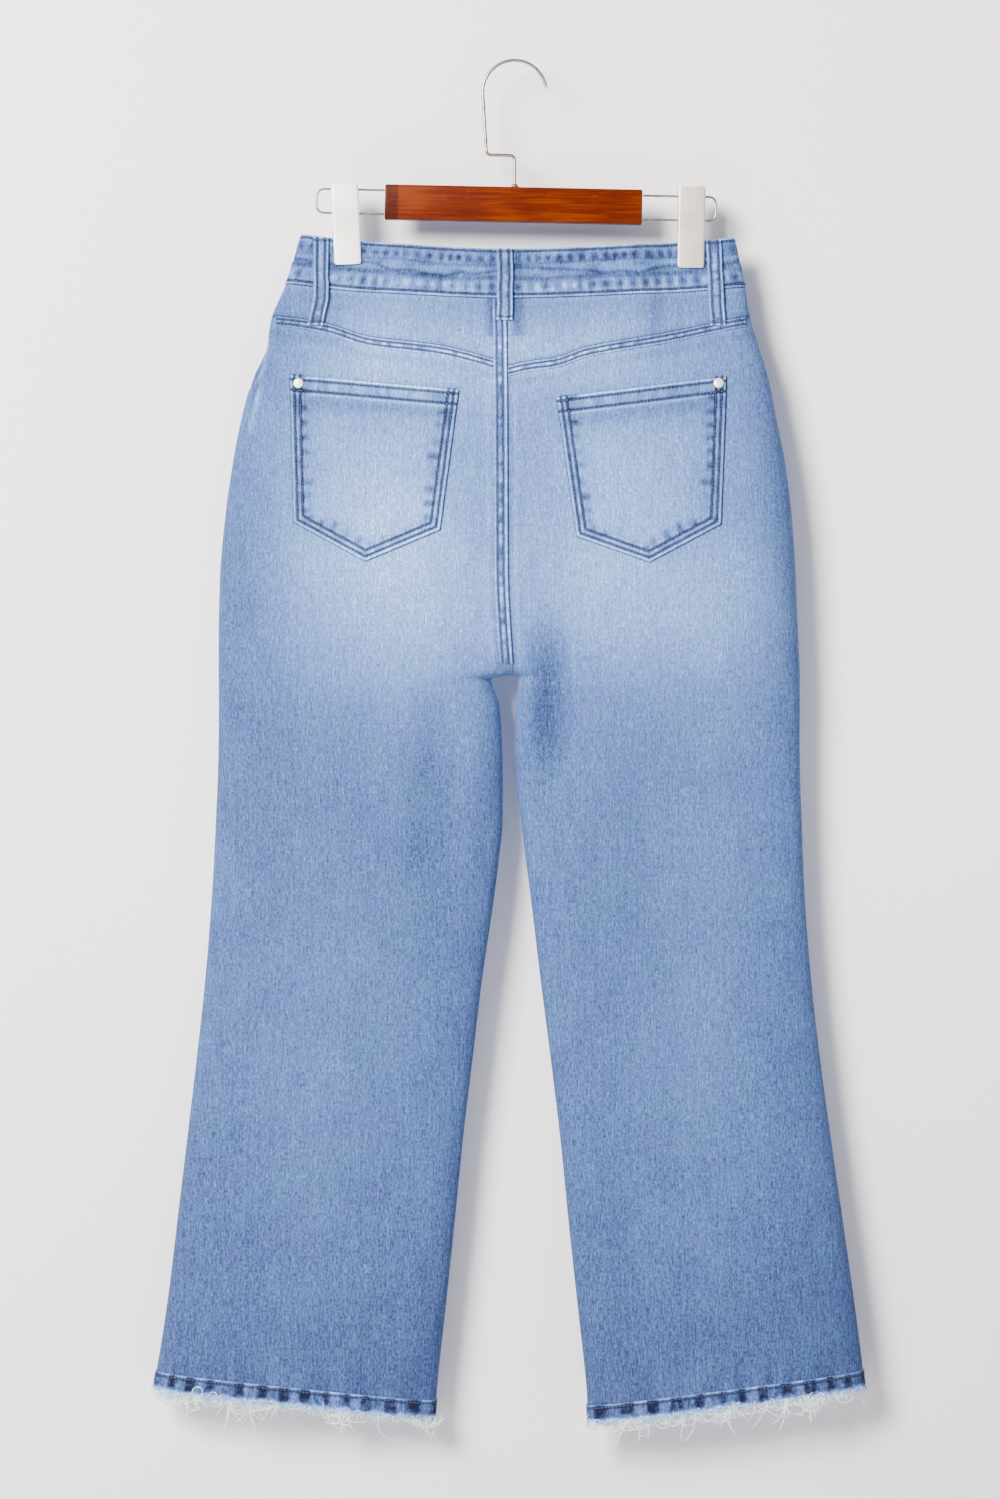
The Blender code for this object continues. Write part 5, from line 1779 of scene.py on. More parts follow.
def hem_ring(form: Form, side: Side, down: float, lift: Array | float) -> Array:
    """Points right round a leg at a depth below its cut edge, stood out by a lift."""
    shares = fold_shares(turns=14, spans=149, most=0.13)
    back = form.point(side, Face.BACK, shares, form.hem_edge(side, shares) + down)
    shares = shares[1:-1][::-1]
    front = form.point(side, Face.FRONT, shares, form.hem_edge(side, shares) + down)
    ring = np.concatenate([back, front])
    along = np.roll(ring, -1, axis=0) - np.roll(ring, 1, axis=0)
    outward = np.stack([along[:, 1], -along[:, 0], np.zeros(len(ring))], axis=-1) * -side
    outward /= np.linalg.norm(outward, axis=-1, keepdims=True)
    return ring + outward * np.broadcast_to(np.asarray(lift, float), (len(ring),))[:, None]


@dataclass
class Hems(Dressing):
    """The narrow bands at the legs' ends, let down so that their lower edge frays."""

    cloth: float = SEAM_CLOTH
    rows: int = 18
    dark_pitch: float = 19.0
    stitch_row: float = 2.6

    def build(self) -> None:
        """Makes both bands."""
        for side in Side:
            node = f"hem_{side.word}"
            rests_on = [f"back_leg_{side.word}_denim", f"front_leg_{side.word}_denim"]
            self.add(self._hem(side, node), Slot.SEAM, node, rests_on)

    def _hem(self, side: Side, node: str) -> Sheet:
        """One band, with its puckers and its deep blue patches."""
        form = self.form
        downs = np.linspace(-HEM_HEIGHT, -SEAM_GAP, self.rows)
        base = hem_ring(form, side, 0.0, 0.0)
        arc = np.linalg.norm(np.roll(base, -1, axis=0) - base, axis=-1).cumsum()
        arc = np.concatenate([[0.0], arc])
        b = (downs + HEM_HEIGHT)[:, None]
        a = arc[None, :-1]
        pull = uneven(a, 4.5, 131 + side)
        patch_share = smooth((knots(a, self.dark_pitch, 133 + side) - 0.3) / 0.5)
        relief = 0.3 * hump(b - 0.8, 0.8) - 0.3 * hump(b - self.stitch_row, 0.8)
        relief = relief + 0.25 * pull * hump(b - 7, 4) - 0.3 * (b < 0.01)
        tone = 0.30 * hump(b - 0.8, 1.1) * (1 - 0.7 * patch_share)
        tone = tone - 0.34 * hump(b - self.stitch_row - 0.1, 1.0)
        low = 9.0 + 2.5 * uneven(a, 9.0, 135 + side)
        dark = patch_share * smooth((b + 0.5) / 3.0) * (1 - smooth((b - low) / 5))
        dark = dark * (1 + 0.5 * blotches(a, b, (3.4, 2.2), 137 + side))
        tone = tone - 0.34 * dark + 0.10 * pull + 0.10 * blotches(a, b, (2.6, 1.8), 141 + side)
        tone = tone + 0.36 * smooth((b - 10.5 - 1.6 * pull) / 3.5) + 0.06
        inner = np.stack([hem_ring(form, side, down, REST_GAP) for down in downs])
        outer = np.stack(
            [
                hem_ring(form, side, down, REST_GAP + self.cloth + lift)
                for down, lift in zip(downs, relief)
            ]
        )
        ragged = 1.2 * uneven(a, 4.2, 139 + side) * smooth((b - 9) / 6)
        outer[..., 2] -= ragged
        inner[..., 2] -= ragged
        wash = np.stack([np.full(len(base), 0.36)] * self.rows) + tone
        flat_a, flat_b = np.meshgrid(arc, b[:, 0])
        flat = np.stack([flat_a, flat_b], axis=-1)
        return Sheet(node + "_denim", outer, inner, flat, wash, ring=True)


class StitchPath(NamedTuple):
    """A row of stitches: the piece it is sewn on, its points and the way out of the cloth."""

    on: str
    points: Array
    up: Array


def new_group(
    name: str, sizes: Sequence[str]
) -> tuple[bpy.types.NodeTree, bpy.types.bpy_prop_collection]:
    """A node group that makes a mesh from paths.

    Args:
        name: The group's name.
        sizes: The names of its inputs for sizes, beside the paths and the thread.

    Returns:
        The group, and the outputs of the node that its inputs arrive at.
    """
    group = bpy.data.node_groups.new(name, "GeometryNodeTree")
    kinds = {"Paths": "Geometry", **dict.fromkeys(sizes, "Float"), "Thread": "Material"}
    for label, kind in kinds.items():
        group.interface.new_socket(label, in_out="INPUT", socket_type="NodeSocket" + kind)
    group.interface.new_socket("Mesh", in_out="OUTPUT", socket_type="NodeSocketGeometry")
    return group, add_node(group, "NodeGroupInput").outputs


def end_group(group: bpy.types.NodeTree, shape: bpy.types.Node, thread: object) -> None:
    """Ends a group with real geometry that has its material."""
    real = add_node(group, "GeometryNodeRealizeInstances", {0: shape.outputs[0]})
    values = {"Geometry": real.outputs[0], "Material": thread}
    done = add_node(group, "GeometryNodeSetMaterial", values)
    add_node(group, "NodeGroupOutput", {0: done.outputs[0]})


def run_nodes(
    made: bpy.types.Object, group: bpy.types.NodeTree, values: dict[str, object]
) -> bpy.types.Object:
    """Runs a geometry node group on an object and keeps only the mesh that it makes.

    Args:
        made: The object that carries the paths.
        group: The node group.
        values: A value for each named input.

    Returns:
        The same object with its new mesh.
    """
    modifier = made.modifiers.new("pattern", "NODES")
    modifier.node_group = group
    sockets = {
        item.name: item.identifier
        for item in group.interface.items_tree
        if item.item_type == "SOCKET" and item.in_out == "INPUT"
    }
    for name, value in values.items():
        modifier[sockets[name]] = value
    evaluated = made.evaluated_get(bpy.context.evaluated_depsgraph_get())
    mesh = bpy.data.meshes.new_from_object(evaluated)
    made.modifiers.remove(modifier)
    made.data = mesh
    mesh.name = made.name
    mesh.shade_smooth()
    return made


def path_object(
    name: str, paths: Sequence[Array], values: dict[str, tuple[str, Sequence[Array]]]
) -> bpy.types.Object:
    """Lays polylines into one object, with an attribute or two at their points.

    Args:
        name: The object's name.
        paths: The points of each line in millimetres.
        values: By name, an attribute's type and its values for each line.

    Returns:
        The object.
    """
    points = np.concatenate(paths)
    edges, start = [], 0
    for path in paths:
        edges += [(start + i, start + i + 1) for i in range(len(path) - 1)]
        start += len(path)
    mesh = bpy.data.meshes.new(name)
    mesh.from_pydata(((points + np.array([CENTRE_BACK, 0, 0])) * MM).tolist(), edges, [])
    for key, (kind, rows) in values.items():
        layer = mesh.attributes.new(key, kind, "POINT")
        flat = np.concatenate(rows).astype(np.float32).ravel()
        layer.data.foreach_set("vector" if kind == "FLOAT_VECTOR" else "value", flat)
    made = bpy.data.objects.new(name, mesh)
    bpy.context.scene.collection.objects.link(made)
    return made


@dataclass(frozen=True)
class Lockstitch:
    """The stitch of a jeans needle thread: a short arched bar, pulled in at both ends.

    Each is a bent tube of three spans and five sides, laid by Geometry Nodes at an
    even pitch. The pitch is that of real stitches, 2.8 to 3.2 mm. A real thread is 0.5 mm
    thick; it is drawn 0.95 mm, so that it shows where the whole garment is seen.
    """

    pitch: float = 3.1
    length: float = 2.3
    thickness: float = 0.95
    arch: float = 0.5
    sway: float = 0.09

    def nodes(self) -> bpy.types.NodeTree:
        """The node group that sews along every path of an object."""
        sizes = ("Pitch", "Length", "Thickness", "Arch", "Sway")
        group, given = new_group("lockstitch", sizes)

        def times(name: str, factor: float) -> bpy.types.NodeSocket:
            """One of the sizes times a factor."""
            values = {0: given[name], 1: factor}
            return add_node(group, "ShaderNodeMath", values, operation="MULTIPLY").outputs[0]

        curve = add_node(group, "GeometryNodeMeshToCurve", {"Mesh": given["Paths"]})
        even = add_node(
            group,
            "GeometryNodeResampleCurve",
            {"Curve": curve.outputs[0], "Length": given["Pitch"]},
            mode="LENGTH",
        )
        up = add_node(
            group, "GeometryNodeInputNamedAttribute", {"Name": "up"}, data_type="FLOAT_VECTOR"
        )
        tangent = add_node(group, "GeometryNodeInputTangent")
        along = add_node(
            group, "FunctionNodeAlignRotationToVector", {"Vector": tangent.outputs[0]}, axis="X"
        )
        upright = add_node(
            group,
            "FunctionNodeAlignRotationToVector",
            {"Rotation": along.outputs[0], "Vector": up.outputs[0]},
            axis="Z",
            pivot_axis="X",
        )
        under = times("Arch", -1.0)
        start = add_node(group, "ShaderNodeCombineXYZ", {0: times("Length", -0.5), 2: under})
        top = add_node(group, "ShaderNodeCombineXYZ", {2: times("Arch", 2.0)})
        stop = add_node(group, "ShaderNodeCombineXYZ", {0: times("Length", 0.5), 2: under})
        bar = add_node(
            group,
            "GeometryNodeCurveQuadraticBezier",
            {0: 3, 1: start.outputs[0], 2: top.outputs[0], 3: stop.outputs[0]},
        )
        values = {"Resolution": 5, "Radius": times("Thickness", 0.5)}
        round_ = add_node(group, "GeometryNodeCurvePrimitiveCircle", values)
        thread = add_node(
            group,
            "GeometryNodeCurveToMesh",
            {"Curve": bar.outputs[0], "Profile Curve": round_.outputs[0], "Fill Caps": True},
        )
        laid = add_node(
            group,
            "GeometryNodeInstanceOnPoints",
            {
                "Points": even.outputs[0],
                "Instance": thread.outputs[0],
                "Rotation": upright.outputs[0],
            },
        )
        values = {2: times("Sway", -1.0), 3: given["Sway"], "Seed": 5}
        turn = add_node(group, "FunctionNodeRandomValue", values)
        turn = add_node(group, "ShaderNodeCombineXYZ", {2: turn.outputs[1]})
        swayed = add_node(
            group,
            "GeometryNodeRotateInstances",
            {"Instances": laid.outputs[0], "Rotation": turn.outputs[0]},
        )
        end_group(group, swayed, given["Thread"])
        return group


@dataclass(frozen=True)
class LooseThread:
    """Frayed cotton: three-sided threads that thin out towards their ends."""

    sides: int = 3

    def nodes(self) -> bpy.types.NodeTree:
        """The node group that spins a thread along every path of an object."""
        group, given = new_group("loose_thread", ())
        curve = add_node(group, "GeometryNodeMeshToCurve", {"Mesh": given["Paths"]})
        thick = add_node(
            group, "GeometryNodeInputNamedAttribute", {"Name": "thickness"}, data_type="FLOAT"
        )
        round_ = add_node(
            group, "GeometryNodeCurvePrimitiveCircle", {"Resolution": self.sides, "Radius": 0.5}
        )
        spun = add_node(
            group,
            "GeometryNodeCurveToMesh",
            {
                "Curve": curve.outputs[0],
                "Profile Curve": round_.outputs[0],
                "Scale": thick.outputs[0],
                "Fill Caps": True,
            },
        )
        end_group(group, spun, given["Thread"])
        return group


@dataclass
class Sewing:
    """All rows of stitches, grouped by the piece that they are sewn on."""

    form: Form
    thread: bpy.types.Material
    cuts: dict[str, CutSheet]
    kind: Lockstitch = field(default_factory=Lockstitch)
    proud: float = 0.16
    bedded: float = 0.3
    centre_back_rows: tuple[float, float] = (-8.0, -3.2)
    centre_back_top: float = 201.0
    centre_front_rows: tuple[float, float] = (1.2, 4.0)
    centre_front_top: float = 373.0
    yoke_rows: tuple[float, float] = (1.7, 5.6)
    fly_rows: tuple[float, float] = (2.4, 8.6)
    mouth_rows: tuple[float, float] = (2.2, 8.0)
    hem_row: float = 2.6

    def build(self, waist: Waist, legs: Legs, pockets: BackPockets, front: Front) -> None:
        """Sews every row.

        Args:
            waist: The waistband and its loops.
            legs: The panels with the pocket mouths.
            pockets: The back pockets.
            front: The fly's placket.
        """
        group = self.kind.nodes()
        rows = [
            *self._waistband(waist),
            *self._loops(waist),
            *self._centre_seams(),
            *self._yoke_seams(),
            *self._pockets(pockets),
            *self._fly(front),
            *self._mouths(legs),
            *self._hems(),
        ]
        values = {
            "Pitch": self.kind.pitch * MM,
            "Length": self.kind.length * MM,
            "Thickness": self.kind.thickness * MM,
            "Arch": self.kind.arch * MM,
            "Sway": self.kind.sway,
            "Thread": self.thread,
        }
        for on in dict.fromkeys(row.on for row in rows):
            paths = [row for row in rows if row.on == on]
            made = path_object(
                "stitches_" + on.removesuffix("_denim"),
                [path.points for path in paths],
                {"up": ("FLOAT_VECTOR", [path.up for path in paths])},
            )
            run_nodes(made, group, values)
            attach(made, BODY)
            self.cuts[on].trim.append(made)
            log.info("%s: %d faces", made.name, len(made.data.polygons))

    def _lay(self, on: str, face: Face, x: Array, drop: Array, lift: Array | float) -> StitchPath:
        """A row on a piece, at a lift above the panel under it."""
        wide = np.stack([x - 0.5, x, x + 0.5])
        base = self.form.at(face, wide, np.broadcast_to(drop, wide.shape))
        higher = self.form.at(face, x, drop + 0.5) - self.form.at(face, x, drop - 0.5)
        up = np.cross(base[2] - base[0], higher)
        up /= np.linalg.norm(up, axis=-1, keepdims=True)
        up *= np.where(up[:, 1:2] * face < 0, -1, 1)
        lift = np.broadcast_to(np.asarray(lift, float), x.shape)[:, None] + self.proud
        return StitchPath(on, base[1] + up * lift, up)

    def _waistband(self, waist: Waist) -> list[StitchPath]:
        """Both edges of the waistband, front and back."""
        rows = []
        fold = folded(np.linspace(4, 90, 12)[:-1])
        shares = np.concatenate([fold[fold < 0.2], np.linspace(0.2, 1.0, 40)])
        for down in waist.stitch_rows:
            for side in Side:
                for face in Face:
                    s = shares
                    if face is Face.FRONT and side is Side.LEFT:
                        s = shares[shares < 0.78]
                    drop = self.form.waist_edge(side, face, s, down)
                    points = self.form.point(side, face, s, drop)
                    ahead = np.gradient(points, axis=0)
                    up = np.cross(ahead, np.array([0.0, 0.0, 1.0]))
                    up /= np.linalg.norm(up, axis=-1, keepdims=True)
                    up *= np.where((up[:, 1] * face).sum() < 0, -1, 1)
                    points = points + up * (0.6 + self.proud)
                    rows.append(StitchPath("waistband_denim", points, up))
        return rows

    def _loops(self, waist: Waist) -> list[StitchPath]:
        """Two rows down each belt loop, and a bar across both its ends."""
        rows = []
        for name, loop in LOOPS.items():
            middle, drop, lift = waist.loop_line(loop, np.linspace(0.03, 0.97, 30))
            lift = lift + waist.loop_cloth - self.bedded
            for aside in (-waist.loop_row, waist.loop_row):
                rows.append(self._lay(name + "_denim", loop.face, middle + aside, drop, lift))
            for end, height in ((0, lift[0]), (-1, lift[-1])):
                x, level = middle[end] + np.linspace(-5, 5, 5), np.full(5, drop[end])
                rows.append(self._lay(name + "_denim", loop.face, x, level, height))
        return rows

    def _centre_seams(self) -> list[StitchPath]:
        """Two rows down each felled centre seam."""
        rows = []
        lift = REST_GAP + SEAM_CLOTH - self.bedded
        runs = (
            (Face.BACK, self.centre_back_rows, self.centre_back_top),
            (Face.FRONT, self.centre_front_rows, self.centre_front_top),
        )
        for face, sides, start in runs:
            on = f"seam_centre_{face.word}_denim"
            for aside in sides:
                drop = np.linspace(start, CROTCH - SEAT_TURN / 2 - 1, 90)
                x = self.form.centre_x(face, drop) + aside
                rows.append(self._lay(on, face, x, drop, lift))
        return rows

    def _yoke_seams(self) -> list[StitchPath]:
        """Two rows along each yoke seam."""
        rows = []
        for side in Side:
            on = f"seam_yoke_{side.word}_denim"
            last = 0.94 if side is Side.LEFT else 0.985
            for down in self.yoke_rows:
                s = np.linspace(0.03, last, 70)
                edge = self.form.yoke_edge(side, s)
                x = mix(self.form.side_x(side, edge), self.form.centre_x(Face.BACK, edge), s)
                rows.append(self._lay(on, Face.BACK, x, edge + down, REST_GAP + 0.75))
        return rows

    def _pockets(self, pockets: BackPockets) -> list[StitchPath]:
        """Two rows round each back pocket, two along its hem and bars at the corners."""
        rows = []
        lift = REST_GAP + pockets.lift + pockets.cloth - 0.28
        for side in Side:
            corners, on = POCKETS[side], f"back_pocket_{side.word}_denim"
            for inset in pockets.rows:
                start = 0.6 if inset == pockets.rows[0] else 1.0
                path = inset_path(corners, inset, start, side)
                rows.append(self._lay(on, Face.BACK, path[:, 0], path[:, 1], lift))
            for down in (pockets.rows[0], pockets.hem - 1.0):
                run = np.linspace(0.015, 0.985, 40)
                x = mix(corners.outer_top.x, corners.inner_top.x, run)
                drop = mix(corners.outer_top.drop, corners.inner_top.drop, run) + down
                x = mix(x.mean(), x, 1 - 0.03 * down / pockets.hem)
                rows.append(self._lay(on, Face.BACK, x, drop, lift))
        return rows

    def _fly(self, front: Front) -> list[StitchPath]:
        """The two curved rows that hold the placket."""
        rows = []
        top = float(self.form.waist_line(Face.FRONT, np.zeros(1), WAISTBAND_HEIGHT)[0])
        for inset in self.fly_rows:
            wide = front.width - inset
            turn = np.radians(np.linspace(0, 90, 30))
            across = -wide * np.cos(turn)
            low = front.straight + (front.length - front.straight - inset) * np.sin(turn)
            down = np.linspace(4.0, front.straight, 30)[:-1]
            x = np.concatenate([np.full(29, -wide), across])
            drop = top + SEAM_GAP + np.concatenate([down, low])
            lift = REST_GAP + front.cloth - self.bedded
            rows.append(self._lay("fly_placket_denim", Face.FRONT, x, drop, lift))
        return rows

    def _mouths(self, legs: Legs) -> list[StitchPath]:
        """Two rows along each front pocket's scooped edge."""
        rows = []
        for side in Side:
            for below in self.mouth_rows:
                s = np.linspace(0.035, 0.47, 60)
                drop = legs.mouth_edge(side, s) + below
                x = mix(self.form.side_x(side, drop), self.form.centre_x(Face.FRONT, drop), s)
                rows.append(self._lay(f"front_leg_{side.word}_denim", Face.FRONT, x, drop, 0.0))
        return rows

    def _hems(self) -> list[StitchPath]:
        """One row round each hem."""
        rows = []
        for side in Side:
            down = -HEM_HEIGHT + self.hem_row
            points = hem_ring(self.form, side, down, REST_GAP + SEAM_CLOTH - self.bedded)
            outer = hem_ring(self.form, side, down, REST_GAP + SEAM_CLOTH + 1.0)
            up = outer - points
            up /= np.linalg.norm(up, axis=-1, keepdims=True)
            rows.append(StitchPath(f"hem_{side.word}_denim", points, up))
        return rows


def inset_path(corners: Pocket, inset: float, start: float, side: Side) -> Array:
    """A pocket's outline from top to top, moved in by an inset.

    Args:
        corners: The pocket.
        inset: How far in the path lies, in millimetres.
        start: How far below the top edge it starts and ends.
        side: Which pocket, which is the way round that the corners run.

    Returns:
        Points along it, with x and drop along the last axis.
    """
    ring = np.array(
        [
            corners.outer_top,
            corners.outer_bottom,
            corners.tip,
            corners.inner_bottom,
            corners.inner_top,
        ],
        float,
    )
    ahead = np.diff(ring, axis=0)
    ahead /= np.linalg.norm(ahead, axis=1, keepdims=True)
    inward = np.stack([ahead[:, 1], -ahead[:, 0]], axis=1) * -side
    first, last = ring[0] + inward[0] * inset, ring[-1] + inward[-1] * inset
    bends = []
    for i in range(1, 4):
        way = inward[i - 1] + inward[i]
        bends.append(ring[i] + way * inset / (1 + inward[i - 1] @ inward[i]))
    outline = np.array([first + ahead[0] * start, *bends, last - ahead[-1] * start])
    lengths = np.linalg.norm(np.diff(outline, axis=0), axis=1)
    run = np.concatenate([[0], np.cumsum(lengths)])
    where = np.union1d(np.linspace(0, run[-1], 160), run)
    return np.stack([np.interp(where, run, outline[:, 0]), np.interp(where, run, outline[:, 1])], 1)


@dataclass
class Fray:
    """What the hems' raw edges have shed: a dense short fuzz and long loose curls.

    The threads are drawn up to 1.1 mm thick where real ones are 0.3 to 0.5 mm, so that
    they show where the whole garment is seen.
    """

    form: Form
    thread: bpy.types.Material
    cuts: dict[str, CutSheet]
    kind: LooseThread = field(default_factory=LooseThread)
    fuzz: int = 2300
    curls: int = 330
    tufts: int = 130
    seed: int = 29

    def build(self) -> None:
        """Makes the fray of both legs in place of its coarse strands."""
        group = self.kind.nodes()
        for side in Side:
            paths, widths, blues = self._grow(side)
            made = path_object(
                f"fringe_{side.word}_threads",
                paths,
                {"thickness": ("FLOAT", widths), "blue": ("FLOAT", blues)},
            )
            run_nodes(made, group, {"Thread": self.thread})
            join_model(made, f"fringe_{side.word}")
            self.cuts[f"hem_{side.word}_denim"].trim.append(made)

    def _grow(self, side: Side) -> tuple[list[Array], list[Array], list[Array]]:
        """The paths of one leg's threads, their widths and how blue they have stayed."""
        chance = np.random.default_rng(self.seed + side)
        ring = hem_ring(self.form, side, 0.0, 0.0)
        outer = hem_ring(self.form, side, 0.0, 1.0)
        closed = np.concatenate([ring, ring[:1]])
        out = np.concatenate([outer - ring, (outer - ring)[:1]])
        arc = np.concatenate([[0], np.linalg.norm(np.diff(closed, axis=0), axis=1).cumsum()])
        roots = chance.uniform(0, arc[-1], self.tufts)
        vigour = chance.uniform(0.65, 1.45, self.tufts)
        leans = chance.normal(0, 0.5, self.tufts)
        paths, widths, blues = [], [], []
        for number in range(self.fuzz + self.curls):
            is_long = number >= self.fuzz
            tuft = chance.integers(self.tufts // 3 if is_long else self.tufts)
            is_stray = chance.random() < (0.2 if is_long else 0.4)
            at = (roots[tuft] + chance.normal(0, 1.0 if is_long else 2.4)) % arc[-1]
            at = chance.uniform(0, arc[-1]) if is_stray else at
            base = np.array([np.interp(at, arc, closed[:, i]) for i in range(3)])
            outward = np.array([np.interp(at, arc, out[:, i]) for i in range(3)])
            along = np.array([-outward[1], outward[0], 0.0])
            start = base + outward * chance.uniform(-1.2, 1.5)
            if is_long:
                length, count, thick = mix(9.0, 27.0, chance.random() ** 1.4), 11, (1.0, 0.5)
            else:
                start[2] += chance.uniform(0.3, 2.8)
                length = mix(2.8, 7.6, chance.random() ** 1.4) * vigour[tuft]
                count, thick = 4, (1.0, 0.4)
            lean = chance.normal(0, 0.5) if is_stray else leans[tuft] + chance.normal(0, 0.28)
            paths.append(self._curl(chance, start, along, outward, lean, length, count))
            widths.append(np.linspace(*thick, count) * chance.uniform(0.75, 1.15) * MM)
            blues.append(np.full(count, 0.3 if is_long else 1.0))
        return paths, widths, blues

    @staticmethod
    def _curl(
        chance: np.random.Generator,
        start: Array,
        along: Array,
        outward: Array,
        lean: float,
        length: float,
        count: int,
    ) -> Array:
        """A thread that hangs from its root and curls as it likes.

        Args:
            chance: The random draws.
            start: The root.
            along: The way along the hem.
            outward: The way out of the cloth.
            lean: How far it sets off aslant, in radians.
            length: How long it is.
            count: Its number of points.

        Returns:
            Its points.
        """
        bend = chance.normal(0, 0.12 if count > 4 else 0.18) * 27.0 / max(length, 9.0)
        tip = chance.normal(0, 0.35)
        step = length / (count - 1)
        points, heading = [start], lean
        for _ in range(count - 1):
            way = np.array([0.0, 0.0, -1.0]) * math.cos(heading)
            way = way + along * math.sin(heading) + outward * tip * 0.35
            points.append(points[-1] + way / np.linalg.norm(way) * step)
            heading += bend * step
            bend += chance.normal(0, 0.02)
            tip += chance.normal(0, 0.25)
        return np.array(points)


@dataclass(frozen=True)
class SatinNickel:
    """Nickel-plated steel: stamped and satin on the clips, bright drawn wire elsewhere.

    The plate is warm white, and the wire looks grey because it mirrors the whole room.
    Stamping and handling leave faint cloudy changes of gloss.
    """

    name: str
    colour: str
    worn: str
    roughness: float
    metallic: float = 1.0
    cloud_mm: float = 9.0
    grain_mm: float = 0.7

    def material(self) -> bpy.types.Material:
        """Makes the material on the piece's own coordinates."""
        material, tree, shader = new_material(self.name)
        cloud, grain = own_noise(tree, self.cloud_mm), own_noise(tree, self.grain_mm)
        ramp = add_node(tree, "ShaderNodeValToRGB", {0: cloud})
        give_colours(ramp, ((0.3, self.worn), (0.6, self.colour)))
        gloss = add_node(
            tree,
            "ShaderNodeMapRange",
            {0: cloud, 1: 0.3, 2: 0.7, 3: self.roughness + 0.07, 4: self.roughness - 0.03},
        )
        bump = add_node(
            tree, "ShaderNodeBump", {"Strength": 0.12, "Distance": 0.05 * MM, "Height": grain}
        )
        finish = {
            "Base Color": ramp.outputs[0],
            "Roughness": gloss.outputs[0],
            "Normal": bump.outputs[0],
            "Metallic": self.metallic,
        }
        set_inputs(tree, shader, finish)
        return material


@dataclass(frozen=True)
class LacqueredWood:
    """A beech bar, stained reddish brown and lacquered: long dark grain, pale flecks, and painted
    shade over its left end.
    """

    name: str = "stained lacquered wood"
    dark: str = "#420f03"
    middle: str = "#521903"
    light: str = "#632503"
    grain_mm: float = 2.2
    grain_length_mm: float = 46.0
    fleck_mm: float = 1.5
    fleck_length_mm: float = 7.0
    # Where the painted shade over the bar's left end starts and where it is full, and its
    # near-black brown
    end: tuple[float, float] = (-96.5, -99.0)
    end_stain: str = "#1a0602"

    def material(self) -> bpy.types.Material:
        """Makes the material with its grain along the bar."""
        material, tree, shader = new_material(self.name)
        where = add_node(tree, "ShaderNodeTexCoord").outputs["Object"]

        def streaks(length: float, wide: float, detail: float) -> bpy.types.NodeSocket:
            """Noise drawn out along the bar."""
            scale = (1 / (length * MM), 1 / (wide * MM), 1 / (wide * MM))
            place = add_node(tree, "ShaderNodeMapping", {"Vector": where, "Scale": scale})
            return add_node(
                tree,
                "ShaderNodeTexNoise",
                {"Vector": place.outputs[0], "Scale": 1.0, "Detail": detail, "Distortion": 0.3},
            ).outputs[0]

        grain = streaks(self.grain_length_mm, self.grain_mm, 5.0)
        fleck = streaks(self.fleck_length_mm, self.fleck_mm, 2.0)
        cloud = streaks(60.0, 30.0, 1.0)
        shade = add_node(
            tree, "ShaderNodeMath", {0: cloud, 1: 0.7, 2: grain}, operation="MULTIPLY_ADD"
        ).outputs[0]
        ramp = add_node(tree, "ShaderNodeValToRGB", {0: shade})
        give_colours(ramp, ((0.62, self.dark), (0.85, self.middle), (1.0, self.light)))
        spot = add_node(
            tree, "ShaderNodeMapRange", {0: fleck, 1: 0.62, 2: 0.74, 3: 0.0, 4: 0.35}
        ).outputs[0]
        colour = add_node(
            tree,
            "ShaderNodeMix",
            {0: spot, 6: ramp.outputs[0], 7: linear("#7a3a0c")},
            data_type="RGBA",
        ).outputs[2]
        # Painted shade over the bar's left end, mixed towards a near-black brown
        along = add_node(tree, "ShaderNodeSeparateXYZ", {0: where}).outputs[0]
        inner, outer = (x * MM for x in self.end)
        end_shaded = add_node(
            tree, "ShaderNodeMapRange", {0: along, 1: inner, 2: outer, 3: 0.0, 4: 0.6}
        ).outputs[0]
        colour = add_node(
            tree,
            "ShaderNodeMix",
            {0: end_shaded, 6: colour, 7: linear(self.end_stain)},
            data_type="RGBA",
        ).outputs[2]
        gloss = add_node(
            tree, "ShaderNodeMapRange", {0: grain, 1: 0.3, 2: 0.7, 3: 0.46, 4: 0.34}
        ).outputs[0]
        bump = add_node(
            tree, "ShaderNodeBump", {"Strength": 0.25, "Distance": 0.1 * MM, "Height": grain}
        ).outputs[0]
        finish = {
            "Base Color": colour,
            "Roughness": gloss,
            "Normal": bump,
            "Coat Weight": 0.06,
            "Coat Roughness": 0.25,
            "Specular IOR Level": 0.03,
        }
        set_inputs(tree, shader, finish)
        return material


@dataclass(frozen=True)
class NeedleThread:
    """Polyester-cotton thread, dyed slate blue and faded with the cloth."""

    name: str = "slate blue thread"
    dark: str = "#15203e"
    light: str = "#3b4a71"
    patch_mm: float = 3.0

    def material(self) -> bpy.types.Material:
        """Makes the material, each stitch a little unlike the next."""
        material, tree, shader = new_material(self.name)
        ramp = add_node(tree, "ShaderNodeValToRGB", {0: own_noise(tree, self.patch_mm)})
        give_colours(ramp, ((0.35, self.dark), (0.65, self.light)))
        set_inputs(tree, shader, {"Base Color": ramp.outputs[0], "Roughness": 0.75})
        return material


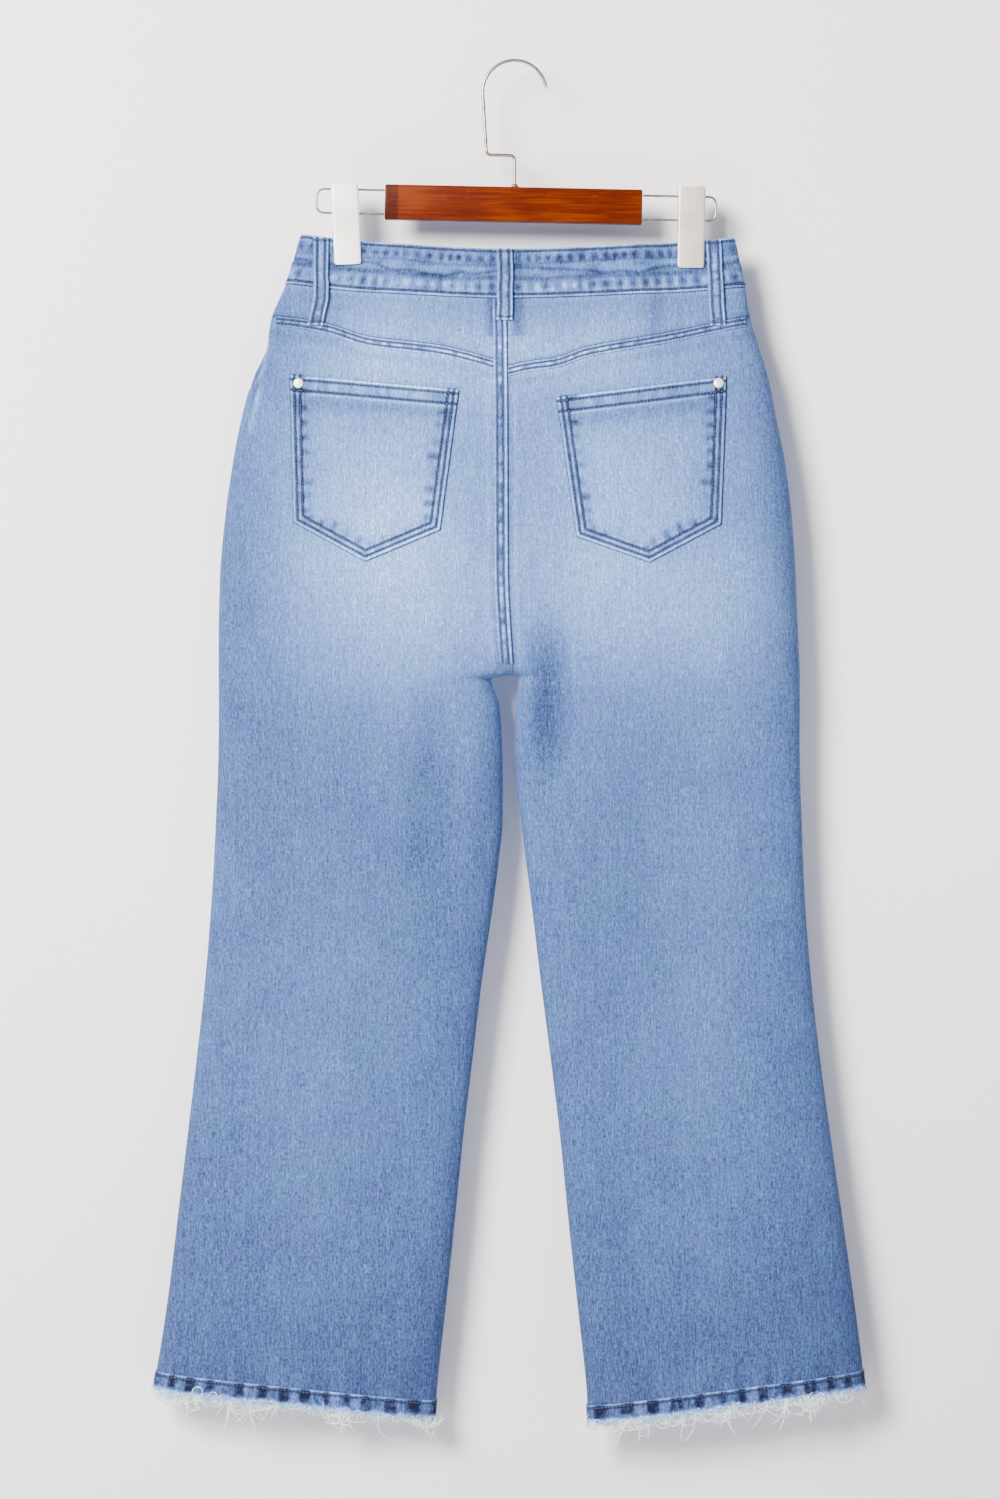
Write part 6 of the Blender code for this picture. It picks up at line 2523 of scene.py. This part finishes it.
@dataclass(frozen=True)
class FrayedCotton:
    """The white weft of denim, unravelled: short threads keep a pale blue, long ones are cream."""

    name: str = "frayed cotton"
    root: str = "#7fb2e2"
    tip: str = "#fffff0"
    patch_mm: float = 14.0

    def material(self) -> bpy.types.Material:
        """Makes the material from each thread's thickness and how blue it has stayed."""
        material, tree, shader = new_material(self.name)
        thick = add_node(tree, "ShaderNodeAttribute", attribute_name="thickness").outputs["Fac"]
        blue = add_node(tree, "ShaderNodeAttribute", attribute_name="blue").outputs["Fac"]
        values = {0: thick, 1: 0.3 * MM, 2: 0.75 * MM}
        share = add_node(tree, "ShaderNodeMapRange", values).outputs[0]
        for factor in (blue, own_noise(tree, self.patch_mm)):
            values = {0: share, 1: factor}
            share = add_node(tree, "ShaderNodeMath", values, operation="MULTIPLY").outputs[0]
        ramp = add_node(tree, "ShaderNodeValToRGB", {0: share})
        give_colours(ramp, ((0.0, self.tip), (0.45, self.root)))
        finish = {"Base Color": ramp.outputs[0], "Roughness": 0.9, "Sheen Weight": 0.3}
        set_inputs(tree, shader, finish)
        return material


def rounded_route(corners: Sequence[tuple[float, float, float]], radius: float) -> list[Vector]:
    """The corners of a route, each rounded to an arc of that radius."""
    route = [Vector(corners[0])]
    for before, corner, after in zip(corners, corners[1:], corners[2:]):
        corner = Vector(corner)
        back = (Vector(before) - corner).normalized()
        ahead = (Vector(after) - corner).normalized()
        half = back.angle(ahead) / 2
        centre = corner + (back + ahead).normalized() * (radius / math.sin(half))
        first = (corner + back * (radius / math.tan(half)) - centre).normalized()
        last = (corner + ahead * (radius / math.tan(half)) - centre).normalized()
        route += [centre + first.slerp(last, k / 12) * radius for k in range(13)]
    return [*route, Vector(corners[-1])]


def tube(
    name: str,
    points: Sequence[Vector],
    radius: float,
    material: bpy.types.Material,
    place: Matrix | None = None,
    round_ends: bool = False,
) -> bpy.types.Object:
    """A bent wire as a plain mesh.

    Args:
        name: The piece's name.
        points: Its middle line in millimetres.
        radius: Its radius in millimetres.
        material: Its finish.
        place: Where it goes, in metres.
        round_ends: Whether its ends are domed.

    Returns:
        The finished piece.
    """
    thick = [1.0] * len(points)
    if round_ends:
        dome = [(1 - math.cos(math.radians(a)), math.sin(math.radians(a))) for a in (12, 35, 60)]
        first = (points[1] - points[0]).normalized()
        last = (points[-2] - points[-1]).normalized()
        head = [points[0] + first * radius * (back - 1) for back, _ in dome]
        tail = [points[-1] + last * radius * (back - 1) for back, _ in reversed(dome)]
        points = [*head, *points, *tail]
        thick = [*(wide for _, wide in dome), *thick, *(wide for _, wide in reversed(dome))]
    curve = bpy.data.curves.new(name, "CURVE")
    curve.dimensions = "3D"
    curve.bevel_depth = radius * MM
    curve.bevel_resolution = 5
    curve.use_fill_caps = True
    spline = curve.splines.new("POLY")
    spline.points.add(len(points) - 1)
    for slot, point, wide in zip(spline.points, points, thick):
        slot.co = (*(Vector(point) * MM), 1.0)
        slot.radius = wide
    bent = bpy.data.objects.new(name + "_path", curve)
    mesh = bpy.data.meshes.new_from_object(bent)
    bpy.data.objects.remove(bent)
    bpy.data.curves.remove(curve)
    mesh.name = name
    if place is not None:
        mesh.transform(place)
    mesh.shade_smooth()
    mesh.set_sharp_from_angle(angle=SHARP_EDGE)
    return put_in_scene(name, mesh, material)


def turned(
    name: str,
    profile: Sequence[tuple[float, float]],
    material: bpy.types.Material,
    place: Matrix,
    sides: int = 40,
) -> bpy.types.Object:
    """A turned piece.

    Args:
        name: The piece's name.
        profile: Radius and height from the middle of its foot to the middle of its top.
        material: Its finish.
        place: Where its foot goes, in metres, with Z out.
        sides: Steps round it.

    Returns:
        The finished piece.
    """
    inner = profile[1:-1]
    angles = np.linspace(0, 2 * math.pi, sides, endpoint=False)
    rings = [[(r * math.cos(a), r * math.sin(a), h) for a in angles] for r, h in inner]
    points = [(0, 0, profile[0][1]), *(p for ring in rings for p in ring), (0, 0, profile[-1][1])]
    faces = []
    for k in range(sides):
        after = (k + 1) % sides
        faces.append((0, 1 + after, 1 + k))
        for i in range(len(inner) - 1):
            low = 1 + i * sides
            faces.append((low + k, low + after, low + sides + after, low + sides + k))
        top = 1 + (len(inner) - 1) * sides
        faces.append((top + k, top + after, len(points) - 1))
    mesh = mesh_from(name, np.array(points, float), faces)
    mesh.transform(place)
    return put_in_scene(name, mesh, material)


@dataclass
class Hanger:
    """The wooden bar, the wire hook and rails, and the two spring clips."""

    steel: bpy.types.Material
    plates: dict[Side, bpy.types.Material]
    wood: bpy.types.Material
    wire_radius: float = 1.4
    hook_radius: float = 26.6
    hook_end: float = 8.0
    neck: tuple[float, float] = (-23.4, 78.0)
    shoulder: float = 78.5
    hook_bend: float = 4.0
    bar_size: tuple[float, float, float] = (216.0, 12.0, 29.0)
    bar_centre: tuple[float, float, float] = (-0.8, 0.0, -120.0)
    bar_tilt: float = 1.2
    bar_ease: float = 1.4
    collar_height: float = 2.6
    rail_radius: float = 1.0
    rail_spacing: float = 20.0
    rail_corner: float = 6.0
    rail_reach: tuple[float, float] = (165.4, 170.1)
    rest: float = 0.45
    clip_width: float = 22.8
    clip_length: float = 68.0
    clip_plate: float = 1.1
    clip_pad: float = 6.0
    clip_top: float = 7.6
    clip_corner: float = 2.3
    clip_bend: float = 1.3
    grip: float = 23.0
    spring_height: float = 18.0
    spring_length: float = 12.0

    def build(self) -> None:
        """Makes every piece in place of its CAD solid."""
        self._hook()
        self._bar()
        self._rails()
        for side in Side:
            self._clip(side)

    def _turn(self) -> Matrix:
        """The bar's own frame, tilted because the cloth pulls it askew."""
        tilt = Matrix.Rotation(math.radians(self.bar_tilt), 4, "Y")
        return Matrix.Translation(Vector(self.bar_centre) * MM) @ tilt

    def _hook(self) -> None:
        """The crook, the cranked neck and the foot that stands on the collar."""
        centre = Vector((0.0, 0.0, self.wire_radius - self.hook_radius))
        angles = np.radians(np.linspace(self.hook_end, 180.0, 64))
        points = [
            centre + self.hook_radius * Vector((math.cos(a), 0.0, math.sin(a))) for a in angles
        ]
        foot = self.bar_centre[2] + self.bar_size[2] / 2 + self.collar_height + 2 * self.rest
        corners = [
            points[-1],
            (self.neck[0], 0.0, -self.neck[1]),
            (0.0, 0.0, -self.shoulder),
            (0.0, 0.0, foot),
        ]
        points += rounded_route(corners, self.hook_bend)[1:]
        made = tube("hook_wire", points, self.wire_radius, self.steel)
        join_model(made, "hanger_hook")

    def _bar(self) -> None:
        """The bar with its eased edges, and the turned collar on it."""
        size = Vector(self.bar_size) * (MM / 2)
        corners = [(x, y, z) for x in (-1, 1) for y in (-1, 1) for z in (-1, 1)]
        faces = [(0, 1, 3, 2), (4, 6, 7, 5), (0, 4, 5, 1), (2, 3, 7, 6), (0, 2, 6, 4), (1, 5, 7, 3)]
        mesh = bpy.data.meshes.new("bar")
        mesh.from_pydata([tuple(Vector(c) * size) for c in corners], [], faces)
        box = put_in_scene("bar_wood", mesh, self.wood)
        ease = box.modifiers.new("eased edges", "BEVEL")
        ease.width = self.bar_ease * MM
        ease.segments = 5
        mesh = bpy.data.meshes.new_from_object(
            box.evaluated_get(bpy.context.evaluated_depsgraph_get())
        )
        box.modifiers.remove(ease)
        mesh.transform(self._turn())
        mesh.shade_smooth()
        mesh.set_sharp_from_angle(angle=math.radians(35))
        box.data = mesh
        join_model(box, "hanger_bar")

        height, top = self.collar_height, self.bar_size[2] / 2 + self.rest
        profile = (
            (0, 0),
            (3.1, 0),
            (3.2, 0.25),
            (3.2, 0.7),
            (3.0, 1.2),
            (2.6, 1.75),
            (2.2, 2.2),
            (2.0, height - 0.1),
            (1.8, height),
            (0, height),
        )
        place = self._turn() @ Matrix.Translation(Vector((-self.bar_centre[0], 0, top)) * MM)
        made = turned("collar_dome", profile, self.steel, place)
        join_model(made, "hanger_collar")

    def _rails(self) -> None:
        """The two long hairpins of wire that the clips slide on."""
        half = self.rail_spacing / 2
        for side, reach in zip(Side, self.rail_reach):
            start, end = side * (self.bar_size[0] / 2 + self.rest), side * reach
            corners = [(start, 0, half), (end, 0, half), (end, 0, -half), (start, 0, -half)]
            route = rounded_route(corners, self.rail_corner)
            name = f"rail_wire_{side.word}"
            made = tube(name, route, self.rail_radius, self.steel, self._turn())
            join_model(made, f"hanger_rail_{side.word}")

    def _depths(self, height: Array) -> tuple[Array, Array]:
        """How far a jaw's face and its flange's edge stand from the middle plane."""
        grip_from = -self.clip_length / 2 + self.grip
        t = smooth((height - grip_from) / (self.clip_length / 2 - grip_from) * 1.6)
        face = mix(self.clip_pad, self.clip_top, t)
        hold, rail = face - self.clip_plate - 0.6, self.rail_radius + self.rest
        return face, mix(hold, rail, smooth(t * 1.5))

    def _clip(self, side: Side) -> None:
        """Two stamped jaws and the coil that holds them shut."""
        clip = CLIPS[side]
        place = Matrix.Translation(Vector((clip.x, 0.0, -clip.drop)) * MM)
        place = place @ Matrix.Rotation(math.radians(clip.tilt), 4, "Y")
        for face in Face:
            made = self._jaw(f"jaw_{side.word}_{face.word}", side, face, place)
            join_model(made, f"clip_{side.word}_jaw_{face.word}")
        made = self._spring(f"coil_{side.word}", side, place)
        join_model(made, f"clip_{side.word}_spring")

    def _jaw(self, name: str, side: Side, face: Face, place: Matrix) -> bpy.types.Object:
        """A channel of plate with rounded corners and a slightly crowned face.

        Args:
            name: The piece's name.
            side: Which clip.
            face: Which of its two jaws.
            place: Where the clip goes, in metres.

        Returns:
            The finished piece.
        """
        half, corner = self.clip_length / 2, self.clip_corner
        ends = corner * (1 - np.cos(np.radians(np.linspace(0, 90, 9))))
        middle = np.linspace(-half + corner, half - corner, 40)[1:-1]
        heights = np.concatenate([-half + ends, middle, half - ends[::-1]])
        near_end = np.clip(half - np.abs(heights), 0, corner)
        drawn_in = corner - np.sqrt(np.maximum(0, corner**2 - (corner - near_end) ** 2))
        wide = self.clip_width / 2 - drawn_in
        out, flange = self._depths(heights)
        flange = mix(out - self.clip_plate - 0.15, flange, smooth((near_end - 0.8) / 1.4))
        outer = self._section(wide, out, flange, self.clip_bend, heights, face)
        inner = self._section(
            wide - self.clip_plate,
            out - self.clip_plate,
            flange,
            self.clip_bend - self.clip_plate + 0.25,
            heights,
            face,
        )
        mesh, _ = shell(name, outer, inner)
        mesh.transform(place)
        return put_in_scene(name, mesh, self.plates[side])

    @staticmethod
    def _section(
        wide: Array, out: Array, flange: Array, bend: float, heights: Array, face: Face
    ) -> Array:
        """The channel's section at each height, from one flange's edge to the other's.

        Args:
            wide: Half its width at each height.
            out: How far its face stands from the middle plane.
            flange: How far its flanges' edges stand from that plane.
            bend: The radius between face and flange.
            heights: The heights, upwards.
            face: Which jaw.

        Returns:
            A grid of points, one row for each height.
        """
        crown = 0.12
        right = [
            (wide, mix(flange, np.maximum(out - bend, flange), share))
            for share in np.linspace(0, 1, 4)
        ]
        for angle in np.radians(np.linspace(15, 90, 6)):
            rounded = out - bend + bend * math.sin(angle)
            right.append((wide - bend * (1 - math.cos(angle)), np.maximum(rounded, flange)))
        for share in np.linspace(1, 0, 7)[1:]:
            right.append(((wide - bend) * share, out + crown * (1 - share**2)))
        half = np.moveaxis(np.array(right), 0, -1)
        x = np.concatenate([half[0], -half[0][:, -2::-1]], axis=1)
        y = np.concatenate([half[1], half[1][:, -2::-1]], axis=1) * face
        z = np.broadcast_to(heights[:, None], x.shape)
        return np.stack([x, y, z], axis=-1)

    def _spring(self, name: str, side: Side, place: Matrix) -> bpy.types.Object:
        """A coil of wire with an arm against each jaw.

        Args:
            name: The piece's name.
            side: Which clip.
            place: Where the clip goes, in metres.

        Returns:
            The finished piece.
        """
        face, _ = self._depths(np.array([self.spring_height]))
        wire = 0.75
        radius = float(face[0]) - self.clip_plate - self.rest - wire
        turns, half = 6, self.spring_length / 2 - wire
        points = []
        for k in range(turns * 20 + 1):
            angle = math.radians(18 * k)
            x = mix(-half, half, k / (turns * 20))
            lift = self.spring_height + radius * math.sin(angle)
            points.append(Vector((x, radius * math.cos(angle), lift)))
        arm = [Vector((-half, radius, self.spring_height - reach)) for reach in (12, 8, 4)]
        tail = [Vector((half, radius, self.spring_height + reach)) for reach in (3, 6)]
        return tube(name, [*arm, *points, *tail], wire, self.plates[side], place)


@dataclass
class Studs:
    """The pocket rivets and the waistband's button."""

    form: Form
    metal: bpy.types.Material
    rivet_radius: float = 4.2
    rivet_height: float = 1.5
    rivet_lift: float = 2.25
    button_radius: float = 8.5
    button_height: float = 3.2
    button_lift: float = 3.7
    rivets: tuple[Spot, Spot] = (Spot(-172.4, 271.9), Spot(178.3, 271.9))

    def build(self) -> None:
        """Makes both rivets and the button."""
        r, h = self.rivet_radius, self.rivet_height
        rivet = (
            (0, 0),
            (r - 0.5, 0),
            (r, 0.35),
            (r, 0.6),
            (r - 0.35, 0.95),
            (r * 0.72, h - 0.2),
            (r * 0.45, h - 0.06),
            (r * 0.2, h),
            (0, h),
        )
        for side, spot in zip(Side, self.rivets):
            place = self._place(Face.BACK, spot, self.rivet_lift)
            made = turned(f"rivet_cap_{side.word}", rivet, self.metal, place, 32)
            join_model(made, f"rivet_{side.word}")
        r, h = self.button_radius, self.button_height
        button = (
            (0, 0),
            (r * 0.86, 0),
            (r - 0.25, 0.5),
            (r, 1.2),
            (r - 0.1, 2.0),
            (r - 0.5, 2.7),
            (r - 1.3, 3.0),
            (r - 2.0, 2.85),
            (r - 2.4, 2.45),
            (r - 3.0, 2.25),
            (r * 0.35, 2.5),
            (r * 0.22, 2.95),
            (r * 0.1, h),
            (0, h),
        )
        drop = float(self.form.waist_line(Face.FRONT, np.zeros(1), WAISTBAND_HEIGHT / 2)[0])
        place = self._place(Face.FRONT, Spot(0.0, drop), self.button_lift)
        made = turned("button_face", button, self.metal, place, 48)
        join_model(made, "button")

    def _place(self, face: Face, spot: Spot, lift: float) -> Matrix:
        """A frame on the cloth at a spot, with Z out."""
        reach = 2.0
        x = np.array([spot.x, spot.x - reach, spot.x + reach, spot.x, spot.x])
        drop = np.array([spot.drop, spot.drop, spot.drop, spot.drop - reach, spot.drop + reach])
        points = self.form.at(face, x, drop)
        out = np.cross(points[2] - points[1], points[4] - points[3])
        out = Vector(out).normalized()
        if out.y * face < 0:
            out.negate()
        foot = Vector(points[0]) + out * lift + Vector((CENTRE_BACK, 0, 0))
        turn = out.to_track_quat("Z", "Y").to_matrix().to_4x4()
        return Matrix.Translation(foot * MM) @ turn


@dataclass
class Studio:
    """A pale wall and floor, soft light and the camera."""

    wall_y: float = 0.038
    floor_z: float = -1.30
    centre: tuple[float, float] = (-0.01218, -0.5775)
    distance: float = 3.5
    frame_height: float = 1499 * 0.84 * MM
    sensor: float = 36.0

    def build(self) -> None:
        """Makes the backdrop, the lights and the camera."""
        self._sheet("wall", (4.0, 3.2), Matrix.Rotation(math.pi / 2, 4, "X"), one_sided=True)
        self._sheet("floor", (4.0, 4.0), Matrix.Identity(4), one_sided=False)
        self._light("key", (-1.8, -3.0, 0.9), 1.6, 520.0, "#fffaf4")
        self._light("fill", (2.2, -3.2, -0.6), 2.4, 18.0, "#f0f4ff")
        self._light("behind", (1.2, 2.8, 0.3), 2.2, 160.0, "#fbfbff")
        world = bpy.data.worlds.new("soft room")
        bpy.context.scene.world = world
        world.use_nodes = True
        sky = world.node_tree.nodes["Background"].inputs
        sky["Color"].default_value, sky["Strength"].default_value = linear("#eef0f5"), 0.17
        lens = bpy.data.cameras.new("camera")
        lens.sensor_width = self.sensor
        lens.lens = self.sensor * self.distance / self.frame_height
        camera = bpy.data.objects.new("camera", lens)
        camera.location = (self.centre[0], -self.distance, self.centre[1])
        camera.rotation_euler = (math.pi / 2, 0.0, 0.0)
        bpy.context.scene.collection.objects.link(camera)
        bpy.context.scene.camera = camera

    def _sheet(self, name: str, size: tuple[float, float], turn: Matrix, one_sided: bool) -> None:
        """A large plane of matt paint; the wall is painted darker towards the floor, as painted
        shade.

        Args:
            name: Wall or floor.
            size: Its width and length in metres.
            turn: How it is turned from lying flat.
            one_sided: Whether it is seen through from behind.
        """
        x, y = size[0] / 2, size[1] / 2
        mesh = bpy.data.meshes.new(name)
        mesh.from_pydata([(-x, -y, 0), (x, -y, 0), (x, y, 0), (-x, y, 0)], [], [(0, 1, 2, 3)])
        middle = Vector((0, self.wall_y, self.floor_z))
        middle += Vector((0, 0, y)) if one_sided else Vector((0, -y, 0))
        mesh.transform(Matrix.Translation(middle) @ turn)
        material, tree, shader = new_material("pale " + name)
        where = add_node(tree, "ShaderNodeTexCoord").outputs["Object"]
        noise = add_node(tree, "ShaderNodeTexNoise", {"Vector": where, "Scale": 1.6})
        # Painted shade: the wall darkens towards the floor, where less light reaches it, mottled by
        # the noise
        height = add_node(tree, "ShaderNodeSeparateXYZ", {0: where}).outputs[2]
        lower = add_node(
            tree, "ShaderNodeMapRange", {0: height, 1: -0.6, 2: self.floor_z, 3: 0.5, 4: 0.0}
        ).outputs[0]
        values = {0: noise.outputs[0], 1: 0.4, 2: lower}
        shade = add_node(tree, "ShaderNodeMath", values, operation="MULTIPLY_ADD").outputs[0]
        ramp = add_node(tree, "ShaderNodeValToRGB", {0: shade})
        give_colours(ramp, ((0.1, "#d3d3d8"), (0.7, "#ecebec")))
        finish = {"Base Color": ramp.outputs[0], "Roughness": 0.95, "Specular IOR Level": 0.1}
        set_inputs(tree, shader, finish)
        if one_sided:
            behind = add_node(tree, "ShaderNodeNewGeometry").outputs["Backfacing"]
            clear = add_node(tree, "ShaderNodeBsdfTransparent")
            either = add_node(
                tree, "ShaderNodeMixShader", {0: behind, 1: shader.outputs[0], 2: clear.outputs[0]}
            )
            tree.links.new(either.outputs[0], tree.nodes["Material Output"].inputs["Surface"])
        made = put_in_scene(name, mesh, material)
        made.visible_shadow = not one_sided

    def _light(
        self, name: str, place: tuple[float, float, float], size: float, power: float, colour: str
    ) -> None:
        """A large soft lamp aimed at the middle of the jeans.

        Args:
            name: What the lamp is for.
            place: Where it stands, in metres.
            size: Its width in metres.
            power: Its power in watts.
            colour: Its colour as sRGB hex.
        """
        lamp = bpy.data.lights.new(name, "AREA")
        lamp.shape = "DISK"
        lamp.size = size
        lamp.energy = power
        lamp.color = linear(colour)[:3]
        made = bpy.data.objects.new(name, lamp)
        made.location = place
        aim = Vector((0.0, 0.0, self.centre[1])) - Vector(place)
        made.rotation_euler = aim.to_track_quat("-Z", "Y").to_euler()
        bpy.context.scene.collection.objects.link(made)


def main() -> None:
    """Builds the jeans, their hanger and the studio."""
    logging.basicConfig(level=logging.INFO, format="%(name)s: %(message)s")
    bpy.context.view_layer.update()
    Studio().build()
    form = Form()
    denim = {
        Slot.DENIM: Denim("washed denim").material(),
        Slot.FADED: Denim("faded denim").material(),
        Slot.SEAM: Denim("seam denim").material(),
    }
    thread = NeedleThread().material()
    cuts: dict[str, CutSheet] = {}
    legs, waist = Legs(form, denim, cuts), Waist(form, denim, cuts)
    pockets, front = BackPockets(form, denim, cuts), Front(form, denim, cuts)
    legs.build()
    Yokes(form, denim, cuts).build()
    waist.build()
    Seams(form, denim, cuts).build()
    pockets.build()
    front.build(legs)
    Hems(form, denim, cuts).build()
    Sewing(form, thread, cuts).build(waist, legs, pockets, front)
    Fray(form, FrayedCotton().material(), cuts).build()
    for cut in cuts.values():
        cut.declare()
    steel = SatinNickel("bright nickel wire", "#a19c96", "#7d7873", 0.26).material()
    # One nickel for both clips: the right clip's copy, on its jaws and coil, is painted darker as
    # painted shade for the dimmer reflection it shows
    plates = {
        Side.LEFT: SatinNickel("satin nickel plate", "#f4f0ea", "#e9e3da", 0.42, 0.4).material(),
        Side.RIGHT: SatinNickel("dulled nickel plate", "#ddd5cb", "#cfc6ba", 0.40, 0.8).material(),
    }
    Studs(form, plates[Side.LEFT]).build()
    Hanger(steel, plates, LacqueredWood().material()).build()


if __name__ == "__main__":
    main()
